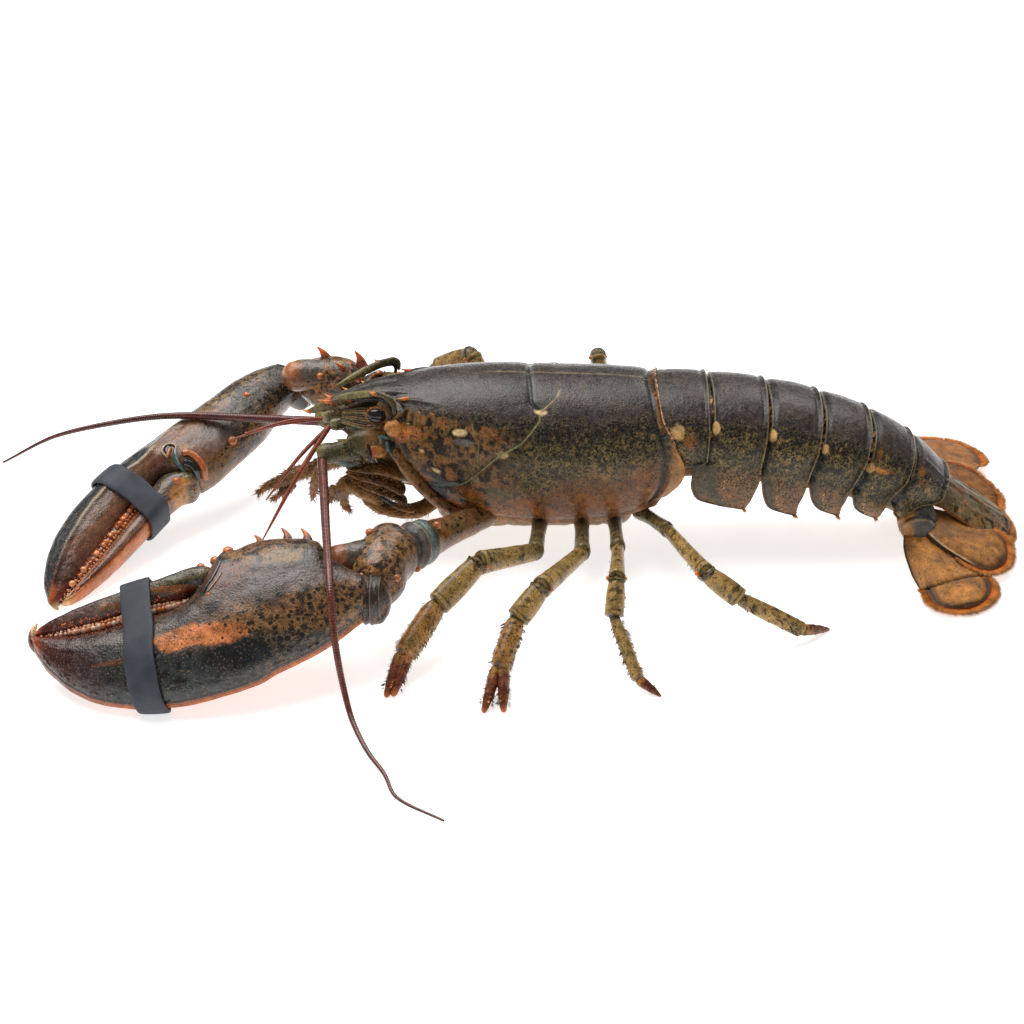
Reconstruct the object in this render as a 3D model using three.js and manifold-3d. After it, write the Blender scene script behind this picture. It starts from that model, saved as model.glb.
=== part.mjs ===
// A raw lobster with banded claws, lying belly down with its claws stretched out in front.
// Millimetres. +X runs from the head to the tail, +Y to the lobster's right side, +Z up.
// The parts are laid out about the point on the floor under the middle of the carapace, and the
// finished group is then moved so that its origin is at the bottom centre of its bounding box.

import * as THREE from "three";
import { mergeVertices } from "three/addons/utils/BufferGeometryUtils.js";
import Module from "manifold-3d";

const wasm = await Module();
wasm.setup();

// Driving dimensions

const bodyGap = 0.6; // free space between neighbouring shell plates
const smallest = 0.12; // detail below this is merged away
const left = -1; // the side at -Y, nearest the viewer
const right = 1;

const shell = {
  // [x, crest height, half width, height of the widest line, height of the lower edge]
  stations: [
    [-46, 56.0, 13.0, 43, 35],
    [-38, 58.9, 18.0, 40, 27],
    [-30, 60.6, 21.5, 38, 19],
    [-20, 62.0, 24.0, 35, 12.5],
    [-4, 62.7, 26.3, 33, 9.2],
    [16, 62.1, 27.0, 32, 8.4],
    [32, 61.6, 26.6, 33, 10],
    [46, 60.4, 25.2, 35, 15],
    [58, 58.8, 23.0, 38, 24],
  ],
  // [degrees from the crest, x] of the front and rear edges
  frontEdge: [[0, -45], [28, -41], [45, -38], [60, -42], [80, -42], [100, -39], [122, -32], [145, -20], [180, -10]],
  rearEdge: [[0, 48], [40, 49.5], [70, 54.5], [92, 57.5], [110, 56], [128, 50], [148, 42], [180, 34]],
  rings: 19,
  sides: 26,
  power: 2.15,
  // [degrees from the crest, x] of the cervical groove, which runs down and forwards
  groove: [[0, 5], [28, 7.5], [58, -2], [82, -12], [104, -28]],
  grooveDepth: 1.1,
  grooveWidth: 2.6,
  rimGroove: 6, // distance of the groove along the rear edge from that edge
};

const rostrum = {
  path: [[-33, 0, 56.6], [-44, 0, 56.2], [-55, 0, 53.2], [-64, 0, 50.6]],
  halfWidth: [[0, 9], [0.35, 5.4], [0.7, 3], [1, 0.5]],
  halfHeight: [[0, 3.2], [0.4, 2.4], [0.75, 1.7], [1, 0.4]],
  spines: [0.52, 0.72, 0.92], // places along the path of the paired side spines
  spineLength: 3.4,
};

const thorax = { from: [-27, 0, 15], to: [44, 0, 15.5], halfWidth: 13.5, halfHeight: 9.2 };

const head = {
  path: [[-22, 0, 34], [-38, 0, 38], [-50, 0, 43.5], [-60, 0, 45]],
  halfWidth: [[0, 14], [0.45, 13], [0.75, 8.5], [1, 3.6]],
  halfHeight: [[0, 17], [0.45, 14.5], [0.75, 7.5], [1, 3.2]],
};

const eye = { place: [-44.6, 12.2, 52.6], radius: 3.5, stalk: [-39, 7, 49.5], stalkRadius: 4.4 };

const abdomen = {
  // [x, z] of the axis at the borders between the plates, and the height of the dome above it
  axis: [[45, 40.4], [64.5, 40.2], [82.5, 38], [99.5, 34.4], [115, 29.4], [129, 22.6], [142.5, 14.4]],
  dome: [19.4, 19.3, 19.2, 19.0, 18.4, 17, 13.5],
  halfWidth: [21.5, 22, 22, 21.5, 20.5, 18.5, 14.5],
  belly: [11, 11, 10.5, 10, 9, 8, 6], // depth of the underside below the axis
  tuck: 0.5, // how far behind the border each plate starts
};

// One row for each plate: where its side flap hangs along the plate (0 front, 1 rear), the flap's
// length, its width at the top, how far the tip lies behind the root, and how blunt the tip is.
const flaps = [
  { at: 0.5, length: 9, width: 11, sweep: 1, blunt: 0.55 },
  { at: 0.36, length: 19.8, width: 25, sweep: 2.5, blunt: 0.62 },
  { at: 0.54, length: 18.6, width: 18, sweep: 3.5, blunt: 0.34 },
  { at: 0.56, length: 16.6, width: 16.5, sweep: 3.5, blunt: 0.3 },
  { at: 0.56, length: 12.4, width: 15, sweep: 2.5, blunt: 0.3 },
  { at: 0.36, length: 9, width: 10, sweep: 2, blunt: 0.34 },
];

const telson = {
  base: [144, 0, 19], tip: [173.8, 0, 0.9],
  halfWidth: [[0, 10.6], [0.35, 11.6], [0.75, 10.4], [1, 8.4]], thick: 1.9,
};

// Tail fan leaves: from the base to the tip, in the order inner, outer, on each side.
const fanLeaves = {
  left: {
    inner: { base: [142, -10, 10.6], tip: [170.5, -30, 0.7], halfWidth: 11.4 },
    outer: { base: [138, -13, 9], tip: [151.5, -54, 0.7], halfWidth: 12.4 },
    base: { from: [139, -8, 13], to: [138.5, -15, 9.6], radius: 5 },
  },
  right: {
    inner: { base: [143, 9, 10.4], tip: [176.5, 20.5, 0.7], halfWidth: 11.4 },
    outer: { base: [141, 12, 9.4], tip: [173.5, 55, 0.8], halfWidth: 12.4 },
    base: { from: [140, 6, 13], to: [140, 14, 9.6], radius: 5 },
  },
};

// Both claws are drawn in their own frame: x from the wrist to the tip, y towards the hinged
// finger, z to the upper face. Outlines are [x, y].
const crusher = {
  wrist: [-46, -82.6, 23.8], tip: [-151.6, -80.8, 14.1], inner: [-0.03, 0.872, 0.488],
  length: 106,
  outer: [[-3, -2], [3, -6.6], [8, -10.4], [14, -14.2], [20, -17.2], [26, -19.9], [32.4, -23.4], [38.6, -25.7], [44.7, -27.3], [51, -28.5], [57, -29.4], [65, -29.6], [76, -28.1], [82.3, -26.4], [88.8, -23], [94, -19.3], [99, -14.3], [102.6, -9.3], [105.2, -4], [106, -0.5]],
  palm: [[-3, 7.5], [3, 11.6], [6.4, 14], [9.6, 16], [14.5, 22.8], [21, 24], [27.5, 24.5], [35.5, 23.3], [40.3, 21.5], [43.5, 21.1], [46, 18.4], [48, 12.5], [50, 8.6], [53, 4.8], [56, 1.6], [59.5, -0.4], [66.6, -1.4], [74.4, -2.8], [84, -4.2], [90.3, -4.4], [96.7, -4.3], [102.7, -2.4], [105, 0.8], [106, 1.6]],
  finger: [[44, 17], [48, 16.6], [54, 17.2], [59.4, 15.8], [64.2, 14.8], [72.2, 13], [78.6, 11.3], [84.9, 9.3], [91.1, 6.6], [97.3, 3.2], [101.9, -0.4], [103.4, -1.8]],
  thick: [[-3, 8.5], [8, 10.5], [24, 13], [42, 13.2], [58, 11.4], [76, 9], [92, 6.4], [102, 3.8], [106, 1.4]],
  underShare: 0.72, // thickness of the lower face as a share of the upper one
  skew: 0.16,
  spines: [[17.5, 23.4], [23.5, 24.2], [32, 23.4]],
  band: 69.5, // place of the middle of the rubber band along the claw
  lean: 0.19, // how far the band slants per millimetre across the claw
};
const cutter = {
  wrist: [-82.2, 47.2, 31.6], tip: [-161.0, -42.8, 6.4], inner: [0.749, -0.504, -0.43],
  length: 123,
  outer: [[-5, -6.5], [0.3, -9.4], [8.2, -11.8], [17.1, -13], [30, -13], [45, -13.2], [57, -13.2], [67, -13], [75, -12.6], [85, -11.4], [93, -10.1], [102.3, -7.8], [109.6, -4.8], [116.7, 0.4], [121.5, 5.4], [123, 8.4]],
  palm: [[-5, 4.5], [2, 6.5], [11, 8.2], [22, 11.2], [30.4, 11.8], [39, 12.4], [47, 13], [52, 12.6], [55.5, 9], [58.5, 3.4], [62, -1.4], [68.2, -3.6], [78.7, -0.4], [86, 1], [93.1, 2.7], [105.1, 5.8], [116.7, 9.2], [121, 10.8], [123, 11]],
  finger: [[52, 13.6], [57, 13.2], [62, 11.2], [70, 10.8], [78.6, 11.2], [86, 12.2], [94.5, 13.2], [104.1, 13.9], [111, 14.1], [117, 13.4], [120.4, 11.8]],
  thick: [[-5, 7], [10, 9], [30, 10.4], [50, 10.6], [66, 9.2], [86, 7.6], [104, 5.6], [117, 3.2], [123, 1.4]],
  underShare: 0.9,
  skew: 0.1,
  spines: [],
  band: 75.5,
  lean: -0.1,
};
const rubberBand = { width: 9.6, thick: 1.3, slack: 0.45 };

const arms = {
  left: {
    shoulder: [-6, -15, 17], elbow: [-31.5, -52, 26.5], armRadius: [4.5, 9.2],
    wristTo: [-45, -75, 24.8], wristRadius: [9, 11.2, 10],
    lobe: [[-44, -62, 29.5], [-58.3, -68.4, 29.5]], lobeRadius: 5,
  },
  right: {
    shoulder: [-20, 15, 26], elbow: [-52, 33, 41], armRadius: [4.5, 7],
    wristTo: [-76, 42.5, 34], wristRadius: [7, 9.5, 9],
    lobe: [[-66, 37, 41.5], [-82, 37, 40]], lobeRadius: 5.4,
  },
};

// Walking legs: hip, end of the short base, knee, end of the shin's first part, where the toe
// starts, and the tip. The first two pairs end in small pincers.
const legs = {
  left: [
    { joints: [[10, -12, 13], [7.6, -43.2, 18.5], [-10.6, -59.6, 25], [-23.7, -72.3, 17.5], [-33.8, -86.1, 8], [-38.1, -98, 0.6]], radii: [3.4, 3.3, 4, 4, 3], pincer: "shut" },
    { joints: [[24, -12, 13], [23, -43.8, 18.5], [9.1, -73.1, 24.5], [1.3, -80.6, 17.5], [-3.7, -93.6, 8.5], [-5.7, -106, 0.6]], radii: [3.3, 3.2, 3.9, 3.8, 2.5], pincer: "open" },
    { joints: [[35, -12, 13], [34.8, -42.3, 19.5], [33.2, -67.6, 24.2], [32.1, -76.8, 16], [39.2, -93.2, 4], [46.2, -97.2, 0.4]], radii: [3, 2.7, 3.4, 2.5, 1.8], pincer: null },
    { joints: [[43, -11, 15], [51.7, -34.5, 21.5], [61.6, -65.3, 25], [72.5, -68.8, 17.4], [93.3, -67.8, 4.6], [103.2, -61.6, 0.4]], radii: [2.8, 2.7, 3.5, 2.8, 2], pincer: null },
  ],
  right: [
    { joints: [[4, 12, 15], [-3, 34, 27], [-14.5, 50, 42.5], [-27, 60, 32], [-35, 68, 16], [-39.1, 78.0, 0.5]], radii: [3.4, 3.3, 4, 4, 3], pincer: "shut" },
    { joints: [[21, 12, 13], [16, 38, 22], [8, 60, 30], [3, 72, 21], [-1, 84, 9], [-4.0, 99.2, 0.4]], radii: [3.3, 3.2, 3.9, 3.8, 2.5], pincer: "shut" },
    { joints: [[35, 12, 15], [33, 33, 28], [31, 48, 43.5], [32, 60, 33], [35, 72, 12], [38.1, 80.8, 0.3]], radii: [3, 2.7, 3.4, 2.5, 1.8], pincer: null },
    { joints: [[43, 11, 14], [51, 33, 20], [61, 57, 26], [69, 66, 17.5], [86, 77, 4.8], [95.2, 83.8, 0.3]], radii: [2.8, 2.7, 3.5, 2.8, 2], pincer: null },
  ],
};

const antennae = {
  left: { stem: [[-42, -11, 42], [-50, -13.2, 39], [-57, -13, 37], [-64.5, -13, 36.6]], whip: [[-64, -12.6, 36.6], [-60.9, -40.8, 39.0], [-58.7, -61.3, 40.5], [-56.3, -82.1, 41.0], [-54.9, -94.0, 38.0], [-53.9, -101.0, 30.0], [-52.7, -105.3, 22.0], [-50.7, -110.1, 12.5], [-48.0, -117.1, 6.5], [-42.7, -128.2, 3.2], [-37.2, -137.5, 2.1], [-34, -146, 1.7], [-19, -157, 1.2]] },
  right: { stem: [[-42, 10, 42], [-51, 12, 40], [-59, 11.5, 38.5], [-67, 10.5, 37.4]], whip: [[-66, 10.6, 37.4], [-91, 14, 36.8], [-116, 18, 35.6], [-141, 20, 31.4], [-160, 20, 26.6], [-181, 18, 16.4]] },
};
const whipRadius = [[0, 1.9], [0.35, 1.55], [0.7, 1.05], [1, 0.45]];

const feelers = {
  left: { root: [-53, -3.4, 46], fork: [-61, -5.4, 44.8], ends: [[-83.5, -32, 15.6], [-82.5, -23, 26]] },
  right: { root: [-54, 3.4, 46], fork: [-63, 5.2, 42.4], ends: [[-94.9, -5.4, 39.4], [-90.4, -6, 42]] },
};

const mouthLimbs = {
  left: [[-30, -9, 15], [-43, -13, 18], [-53, -13, 27], [-61, -12.4, 29], [-67, -12, 20]],
  right: [[-30, 9, 15], [-45, 11, 18], [-57, 9, 26], [-70, 8.5, 19], [-89, 8, 10.5]],
};
const mouthRadius = [[0, 4], [0.3, 4.4], [0.6, 3], [0.85, 2.4], [1, 0.8]];

// Shared shapes

const point = (p) => new THREE.Vector3(p[0], p[1], p[2]);
const mirrored = (p, hand) => [p[0], Math.abs(p[1]) * hand, p[2]];
const radians = THREE.MathUtils.degToRad;

// A smooth curve through [place, value] pairs that never overshoots them: cubic pieces whose
// slope at each pair is the harmonic mean of its neighbours' slopes, and zero at a turning point.
function profile(pairs) {
  const last = pairs.length - 1;
  const rise = pairs.slice(1).map((p, i) => (p[1] - pairs[i][1]) / (p[0] - pairs[i][0]));
  const slopes = pairs.map((_, i) => {
    if (i === 0) return rise[0];
    if (i === last) return rise[last - 1];
    const before = rise[i - 1];
    const after = rise[i];
    return before * after <= 0 ? 0 : (2 * before * after) / (before + after);
  });
  return (x) => {
    if (x <= pairs[0][0]) return pairs[0][1];
    if (x >= pairs[last][0]) return pairs[last][1];
    let i = 0;
    while (x > pairs[i + 1][0]) i += 1;
    const step = pairs[i + 1][0] - pairs[i][0];
    const s = (x - pairs[i][0]) / step;
    const ease = s * s * (3 - 2 * s);
    const start = s * (1 - s) * (1 - s) * step * slopes[i];
    const end = s * s * (s - 1) * step * slopes[i + 1];
    return pairs[i][1] * (1 - ease) + pairs[i + 1][1] * ease + start + end;
  };
}

// A curve through points, by t from 0 to 1 along its chords.
function pathThrough(points) {
  const places = [0];
  points.slice(1).forEach((p, i) => places.push(places[i] + point(p).distanceTo(point(points[i]))));
  const total = places[places.length - 1];
  const axes = [0, 1, 2].map((a) => profile(points.map((p, i) => [places[i] / total, p[a]])));
  return (t) => new THREE.Vector3(axes[0](t), axes[1](t), axes[2](t));
}

// Rounds the ends of a loft: 1 along the middle, falling to 0 over the given shares of its length.
function dome(t, startShare, endShare) {
  const short = t < startShare ? 1 - t / startShare : t > 1 - endShare ? 1 - (1 - t) / endShare : 0;
  return Math.sqrt(Math.max(0, 1 - short * short));
}

// A closed geometry through rings of points, with a pole at each end.
function skin(rings, startPole, endPole) {
  const sides = rings[0].length;
  const positions = [...rings.flat(), startPole, endPole].flatMap((p) => [p.x, p.y, p.z]);
  const start = rings.length * sides;
  const faces = [];
  for (let j = 0; j < sides; j += 1) {
    const k = (j + 1) % sides;
    faces.push(start, k, j);
    faces.push(start + 1, (rings.length - 1) * sides + j, (rings.length - 1) * sides + k);
    for (let i = 0; i + 1 < rings.length; i += 1) {
      const a = i * sides;
      const b = a + sides;
      faces.push(a + j, a + k, b + k, a + j, b + k, b + j);
    }
  }
  return faceOut(positions, faces);
}

// Turns the faces round if they enclose a negative volume.
function faceOut(positions, faces) {
  let volume = 0;
  const at = (i) => new THREE.Vector3().fromArray(positions, i * 3);
  for (let i = 0; i < faces.length; i += 3) volume += at(faces[i]).dot(at(faces[i + 1]).cross(at(faces[i + 2])));
  if (volume < 0) for (let i = 0; i < faces.length; i += 3) [faces[i], faces[i + 1]] = [faces[i + 1], faces[i]];
  const geometry = new THREE.BufferGeometry();
  geometry.setAttribute("position", new THREE.Float32BufferAttribute(positions, 3));
  geometry.setIndex(faces);
  return geometry;
}

// A shape of changing elliptical section along a path. Skew above 0 makes the section thicker
// towards its +side edge; power above 2 makes it boxier.
function loft({ path, side, halfWidth, halfHeight, steps, sides, power = 2, skew = 0, caps = [0.2, 0.2] }) {
  const wide = profile(halfWidth);
  const high = profile(halfHeight);
  const rings = [];
  for (let i = 0; i <= steps; i += 1) {
    const t = (1 - Math.cos((Math.PI * i) / steps)) / 2;
    const scale = dome(t, caps[0], caps[1]);
    if (scale < 0.02) continue;
    const along = path(Math.min(1, t + 0.01)).sub(path(Math.max(0, t - 0.01))).normalize();
    const across = point(side).addScaledVector(along, -along.dot(point(side))).normalize();
    const up = along.clone().cross(across);
    const ring = [];
    for (let j = 0; j < sides; j += 1) {
      const angle = (2 * Math.PI * j) / sides;
      const c = Math.cos(angle);
      const s = Math.sin(angle);
      const w = Math.sign(c) * Math.abs(c) ** (2 / power) * wide(t) * scale;
      const h = Math.sign(s) * Math.abs(s) ** (2 / power) * high(t) * scale * (1 + skew * c);
      ring.push(path(t).addScaledVector(across, w).addScaledVector(up, h));
    }
    rings.push(ring);
  }
  return skin(rings, path(0), path(1));
}

// A limb piece between two points, with its radius at the start, middle and end.
// Both ends run past the points by most of a radius, so that pieces in a row overlap.
function limb(from, to, radii, { flat = 0.85, side = [0, 0, 1], steps = 4, sides = 7, overlap = 0.55 } = {}) {
  const along = point(to).sub(point(from)).normalize();
  const start = point(from).addScaledVector(along, -overlap * radii[0]);
  const end = point(to).addScaledVector(along, overlap * radii[2]);
  const length = start.distanceTo(end);
  const halfWidth = [[0, radii[0]], [0.5, radii[1]], [1, radii[2]]];
  const halfHeight = halfWidth.map(([t, r]) => [t, r * flat]);
  const caps = [radii[0] / length, radii[2] / length].map((share) => Math.min(0.45, share));
  return loft({ path: pathThrough([start.toArray(), end.toArray()]), side, halfWidth, halfHeight, steps, sides, caps });
}

// A pointed spine from a root in a direction.
function spine(root, direction, length, radius) {
  const tip = point(root).addScaledVector(point(direction).normalize(), length);
  const back = point(root).addScaledVector(point(direction).normalize(), -radius);
  const ways = Math.abs(direction[2]) > 0.7 ? [1, 0, 0] : [0, 0, 1];
  return loft({
    path: pathThrough([back.toArray(), tip.toArray()]),
    side: ways,
    halfWidth: [[0, radius], [1, radius * 0.12]],
    halfHeight: [[0, radius], [1, radius * 0.12]],
    steps: 2,
    sides: 5,
    caps: [0, 0.02],
  });
}

// Solids: geometries joined and cut

function solid(geometry) {
  const bare = geometry.clone();
  bare.deleteAttribute("normal");
  bare.deleteAttribute("uv");
  const merged = mergeVertices(bare, 1e-4);
  return new wasm.Manifold(
    new wasm.Mesh({
      numProp: 3,
      vertProperties: merged.attributes.position.array,
      triVerts: new Uint32Array(merged.index.array),
    }),
  );
}

function join(geometries) {
  return geometries.map(solid).reduce((whole, next) => whole.add(next));
}

// The same solid with each vertex moved outwards, as a cutter that leaves a gap.
function grown(body, gap) {
  const geometry = geometryOf(body);
  geometry.computeVertexNormals();
  const place = geometry.attributes.position;
  const normal = geometry.attributes.normal;
  for (let i = 0; i < place.count; i += 1) {
    place.setXYZ(i, place.getX(i) + gap * normal.getX(i), place.getY(i) + gap * normal.getY(i), place.getZ(i) + gap * normal.getZ(i));
  }
  return solid(geometry);
}

function geometryOf(body) {
  const mesh = body.getMesh();
  const positions = new Float32Array(mesh.numVert * 3);
  for (let i = 0; i < mesh.numVert; i += 1) {
    positions.set(mesh.vertProperties.subarray(i * mesh.numProp, i * mesh.numProp + 3), i * 3);
  }
  const geometry = new THREE.BufferGeometry();
  geometry.setAttribute("position", new THREE.BufferAttribute(positions, 3));
  geometry.setIndex(new THREE.BufferAttribute(new Uint32Array(mesh.triVerts), 1));
  return geometry;
}

// A solid cut clear of its neighbours; loose scraps are dropped.
function clearOf(body, ...neighbours) {
  const cut = neighbours.reduce((rest, n) => rest.subtract(grown(n, bodyGap)), body);
  return cut.decompose().sort((a, b) => b.volume() - a.volume())[0];
}

// Head and thorax

function shellPoint(x, angle) {
  const value = (column) => profile(shell.stations.map((s) => [s[0], s[column]]))(x);
  const [crest, half, widest, low] = [1, 2, 3, 4].map(value);
  const turn = Math.abs(angle);
  const fromGroove = Math.abs(x - profile(shell.groove)(turn));
  const fade = turn > 104 ? Math.max(0, 1 - (turn - 104) / 20) : 1;
  const fromRim = Math.abs(x - profile(shell.rearEdge)(turn) + shell.rimGroove);
  const dip = shell.grooveDepth * (fade * Math.exp(-((fromGroove / shell.grooveWidth) ** 2)) + Math.exp(-((fromRim / shell.grooveWidth) ** 2)));
  const c = Math.cos(radians(angle));
  const s = Math.sin(radians(angle));
  const y = Math.sign(s) * Math.abs(s) ** (2 / shell.power) * (half - dip);
  const drop = Math.abs(c) ** (2 / shell.power);
  const z = c > 0 ? widest + drop * (crest - dip - widest) : widest - drop * (widest - low);
  return new THREE.Vector3(x, y, z);
}

function makeCarapace() {
  const front = profile(shell.frontEdge);
  const rear = profile(shell.rearEdge);
  const rings = [];
  for (let i = 0; i <= shell.rings; i += 1) {
    const u = i / shell.rings;
    const ring = [];
    for (let j = 0; j < shell.sides; j += 1) {
      const angle = (360 * j) / shell.sides - 180;
      const turn = Math.abs(angle);
      ring.push(shellPoint(front(turn) + (rear(turn) - front(turn)) * u, angle));
    }
    rings.push(ring);
  }
  const barrel = skin(rings, point([-24, 0, 38]), point([42, 0, 38]));
  const ridge = pathThrough(rostrum.path);
  const beak = loft({
    path: ridge,
    side: [0, 1, 0],
    halfWidth: rostrum.halfWidth,
    halfHeight: rostrum.halfHeight,
    steps: 7,
    sides: 8,
    caps: [0.02, 0.05],
  });
  const spines = [left, right].flatMap((hand) =>
    rostrum.spines.map((t) => {
      const root = ridge(t);
      root.y = hand * profile(rostrum.halfWidth)(t) * 0.8;
      return spine(root.toArray(), [-1, hand * 0.55, 0.35], rostrum.spineLength, 1);
    }),
  );
  return join([barrel, beak, ...spines]);
}

function makeThorax() {
  return solid(
    loft({
      path: pathThrough([thorax.from, thorax.to]),
      side: [0, 1, 0],
      halfWidth: [[0, thorax.halfWidth * 0.8], [0.3, thorax.halfWidth], [0.8, thorax.halfWidth], [1, thorax.halfWidth * 0.8]],
      halfHeight: [[0, thorax.halfHeight], [1, thorax.halfHeight]],
      steps: 7,
      sides: 14,
      power: 2.8,
      caps: [0.12, 0.12],
    }),
  );
}

function makeHead() {
  return solid(
    loft({ path: pathThrough(head.path), side: [0, 1, 0], halfWidth: head.halfWidth, halfHeight: head.halfHeight, steps: 7, sides: 12, caps: [0.02, 0.12] }),
  );
}

function makeEye(hand) {
  const ball = new THREE.SphereGeometry(eye.radius, 10, 7);
  ball.translate(...mirrored(eye.place, hand));
  const stalk = limb(mirrored(eye.stalk, hand), mirrored(eye.place, hand), [eye.stalkRadius, eye.stalkRadius, eye.radius * 0.9], { flat: 0.9 });
  return join([ball, stalk]);
}

function makeAntennaStem(hand) {
  const side = hand === left ? antennae.left : antennae.right;
  const [a, b, c, d] = side.stem;
  const scaleTip = [d[0] - 2, b[1] + hand * 1, b[2] + 5];
  const scale = loft({
    path: pathThrough([[b[0] + 3, b[1], b[2] + 3], scaleTip]),
    side: [0, 1, 0],
    halfWidth: [[0, 3.4], [0.5, 3.8], [1, 0.6]],
    halfHeight: [[0, 1.3], [1, 0.6]],
    steps: 4,
    sides: 6,
    caps: [0.05, 0.1],
  });
  return join([limb(a, b, [5.4, 5, 4.4]), limb(b, c, [4, 4.2, 3.8]), limb(c, d, [3.6, 4, 3]), scale]);
}

function makeWhip(hand) {
  const side = hand === left ? antennae.left : antennae.right;
  return solid(
    loft({ path: pathThrough(side.whip), side: [0.3, 0.1, 1], halfWidth: whipRadius, halfHeight: whipRadius, steps: 20, sides: 6, caps: [0.004, 0.01] }),
  );
}

function makeFeelers(hand) {
  const side = hand === left ? feelers.left : feelers.right;
  const threads = side.ends.map((end) => {
    const middle = point(side.fork).lerp(point(end), 0.5).add(point([-1.5, 0, 2.2])).toArray();
    return loft({
      path: pathThrough([side.fork, middle, end]),
      side: [0, 1, 0.3],
      halfWidth: [[0, 1], [1, 0.35]],
      halfHeight: [[0, 1], [1, 0.35]],
      steps: 5,
      sides: 5,
      caps: [0.02, 0.03],
    });
  });
  return join([limb(side.root, side.fork, [2.6, 2.4, 1.9]), ...threads]);
}

function makeMouthLimb(hand) {
  const path = pathThrough(hand === left ? mouthLimbs.left : mouthLimbs.right);
  return solid(loft({ path, side: [0, 1, 0.2], halfWidth: mouthRadius, halfHeight: mouthRadius.map(([t, r]) => [t, r * 0.75]), steps: 9, sides: 7, caps: [0.05, 0.1] }));
}

// Abdomen and tail fan

function makePlate(k) {
  const [fx, fz] = abdomen.axis[k];
  const [rx, rz] = abdomen.axis[k + 1];
  const length = Math.hypot(rx - fx, rz - fz);
  const ahead = point([(rx - fx) / length, 0, (rz - fz) / length]);
  const up = point([-ahead.z, 0, ahead.x]);
  const stations = [abdomen.tuck, 2.2, length * 0.45, length];
  const swell = [0.95, 0.99, 1.005, 1.0];
  const rings = stations.map((s, i) => {
    const t = Math.min(1, Math.max(0, s / length));
    const between = (row) => (row[k] + (row[k + 1] - row[k]) * t) * swell[i];
    const centre = point([fx, 0, fz]).addScaledVector(ahead, s);
    const ring = [];
    const sides = 18;
    for (let j = 0; j < sides; j += 1) {
      const angle = (2 * Math.PI * j) / sides;
      const c = Math.cos(angle);
      const sn = Math.sin(angle);
      const y = Math.sign(sn) * Math.abs(sn) ** 0.9 * between(abdomen.halfWidth);
      const z = Math.sign(c) * Math.abs(c) ** (c > 0 ? 0.92 : 0.6) * between(c > 0 ? abdomen.dome : abdomen.belly);
      ring.push(centre.clone().addScaledVector(up, z).add(point([0, y, 0])));
    }
    return ring;
  });
  const poles = [stations[0], length].map((s) => point([fx, 0, fz]).addScaledVector(ahead, s));
  const pieces = [skin(rings, poles[0], poles[1])];
  const flap = flaps[k];
  const half = abdomen.halfWidth[k];
  [left, right].forEach((hand) => {
    const root = point([fx, 0, fz]).addScaledVector(ahead, length * flap.at).addScaledVector(up, 4);
    const foot = root.clone().addScaledVector(up, -flap.length - 4).addScaledVector(ahead, flap.sweep);
    const bow = root.clone().lerp(foot, 0.45);
    const path = pathThrough([
      [root.x, hand * (half - 1.6), root.z],
      [bow.x, hand * (half + 0.2), bow.z],
      [foot.x, hand * (half - 4.2), foot.z],
    ]);
    pieces.push(
      loft({
        path,
        side: ahead.toArray(),
        halfWidth: [[0, flap.width / 2], [0.55, flap.width * 0.5], [0.85, flap.width * (0.25 + flap.blunt * 0.25)], [1, flap.width * flap.blunt * 0.5]],
        halfHeight: [[0, 1.5], [1, 0.9]],
        steps: 4,
        sides: 7,
        power: 2.4,
        caps: [0.02, 0.12],
      }),
    );
  });
  return join(pieces);
}

function leaf(base, tip, halfWidth, thick, side = [0, 0, 1]) {
  const along = point(tip).sub(point(base)).normalize();
  const across = along.clone().cross(point(side)).normalize();
  return loft({ path: pathThrough([base, tip]), side: across.toArray(), halfWidth, halfHeight: [[0, thick], [1, thick * 0.6]], steps: 7, sides: 10, power: 2.3, caps: [0.04, 0.3] });
}

function makeTelson() {
  return solid(leaf(telson.base, telson.tip, telson.halfWidth, telson.thick));
}

function makeFanLeaf({ base, tip, halfWidth }) {
  return solid(leaf(base, tip, [[0, halfWidth * 0.42], [0.3, halfWidth * 0.82], [0.62, halfWidth], [0.85, halfWidth * 0.92], [1, halfWidth * 0.8]], 1.3));
}

// Claws

function clawFrame({ wrist, tip, inner }) {
  const along = point(tip).sub(point(wrist)).normalize();
  const across = point(inner).addScaledVector(along, -along.dot(point(inner))).normalize();
  const up = along.clone().cross(across);
  if (up.z < 0) up.negate();
  return new THREE.Matrix4().makeBasis(along, across, up).setPosition(...wrist);
}

// A flat body between two outlines in the claw's frame.
function clawBody(claw, { lower, upper, from, to, thickShare, steps, sides, caps, skew }) {
  const low = profile(lower);
  const high = profile(upper);
  const thick = profile(claw.thick);
  const rings = [];
  for (let i = 0; i <= steps; i += 1) {
    const t = (1 - Math.cos((Math.PI * i) / steps)) / 2;
    const x = from + (to - from) * t;
    const scale = dome(t, caps[0], caps[1]);
    if (scale < 0.05) continue;
    const middle = (low(x) + high(x)) / 2;
    const half = ((high(x) - low(x)) / 2) * Math.max(scale, 0.2);
    const ring = [];
    for (let j = 0; j < sides; j += 1) {
      const angle = (2 * Math.PI * j) / sides;
      const c = Math.cos(angle);
      const s = Math.sin(angle);
      const y = middle + half * Math.sign(c) * Math.abs(c) ** 0.88;
      const face = s < 0 ? -claw.underShare : 1;
      const z = face * thick(x) * thickShare * scale * Math.abs(s) ** 0.92 * (1 + skew * c);
      ring.push(new THREE.Vector3(x, y, z));
    }
    rings.push(ring);
  }
  const pole = (x) => new THREE.Vector3(x, (low(x) + high(x)) / 2, 0);
  return skin(rings, pole(from), pole(to));
}

function placed(geometry, matrix) {
  const moved = geometry.clone().applyMatrix4(matrix);
  return faceOut([...moved.attributes.position.array], [...moved.index.array]);
}

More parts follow.
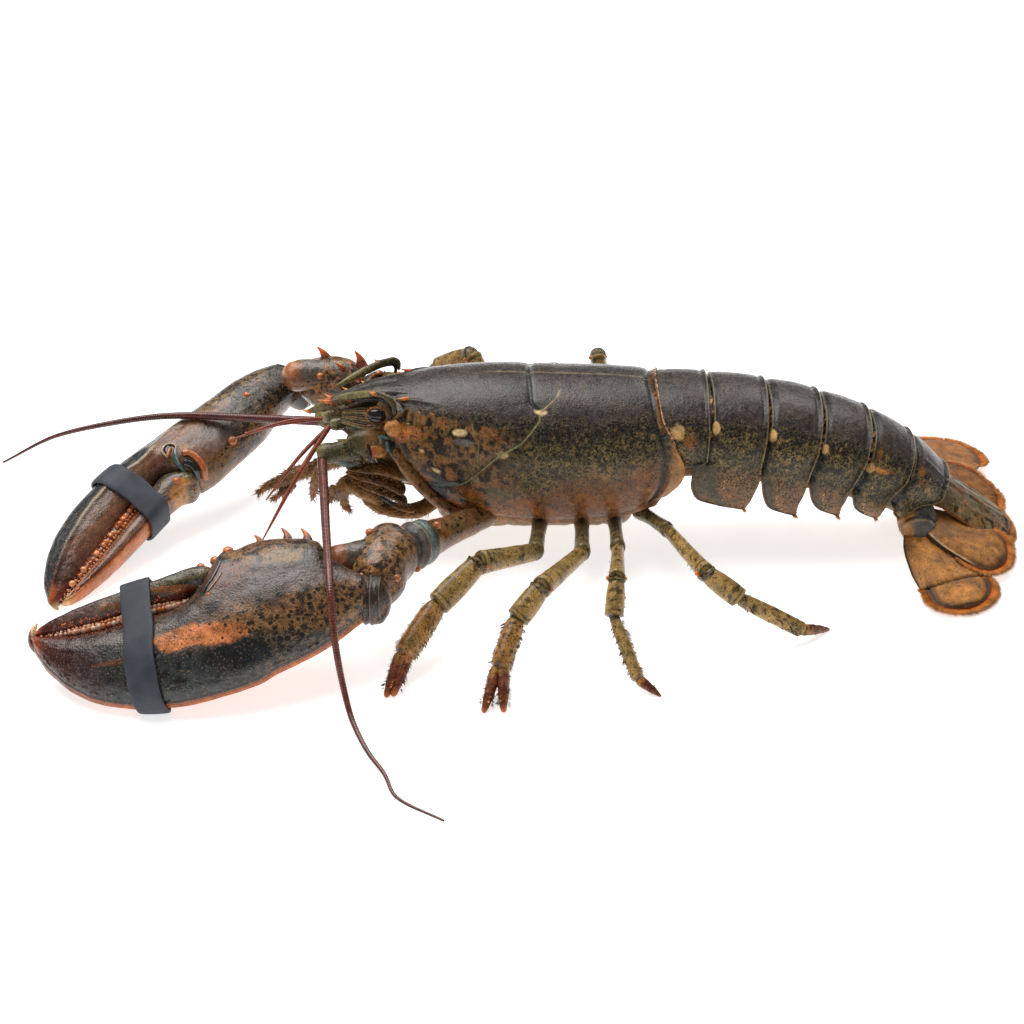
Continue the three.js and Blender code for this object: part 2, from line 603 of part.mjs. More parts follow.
function makeClaw(claw) {
  const frame = clawFrame(claw);
  const palm = clawBody(claw, { lower: claw.outer, upper: claw.palm, from: claw.outer[0][0], to: claw.length, thickShare: 1, steps: 20, sides: 14, caps: [0.03, 0.05], skew: claw.skew });
  const spines = claw.spines.map(([x, y]) => spine([x, y - 1.5, 0], [0.4, 1, 0], 5, 1.7));
  return join([palm, ...spines].map((g) => placed(g, frame)));
}

// The hinged finger lies along the palm's inner edge.
function makeFinger(claw) {
  const frame = clawFrame(claw);
  const start = claw.finger[0][0];
  const end = claw.finger[claw.finger.length - 1][0];
  const gape = claw.palm.filter(([x]) => x > start + 10).map(([x, y]) => [x, y + 0.5]);
  const lower = [[start, claw.finger[0][1] - 15], [start + 7, gape[0][1] + 3], ...gape];
  const body = clawBody(claw, { lower, upper: claw.finger, from: start, to: end, thickShare: 0.82, steps: 10, sides: 10, caps: [0.1, 0.06], skew: 0 });
  return solid(placed(body, frame));
}

function makeRubberBand(claw) {
  const low = profile(claw.outer)(claw.band);
  const high = profile(claw.finger)(claw.band);
  const thick = profile(claw.thick)(claw.band) * 1.16 + rubberBand.slack;
  const middle = (low + high) / 2;
  const half = (high - low) / 2 + rubberBand.slack;
  const turns = 24;
  const rings = [];
  for (let j = 0; j < turns; j += 1) {
    const angle = (2 * Math.PI * j) / turns;
    const c = Math.cos(angle);
    const s = Math.sin(angle);
    const corner = (x, out) => {
      const y = middle + (half + out) * Math.sign(c) * Math.abs(c) ** 0.8;
      const z = (thick + out) * Math.sign(s) * Math.abs(s) ** 0.8 * (s < 0 ? claw.underShare : 1);
      return new THREE.Vector3(claw.band + x + claw.lean * (y - middle), y, z);
    };
    const w = rubberBand.width / 2;
    rings.push([corner(-w, 0), corner(-w, rubberBand.thick), corner(w, rubberBand.thick), corner(w, 0)]);
  }
  const positions = rings.flat().flatMap((p) => [p.x, p.y, p.z]);
  const faces = [];
  for (let j = 0; j < turns; j += 1) {
    for (let k = 0; k < 4; k += 1) {
      const a = j * 4;
      const b = ((j + 1) % turns) * 4;
      const m = (k + 1) % 4;
      faces.push(a + k, a + m, b + m, a + k, b + m, b + k);
    }
  }
  return solid(placed(faceOut(positions, faces), clawFrame(claw)));
}

function makeArm(side) {
  return solid(limb(side.shoulder, side.elbow, [side.armRadius[0], (side.armRadius[0] + side.armRadius[1]) / 2, side.armRadius[1]], { flat: 0.8, steps: 6, sides: 9, side: [0, 0, 1] }));
}

function makeWrist(side) {
  const knob = limb(side.elbow, side.wristTo, side.wristRadius, { flat: 0.95, steps: 7, sides: 10 });
  const lobe = limb(side.lobe[0], side.lobe[1], [side.lobeRadius, side.lobeRadius, side.lobeRadius * 0.9], { flat: 0.85, steps: 5, sides: 8 });
  return join([knob, lobe]);
}

// Walking legs

const legDetail = { steps: 4, sides: 6 };

function makeLegUpper({ joints, radii }) {
  return join([
    limb(joints[0], joints[1], [radii[0], radii[0] * 0.85, radii[0]], legDetail),
    limb(joints[1], joints[2], [radii[1] * 0.95, radii[1], radii[2] * 0.92], legDetail),
  ]);
}

// The shin, the long piece below it, and a toe, or a pincer with its two fingers shut or open.
function makeLegLower({ joints, radii, pincer }) {
  const [, , knee, ankle, toe, tip] = joints;
  const end = radii[4];
  const pieces = [
    limb(knee, ankle, [radii[2] * 0.9, radii[2], radii[2] * 0.98], legDetail),
    limb(ankle, toe, [radii[3] * 0.85, radii[3], radii[3] * 0.92], legDetail),
  ];
  if (pincer === "open") {
    const apart = point(tip).sub(point(toe)).cross(point([0, 0, 1])).normalize();
    [-1, 1].forEach((way) => {
      const root = point(toe).addScaledVector(apart, way * 0.9);
      const claw = point(tip).addScaledVector(apart, way * 2.4);
      pieces.push(limb(root.toArray(), claw.toArray(), [end * 0.8, end * 0.75, end * 0.3], legDetail));
    });
  } else {
    const toeRadii = pincer ? [end * 1.2, end * 1.15, end * 0.4] : [end, end * 0.8, end * 0.3];
    pieces.push(limb(toe, tip, toeRadii, { ...legDetail, flat: pincer ? 0.7 : 0.85 }));
  }
  return join(pieces);
}

// The whole lobster

const finishes = {
  shell: { color: 0x2b2724, roughness: 0.35, metalness: 0 },
  underside: { color: 0x8a6a48, roughness: 0.5, metalness: 0 },
  head: { color: 0x6a5a38, roughness: 0.45, metalness: 0 },
  eye: { color: 0x0a0a0a, roughness: 0.12, metalness: 0 },
  fan: { color: 0xa8682e, roughness: 0.45, metalness: 0 },
  claw: { color: 0x3a2a22, roughness: 0.35, metalness: 0 },
  leg: { color: 0x6b5a34, roughness: 0.45, metalness: 0 },
  whip: { color: 0x4a1f1a, roughness: 0.45, metalness: 0 },
  rubber: { color: 0x3b4049, roughness: 0.6, metalness: 0 },
};

const lobster = new THREE.Group();

// Adds a named part, cut level with the floor where it would dip below, and hands its solid back.
function addPart(name, whole, finish) {
  const above = whole.trimByPlane([0, 0, 1], 0).simplify(smallest);
  const body = above.decompose().sort((a, b) => b.volume() - a.volume())[0];
  const mesh = new THREE.Mesh(geometryOf(body), new THREE.MeshStandardMaterial(finishes[finish]));
  mesh.name = name;
  lobster.add(mesh);
  return body;
}

const thoraxBody = addPart("thorax", makeThorax(), "underside");
const carapaceBody = addPart("carapace", clearOf(makeCarapace(), thoraxBody), "shell");
const headBody = addPart("head", clearOf(makeHead(), carapaceBody, thoraxBody), "head");

let inFront = carapaceBody;
abdomen.axis.slice(1).forEach((_, k) => {
  const cutters = k === 0 ? [inFront, thoraxBody] : [inFront];
  inFront = addPart(`abdomen_${k + 1}`, clearOf(makePlate(k), ...cutters), "shell");
});
const telsonBody = addPart("telson", clearOf(makeTelson(), inFront), "shell");

["left", "right"].forEach((word) => {
  const hand = word === "left" ? left : right;
  const eyeBody = addPart(`eye_${word}`, clearOf(makeEye(hand), carapaceBody, headBody), "eye");
  const stemBody = addPart(`antenna_base_${word}`, clearOf(makeAntennaStem(hand), carapaceBody, headBody, eyeBody), "head");
  const feelerBody = addPart(`antennules_${word}`, clearOf(makeFeelers(hand), headBody, carapaceBody, stemBody), "whip");
  const mouthBody = addPart(`maxilliped_${word}`, clearOf(makeMouthLimb(hand), carapaceBody, thoraxBody, headBody, stemBody), "head");

  const fan = fanLeaves[word];
  const fanBase = addPart(`uropod_base_${word}`, clearOf(solid(limb(fan.base.from, fan.base.to, [fan.base.radius, fan.base.radius, fan.base.radius * 0.9])), inFront, telsonBody), "shell");
  const innerLeaf = addPart(`uropod_inner_${word}`, clearOf(makeFanLeaf(fan.inner), inFront, telsonBody, fanBase), "fan");
  addPart(`uropod_outer_${word}`, clearOf(makeFanLeaf(fan.outer), inFront, fanBase, innerLeaf), "fan");

  const claw = word === "left" ? crusher : cutter;
  const arm = arms[word];
  const armBody = addPart(`claw_arm_${word}`, clearOf(makeArm(arm), carapaceBody, thoraxBody, headBody, mouthBody), "claw");
  const wristBody = addPart(`claw_wrist_${word}`, clearOf(makeWrist(arm), armBody, carapaceBody), "claw");
  const palmBody = addPart(`claw_palm_${word}`, clearOf(makeClaw(claw), wristBody, armBody), "claw");
  const fingerBody = addPart(`claw_finger_${word}`, clearOf(makeFinger(claw), palmBody), "claw");
  const bandBody = addPart(`band_${word}`, clearOf(makeRubberBand(claw), palmBody, fingerBody), "rubber");
  addPart(`antenna_${word}`, clearOf(makeWhip(hand), stemBody, palmBody, fingerBody, wristBody, bandBody, feelerBody), "whip");

  legs[word].forEach((leg, i) => {
    const upper = addPart(`leg_${word}_${i + 1}_upper`, clearOf(makeLegUpper(leg), carapaceBody, thoraxBody, armBody), "leg");
    addPart(`leg_${word}_${i + 1}_lower`, clearOf(makeLegLower(leg), upper), "leg");
  });
});

const box = new THREE.Box3().setFromObject(lobster);
const middle = box.getCenter(new THREE.Vector3());
lobster.position.set(-middle.x, -middle.y, -box.min.z);

export default lobster;
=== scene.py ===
import bpy
import numpy as np
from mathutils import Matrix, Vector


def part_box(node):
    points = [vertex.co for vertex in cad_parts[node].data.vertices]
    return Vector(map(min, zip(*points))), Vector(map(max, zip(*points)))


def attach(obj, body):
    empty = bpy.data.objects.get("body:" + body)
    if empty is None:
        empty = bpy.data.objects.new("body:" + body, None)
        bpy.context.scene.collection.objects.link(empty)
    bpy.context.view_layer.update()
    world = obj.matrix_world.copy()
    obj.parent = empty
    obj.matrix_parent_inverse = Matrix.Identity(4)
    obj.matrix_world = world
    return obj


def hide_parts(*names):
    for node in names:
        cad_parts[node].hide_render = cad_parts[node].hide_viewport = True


# A raw lobster with banded claws. Shapes are worked out in millimetres about the point on the
# floor under the middle of the carapace: x towards the tail, y away from the camera, z up.
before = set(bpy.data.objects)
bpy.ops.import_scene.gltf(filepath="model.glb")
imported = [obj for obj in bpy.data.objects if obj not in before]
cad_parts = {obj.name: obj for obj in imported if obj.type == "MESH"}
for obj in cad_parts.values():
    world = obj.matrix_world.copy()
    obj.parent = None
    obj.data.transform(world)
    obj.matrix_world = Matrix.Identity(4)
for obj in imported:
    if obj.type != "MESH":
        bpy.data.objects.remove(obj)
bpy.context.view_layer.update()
lowCorner, highCorner = (np.array(corner) * 1000 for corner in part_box("thorax"))
shift = np.array([(lowCorner[0] + highCorner[0]) / 2 - 8.5, (lowCorner[1] + highCorner[1]) / 2, 0])
near, far = -1, 1  # the lobster's left side, at -y, and its right side
draw = np.random.default_rng(11)
print("frame loaded, shift in mm:", shift.round(2))


# Shared sums on arrays

def smoothLine(pairs, places):
    # Cubic pieces through [place, value] pairs, whose slope at a pair is the harmonic mean of the
    # slopes beside it and zero at a turning point; flat beyond both ends.
    xs, ys = np.array(pairs, float).T
    rise = np.diff(ys) / np.diff(xs)
    product = rise[:-1] * rise[1:]
    mean = 2 * product / np.where(product > 0, rise[:-1] + rise[1:], 1)
    slopes = np.r_[rise[0], np.where(product > 0, mean, 0), rise[-1]]
    x = np.clip(places, xs[0], xs[-1])
    i = np.clip(np.searchsorted(xs, x) - 1, 0, len(xs) - 2)
    step = xs[i + 1] - xs[i]
    s = (x - xs[i]) / step
    ease = s * s * (3 - 2 * s)
    bend = s * (1 - s) ** 2 * slopes[i] - s * s * (1 - s) * slopes[i + 1]
    return ys[i] * (1 - ease) + ys[i + 1] * ease + step * bend


def spread(value, t):
    # A constant, values evenly spaced from 0 to 1, or a smooth line through pairs, at every t.
    if np.ndim(value) == 1:
        value = np.c_[np.linspace(0, 1, len(value)), value]
    return smoothLine(value, t) if np.ndim(value) else np.full_like(t, value)


def scaledBy(value, factor):
    # A constant, even values or pairs, with the values times the factor.
    value = np.array(value, float)
    return value * [1, factor] if value.ndim == 2 else value * factor


def curve(points, t):
    # A path through points: each axis is a smooth line over the share of the summed chords.
    points = np.array(points, float)
    chords = np.r_[0, np.cumsum(np.linalg.norm(np.diff(points, axis=0), axis=1))]
    return np.stack([smoothLine(np.c_[chords / chords[-1], points[:, a]], t) for a in range(3)], -1)


def unit(vectors):
    # Each vector over its length.
    vectors = np.array(vectors, float)
    return vectors / np.maximum(np.linalg.norm(vectors, axis=-1, keepdims=True), 1e-9)


def bent(value, power):
    # A sine or cosine raised to a power, with its sign kept.
    return np.sign(value) * np.abs(value) ** power


def ramp(value, low, high):
    # 0 below low, 1 above high, eased between: 3 s squared less 2 s cubed.
    s = np.clip((value - low) / (high - low), 0, 1)
    return s * s * (3 - 2 * s)


def fall(value, low, high):
    # One less the ramp.
    return 1 - ramp(value, low, high)


def bell(distance, width):
    # Falls from 1 as e to the minus (distance over width) squared.
    return np.exp(-((distance / width) ** 2))


def rounding(t, caps):
    # The half circle's height over each end's share of the length, and 1 between.
    short = np.maximum(0, np.maximum(1 - t / caps[0], 1 - (1 - t) / caps[1]))
    return np.sqrt(np.maximum(0, 1 - short**2))


latticeSize = 32
lattice = np.random.default_rng(5).uniform(-1, 1, (latticeSize,) * 3)


def lumps(points, size, offset=0.0):
    # Noise from -1 to 1: random values at the corners of cubes of one size, blended by eased weights.
    place = np.asarray(points) / size + offset
    whole = np.floor(place).astype(int)
    part = place - whole
    part = part * part * (3 - 2 * part)
    total = np.zeros(place.shape[:-1])
    for corner in np.ndindex(2, 2, 2):
        cell = (whole + corner) % latticeSize
        weight = np.prod(np.where(corner, part, 1 - part), axis=-1)
        total += weight * lattice[cell[..., 0], cell[..., 1], cell[..., 2]]
    return total


# Pigments: a colour, and how thickly dark specks lie on it. Both are kept at each vertex.

def pigment(colour, specks):
    # Red, green and blue from the hex code by the sRGB curve, and the specks as the fourth value.
    rgb = np.array([int(colour[i : i + 2], 16) for i in (0, 2, 4)]) / 255
    return np.r_[np.where(rgb <= 0.04045, rgb / 12.92, ((rgb + 0.055) / 1.055) ** 2.4), specks]


# name: colour, share of dark specks
pigments = {
    "slate": ("3b3533", 0.12), "slateSpeck": ("4a423a", 0.35), "soot": ("171615", 0.1),
    "ink": ("0f181c", 0), "teal": ("3f6462", 0.1), "tealPale": ("84948a", 0), "olive": ("67613a", 0.3),
    "olivePale": ("8d8458", 0.15), "ochreSpeck": ("8f6632", 0.62), "umber": ("84583a", 0.2),
    "rust": ("b5602a", 0.15), "rustSpeck": ("a8602c", 0.5), "tan": ("b27f4c", 0.1),
    "cream": ("e3c68e", 0), "creamDull": ("b09a72", 0), "amber": ("d9691f", 0),
    "amberPale": ("eda057", 0), "wine": ("4f2018", 0.2), "wineDark": ("33191a", 0.1),
    "chestnut": ("6b3420", 0.3), "hairBrown": ("8a4a1c", 0), "fringe": ("c8641c", 0),
    "belly": ("8f7354", 0.15), "charcoal": ("2f3334", 0.2), "clawBrown": ("5c4536", 0.3),
    "greyBrown": ("6a5a50", 0.18), "russet": ("7c3f22", 0.3), "flecked": ("8a6137", 0.55),
    "tanSpeck": ("b0844a", 0.35), "wineRed": ("5e1f12", 0.05), "ivory": ("f3dcc4", 0),
    "rubber": ("3b404a", 0), "legOlive": ("66603f", 0.3), "hairBrownDull": ("73492a", 0.2),
    "amberDull": ("a5662e", 0.1), "feelerRed": ("a04a2a", 0), "night": ("211e1b", 0.5),
    "beadPink": ("dba27a", 0), "nightFleck": ("5a4f3a", 0.85), "slateWarm": ("5a4a3c", 0.3),
    "oliveDark": ("76643a", 0.72), "oliveBrown": ("86683a", 0.55), "brownLow": ("7e4d22", 0.34),
    "rustLow": ("9a5a28", 0.25), "ochreDeep": ("93561a", 0.3), "cheekOrange": ("c8843e", 0.12),
    "cheekBrown": ("8a6232", 0.25), "wedge": ("dcae70", 0), "navy": ("1b2327", 0.1),
    "flapBrown": ("845430", 0.35), "flapRust": ("a0541f", 0.12), "fanOrange": ("bb7c36", 0.15),
    "fanDeep": ("96622f", 0.3), "hairPale": ("f0ad5e", 0), "rimOrange": ("c0682c", 0.05),
    "legOchre": ("bd8440", 0.4), "legSand": ("b08c4e", 0.35), "mouthGold": ("94693a", 0.3),
    "mouthDark": ("634424", 0.2), "bristleGold": ("c4935a", 0), "headOlive": ("51472b", 0.25),
    "headPale": ("867a4c", 0.05), "antennaRed": ("6a3024", 0), "telsonBrown": ("75674b", 0.35),
    "toothOrange": ("ee9a62", 0), "lobeBrown": ("8a5a3c", 0.05), "plateGrey": ("5d5850", 0.1),
    "collarBrown": ("33271c", 0.1), "skinTeal": ("42686c", 0.1), "violetGrey": ("7a6f6c", 0.15),
    "patchOrange": ("d9824a", 0.3),
}
pigments = {name: pigment(*row) for name, row in pigments.items()}


def lay(paint, mask, name, strength=1.0):
    # Moves the paint towards a pigment by the mask.
    return paint + (np.clip(mask, 0, 1) * strength)[..., None] * (pigments[name] - paint)


def coat(name, like):
    # One pigment at every place of an array.
    return np.broadcast_to(pigments[name], like.shape + (4,))


def over(paint, *rows):
    # Lays each (mask, pigment, strength) over the paint in turn.
    for row in rows:
        paint = lay(paint, *row)
    return paint


def patches(paint, a, b, rows, wobble):
    # Each row [a, b, radius along a, radius along b, pigment, strength] is an oval with a frayed edge.
    for rowA, rowB, radiusA, radiusB, name, strength in rows:
        away = np.hypot((a - rowA) / radiusA, (b - rowB) / radiusB) + 0.3 * wobble
        paint = lay(paint, fall(away, 0.8, 1.15), name, strength)
    return paint


# Shapes: closed skins with paint at their vertices

def outward(grid):
    # The cross product of a grid's two directions, turned away from the middles of its rings.
    normal = unit(np.cross(np.gradient(grid, axis=0), np.roll(grid, -1, 1) - np.roll(grid, 1, 1)))
    away = grid - grid.mean(axis=1, keepdims=True)
    return normal * np.sign((normal * away).sum())


def raised(skin, height):
    # Each point moved outwards by the height there.
    return dict(skin, grid=skin["grid"] + outward(skin["grid"]) * height[..., None])


def faced(points, quads, tris, paint):
    # Turns the faces round if the six-fold volume, the sum of a . (b x c), is negative.
    parts = np.concatenate([tris, quads[:, [0, 1, 2]], quads[:, [0, 2, 3]]])
    a, b, c = (points[parts[:, k]] - points.mean(0) for k in range(3))
    if (a * np.cross(b, c)).sum() < 0:
        quads, tris = quads[:, ::-1], tris[:, ::-1]
    return {"points": points, "quads": quads, "tris": tris, "paint": paint}


def closed(skin, paint):
    # A grid whose columns run round, with a pole at each end.
    grid = skin["grid"]
    n, m = grid.shape[:2]
    paint = np.broadcast_to(paint, (n, m, 4))
    index = np.arange(n * m).reshape(n, m)
    turned = np.roll(index, -1, 1)
    quads = np.stack([index[:-1], turned[:-1], turned[1:], index[1:]], -1).reshape(-1, 4)
    start, end = np.full(m, n * m), np.full(m, n * m + 1)
    tris = np.concatenate(
        [np.stack([start, turned[0], index[0]], -1), np.stack([end, index[-1], turned[-1]], -1)]
    )
    points = np.concatenate([grid.reshape(-1, 3), skin["poles"]])
    poles = np.stack([paint[0].mean(0), paint[-1].mean(0)])
    return faced(points, quads, tris, np.concatenate([paint.reshape(-1, 4), poles]))


def walled(grid, thickness, paint, inner):
    # An open sheet given a wall: the same grid moved inwards along its normal, and a strip round the rim.
    n, m = grid.shape[:2]
    normal = unit(np.cross(np.gradient(grid, axis=0), np.gradient(grid, axis=1)))
    away = grid - grid.mean(axis=(0, 1)) + np.array([0, 0, 1e-3])
    normal = normal * np.sign((normal * away).sum())
    back = grid - normal * np.asarray(thickness)[..., None]
    index = np.arange(n * m).reshape(n, m)
    front = np.stack([index[:-1, :-1], index[1:, :-1], index[1:, 1:], index[:-1, 1:]], -1).reshape(-1, 4)
    rim = np.r_[index[0, :-1], index[:-1, -1], index[-1, :0:-1], index[:0:-1, 0]]
    strip = np.stack([rim, np.roll(rim, -1), np.roll(rim, -1) + n * m, rim + n * m], -1)
    quads = np.concatenate([front, front[:, ::-1] + n * m, strip])
    points = np.concatenate([grid.reshape(-1, 3), back.reshape(-1, 3)])
    backPaint = np.broadcast_to(pigments[inner], (n * m, 4))
    return faced(points, quads, np.zeros((0, 3), int), np.concatenate([paint.reshape(-1, 4), backPaint]))


def sweep(path, side, wide, high, steps=40, sides=32, power=2.0, skew=0.0, caps=(0.2, 0.2), even=False):
    # A section carried along a path. Across is the side made square to the path and up is square to
    # both; at angle a it reaches wide * cos a across and high * sin a up, and its ends are rounded.
    part = np.linspace(0.004, 0.996, steps) if even else np.linspace(0.02, 0.98, steps)
    t = part if even else (1 - np.cos(np.pi * part)) / 2
    scale = rounding(t, caps)
    along = unit(curve(path, np.minimum(1, t + 0.01)) - curve(path, np.maximum(0, t - 0.01)))
    across = unit(np.array(side) - along * (along @ np.array(side, float))[:, None])
    up = np.cross(along, across)
    angle = np.linspace(0, 2 * np.pi, sides, endpoint=False)
    c, s = np.cos(angle), np.sin(angle)
    w = bent(c, 2 / power) * (spread(wide, t) * scale)[:, None]
    h = bent(s, 2 / power) * (spread(high, t) * scale)[:, None] * (1 + skew * c)
    grid = curve(path, t)[:, None] + across[:, None] * w[..., None] + up[:, None] * h[..., None]
    poles = curve(path, np.array([0.0, 1.0]))
    return {"grid": grid, "t": t[:, None] + 0 * angle, "angle": angle + 0 * t[:, None], "poles": poles}


def limb(start, end, radii, flat=0.85, side=(0, 0, 1), steps=30, sides=26, overlap=0.55, power=2.0):
    # A sweep between two points that runs past both by part of its radius there.
    along = unit(np.subtract(end, start))
    first = start - along * overlap * radii[0]
    last = end + along * overlap * radii[-1]
    length = np.linalg.norm(last - first)
    caps = [min(0.45, radii[0] / length), min(0.45, radii[-1] / length)]
    return sweep([first, last], side, radii, scaledBy(radii, flat), steps, sides, power, caps=caps)


def cord(path, radius, paint, steps=40, sides=14, side=(0, 0, 1)):
    # A round cord carried along a path, in one pigment.
    return closed(sweep(path, side, radius, radius, steps, sides, caps=(0.06, 0.06)), pigments[paint])


def thorn(root, way, length, radius, base="wine", tip="amberPale", hook=(0, 0, 0)):
    # A cone with a sunk foot whose tip leans over by the hook; its paint runs from base to tip.
    root, way = np.array(root, float), unit(way)
    path = [root - way * radius, root + way * length * 0.45, root + way * length + np.array(hook)]
    side = (0, 0, 1) if abs(way[2]) < 0.7 else (1, 0, 0)
    wide = [[0, radius * 1.15], [0.35, radius * 0.85], [0.7, radius * 0.42], [1, radius * 0.12]]
    skin = sweep(path, side, wide, wide, 12, 10, caps=(0.03, 0.06))
    share = ramp(skin["t"], 0.25, 0.75)[..., None]
    return closed(skin, pigments[base] * (1 - share) + pigments[tip] * share)


ballRows, ballSides = 6, 9


def beads(centres, radii, paint, stretch=(1, 1, 1)):
    # Small balls: rings of a sphere, cos and sin of the two angles, at every centre.
    down = np.linspace(0, np.pi, ballRows + 2)[1:-1, None]
    turn = np.linspace(0, 2 * np.pi, ballSides, endpoint=False)
    ball = np.stack([np.sin(down) * np.cos(turn), np.sin(down) * np.sin(turn), np.cos(down) + 0 * turn], -1)
    ring = {"grid": ball * stretch, "poles": np.array([[0, 0, 1.0], [0, 0, -1.0]]) * stretch}
    one = closed(ring, pigments["amber"])
    centres, radii = np.array(centres, float), np.asarray(radii, float)
    count, size = len(centres), len(one["points"])
    points = (centres[:, None] + radii[:, None, None] * one["points"]).reshape(-1, 3)
    offset = np.arange(count)[:, None, None] * size
    quads, tris = ((one[key] + offset).reshape(-1, one[key].shape[1]) for key in ("quads", "tris"))
    paint = np.broadcast_to(paint, (count, 4))
    return {"points": points, "quads": quads, "tris": tris, "paint": np.repeat(paint, size, 0)}


def hairs(roots, ways, lengths, radius, paint, endPaint=None, bow=0.0):
    # Three-sided spikes in two lengths; the middle is moved by the bow, a share of the length, and
    # the paint turns into the second one towards the tip.
    roots, ways = np.array(roots, float), unit(ways)
    lengths = np.broadcast_to(lengths, (len(roots),))[:, None]
    helper = np.where(np.abs(ways[:, 2:]) > 0.8, [[1.0, 0, 0]], [[0, 0, 1.0]])
    across = unit(np.cross(ways, helper))
    up = np.cross(ways, across)
    turn = np.arange(3) * 2 * np.pi / 3
    ring = across[:, None] * np.cos(turn)[:, None] + up[:, None] * np.sin(turn)[:, None]
    middle = roots + ways * lengths * 0.5 + np.array([0, 0, 1.0]) * lengths * bow
    tip = roots + ways * lengths
    points = np.concatenate(
        [roots[:, None] + ring * radius, middle[:, None] + ring * radius * 0.7, tip[:, None]], 1,
    )
    quads = np.array([[0, 1, 4, 3], [1, 2, 5, 4], [2, 0, 3, 5]])
    tris = np.array([[2, 1, 0], [3, 4, 6], [4, 5, 6], [5, 3, 6]])
    offset = np.arange(len(roots))[:, None, None] * 7
    first = np.broadcast_to(paint, (len(roots), 4))
    last = np.broadcast_to(paint if endPaint is None else endPaint, (len(roots), 4))
    shades = np.stack([first] * 3 + [(first + last) / 2] * 3 + [last], 1)
    shape = {"points": points.reshape(-1, 3), "paint": shades.reshape(-1, 4)}
    shape["quads"], shape["tris"] = (quads + offset).reshape(-1, 4), (tris + offset).reshape(-1, 3)
    return faced(shape["points"], shape["quads"], shape["tris"], shape["paint"])


def build(name, nodes, finish, shapes):
    # One object of all its shapes, in metres, which rides on the body and stands for its nodes.
    starts = np.cumsum([0] + [len(shape["points"]) for shape in shapes])
    points = np.concatenate([shape["points"] for shape in shapes])
    quads = np.concatenate([shape["quads"] + s for shape, s in zip(shapes, starts)])
    tris = np.concatenate([shape["tris"] + s for shape, s in zip(shapes, starts)])
    corners = np.r_[quads.ravel(), tris.ravel()]
    sizes = np.r_[np.full(len(quads), 4), np.full(len(tris), 3)]
    mesh = bpy.data.meshes.new(name)
    mesh.vertices.add(len(points))
    mesh.vertices.foreach_set("co", ((points + shift) / 1000).ravel())
    mesh.loops.add(len(corners))
    mesh.loops.foreach_set("vertex_index", corners)
    mesh.polygons.add(len(sizes))
    mesh.polygons.foreach_set("loop_start", np.cumsum(sizes) - sizes)
    mesh.polygons.foreach_set("use_smooth", np.ones(len(sizes), bool))
    layer = mesh.attributes.new("paint", "FLOAT_COLOR", "POINT")
    layer.data.foreach_set("color", np.concatenate([shape["paint"] for shape in shapes]).ravel())
    mesh.update(calc_edges=True)
    mesh.materials.append(finish)
    piece = bpy.data.objects.new(name, mesh)
    bpy.context.scene.collection.objects.link(piece)
    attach(piece, "root")
    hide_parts(*nodes)
    print("made", name, "with", len(quads) * 2 + len(tris), "triangles")
    return piece


# Finishes

def newFinish(name, values):
    # A material with its shader's constants set, a helper that adds a node, and one that joins a
    # value to the shader's own socket.
    finish = bpy.data.materials.new(name)
    finish.use_nodes = True
    tree = finish.node_tree
    shader = tree.nodes["Principled BSDF"]
    for socket, value in values.items():
        shader.inputs[socket].default_value = value

    def add(kind, sockets, **settings):
        made = tree.nodes.new("ShaderNode" + kind)
        for key, value in settings.items():
            setattr(made, key, value)
        for socket, value in sockets.items():
            if isinstance(value, bpy.types.NodeSocket):
                tree.links.new(value, made.inputs[socket])
            else:
                made.inputs[socket].default_value = value
        return made

    def join(socket, value):
        tree.links.new(value, shader.inputs[socket])

    return finish, add, join


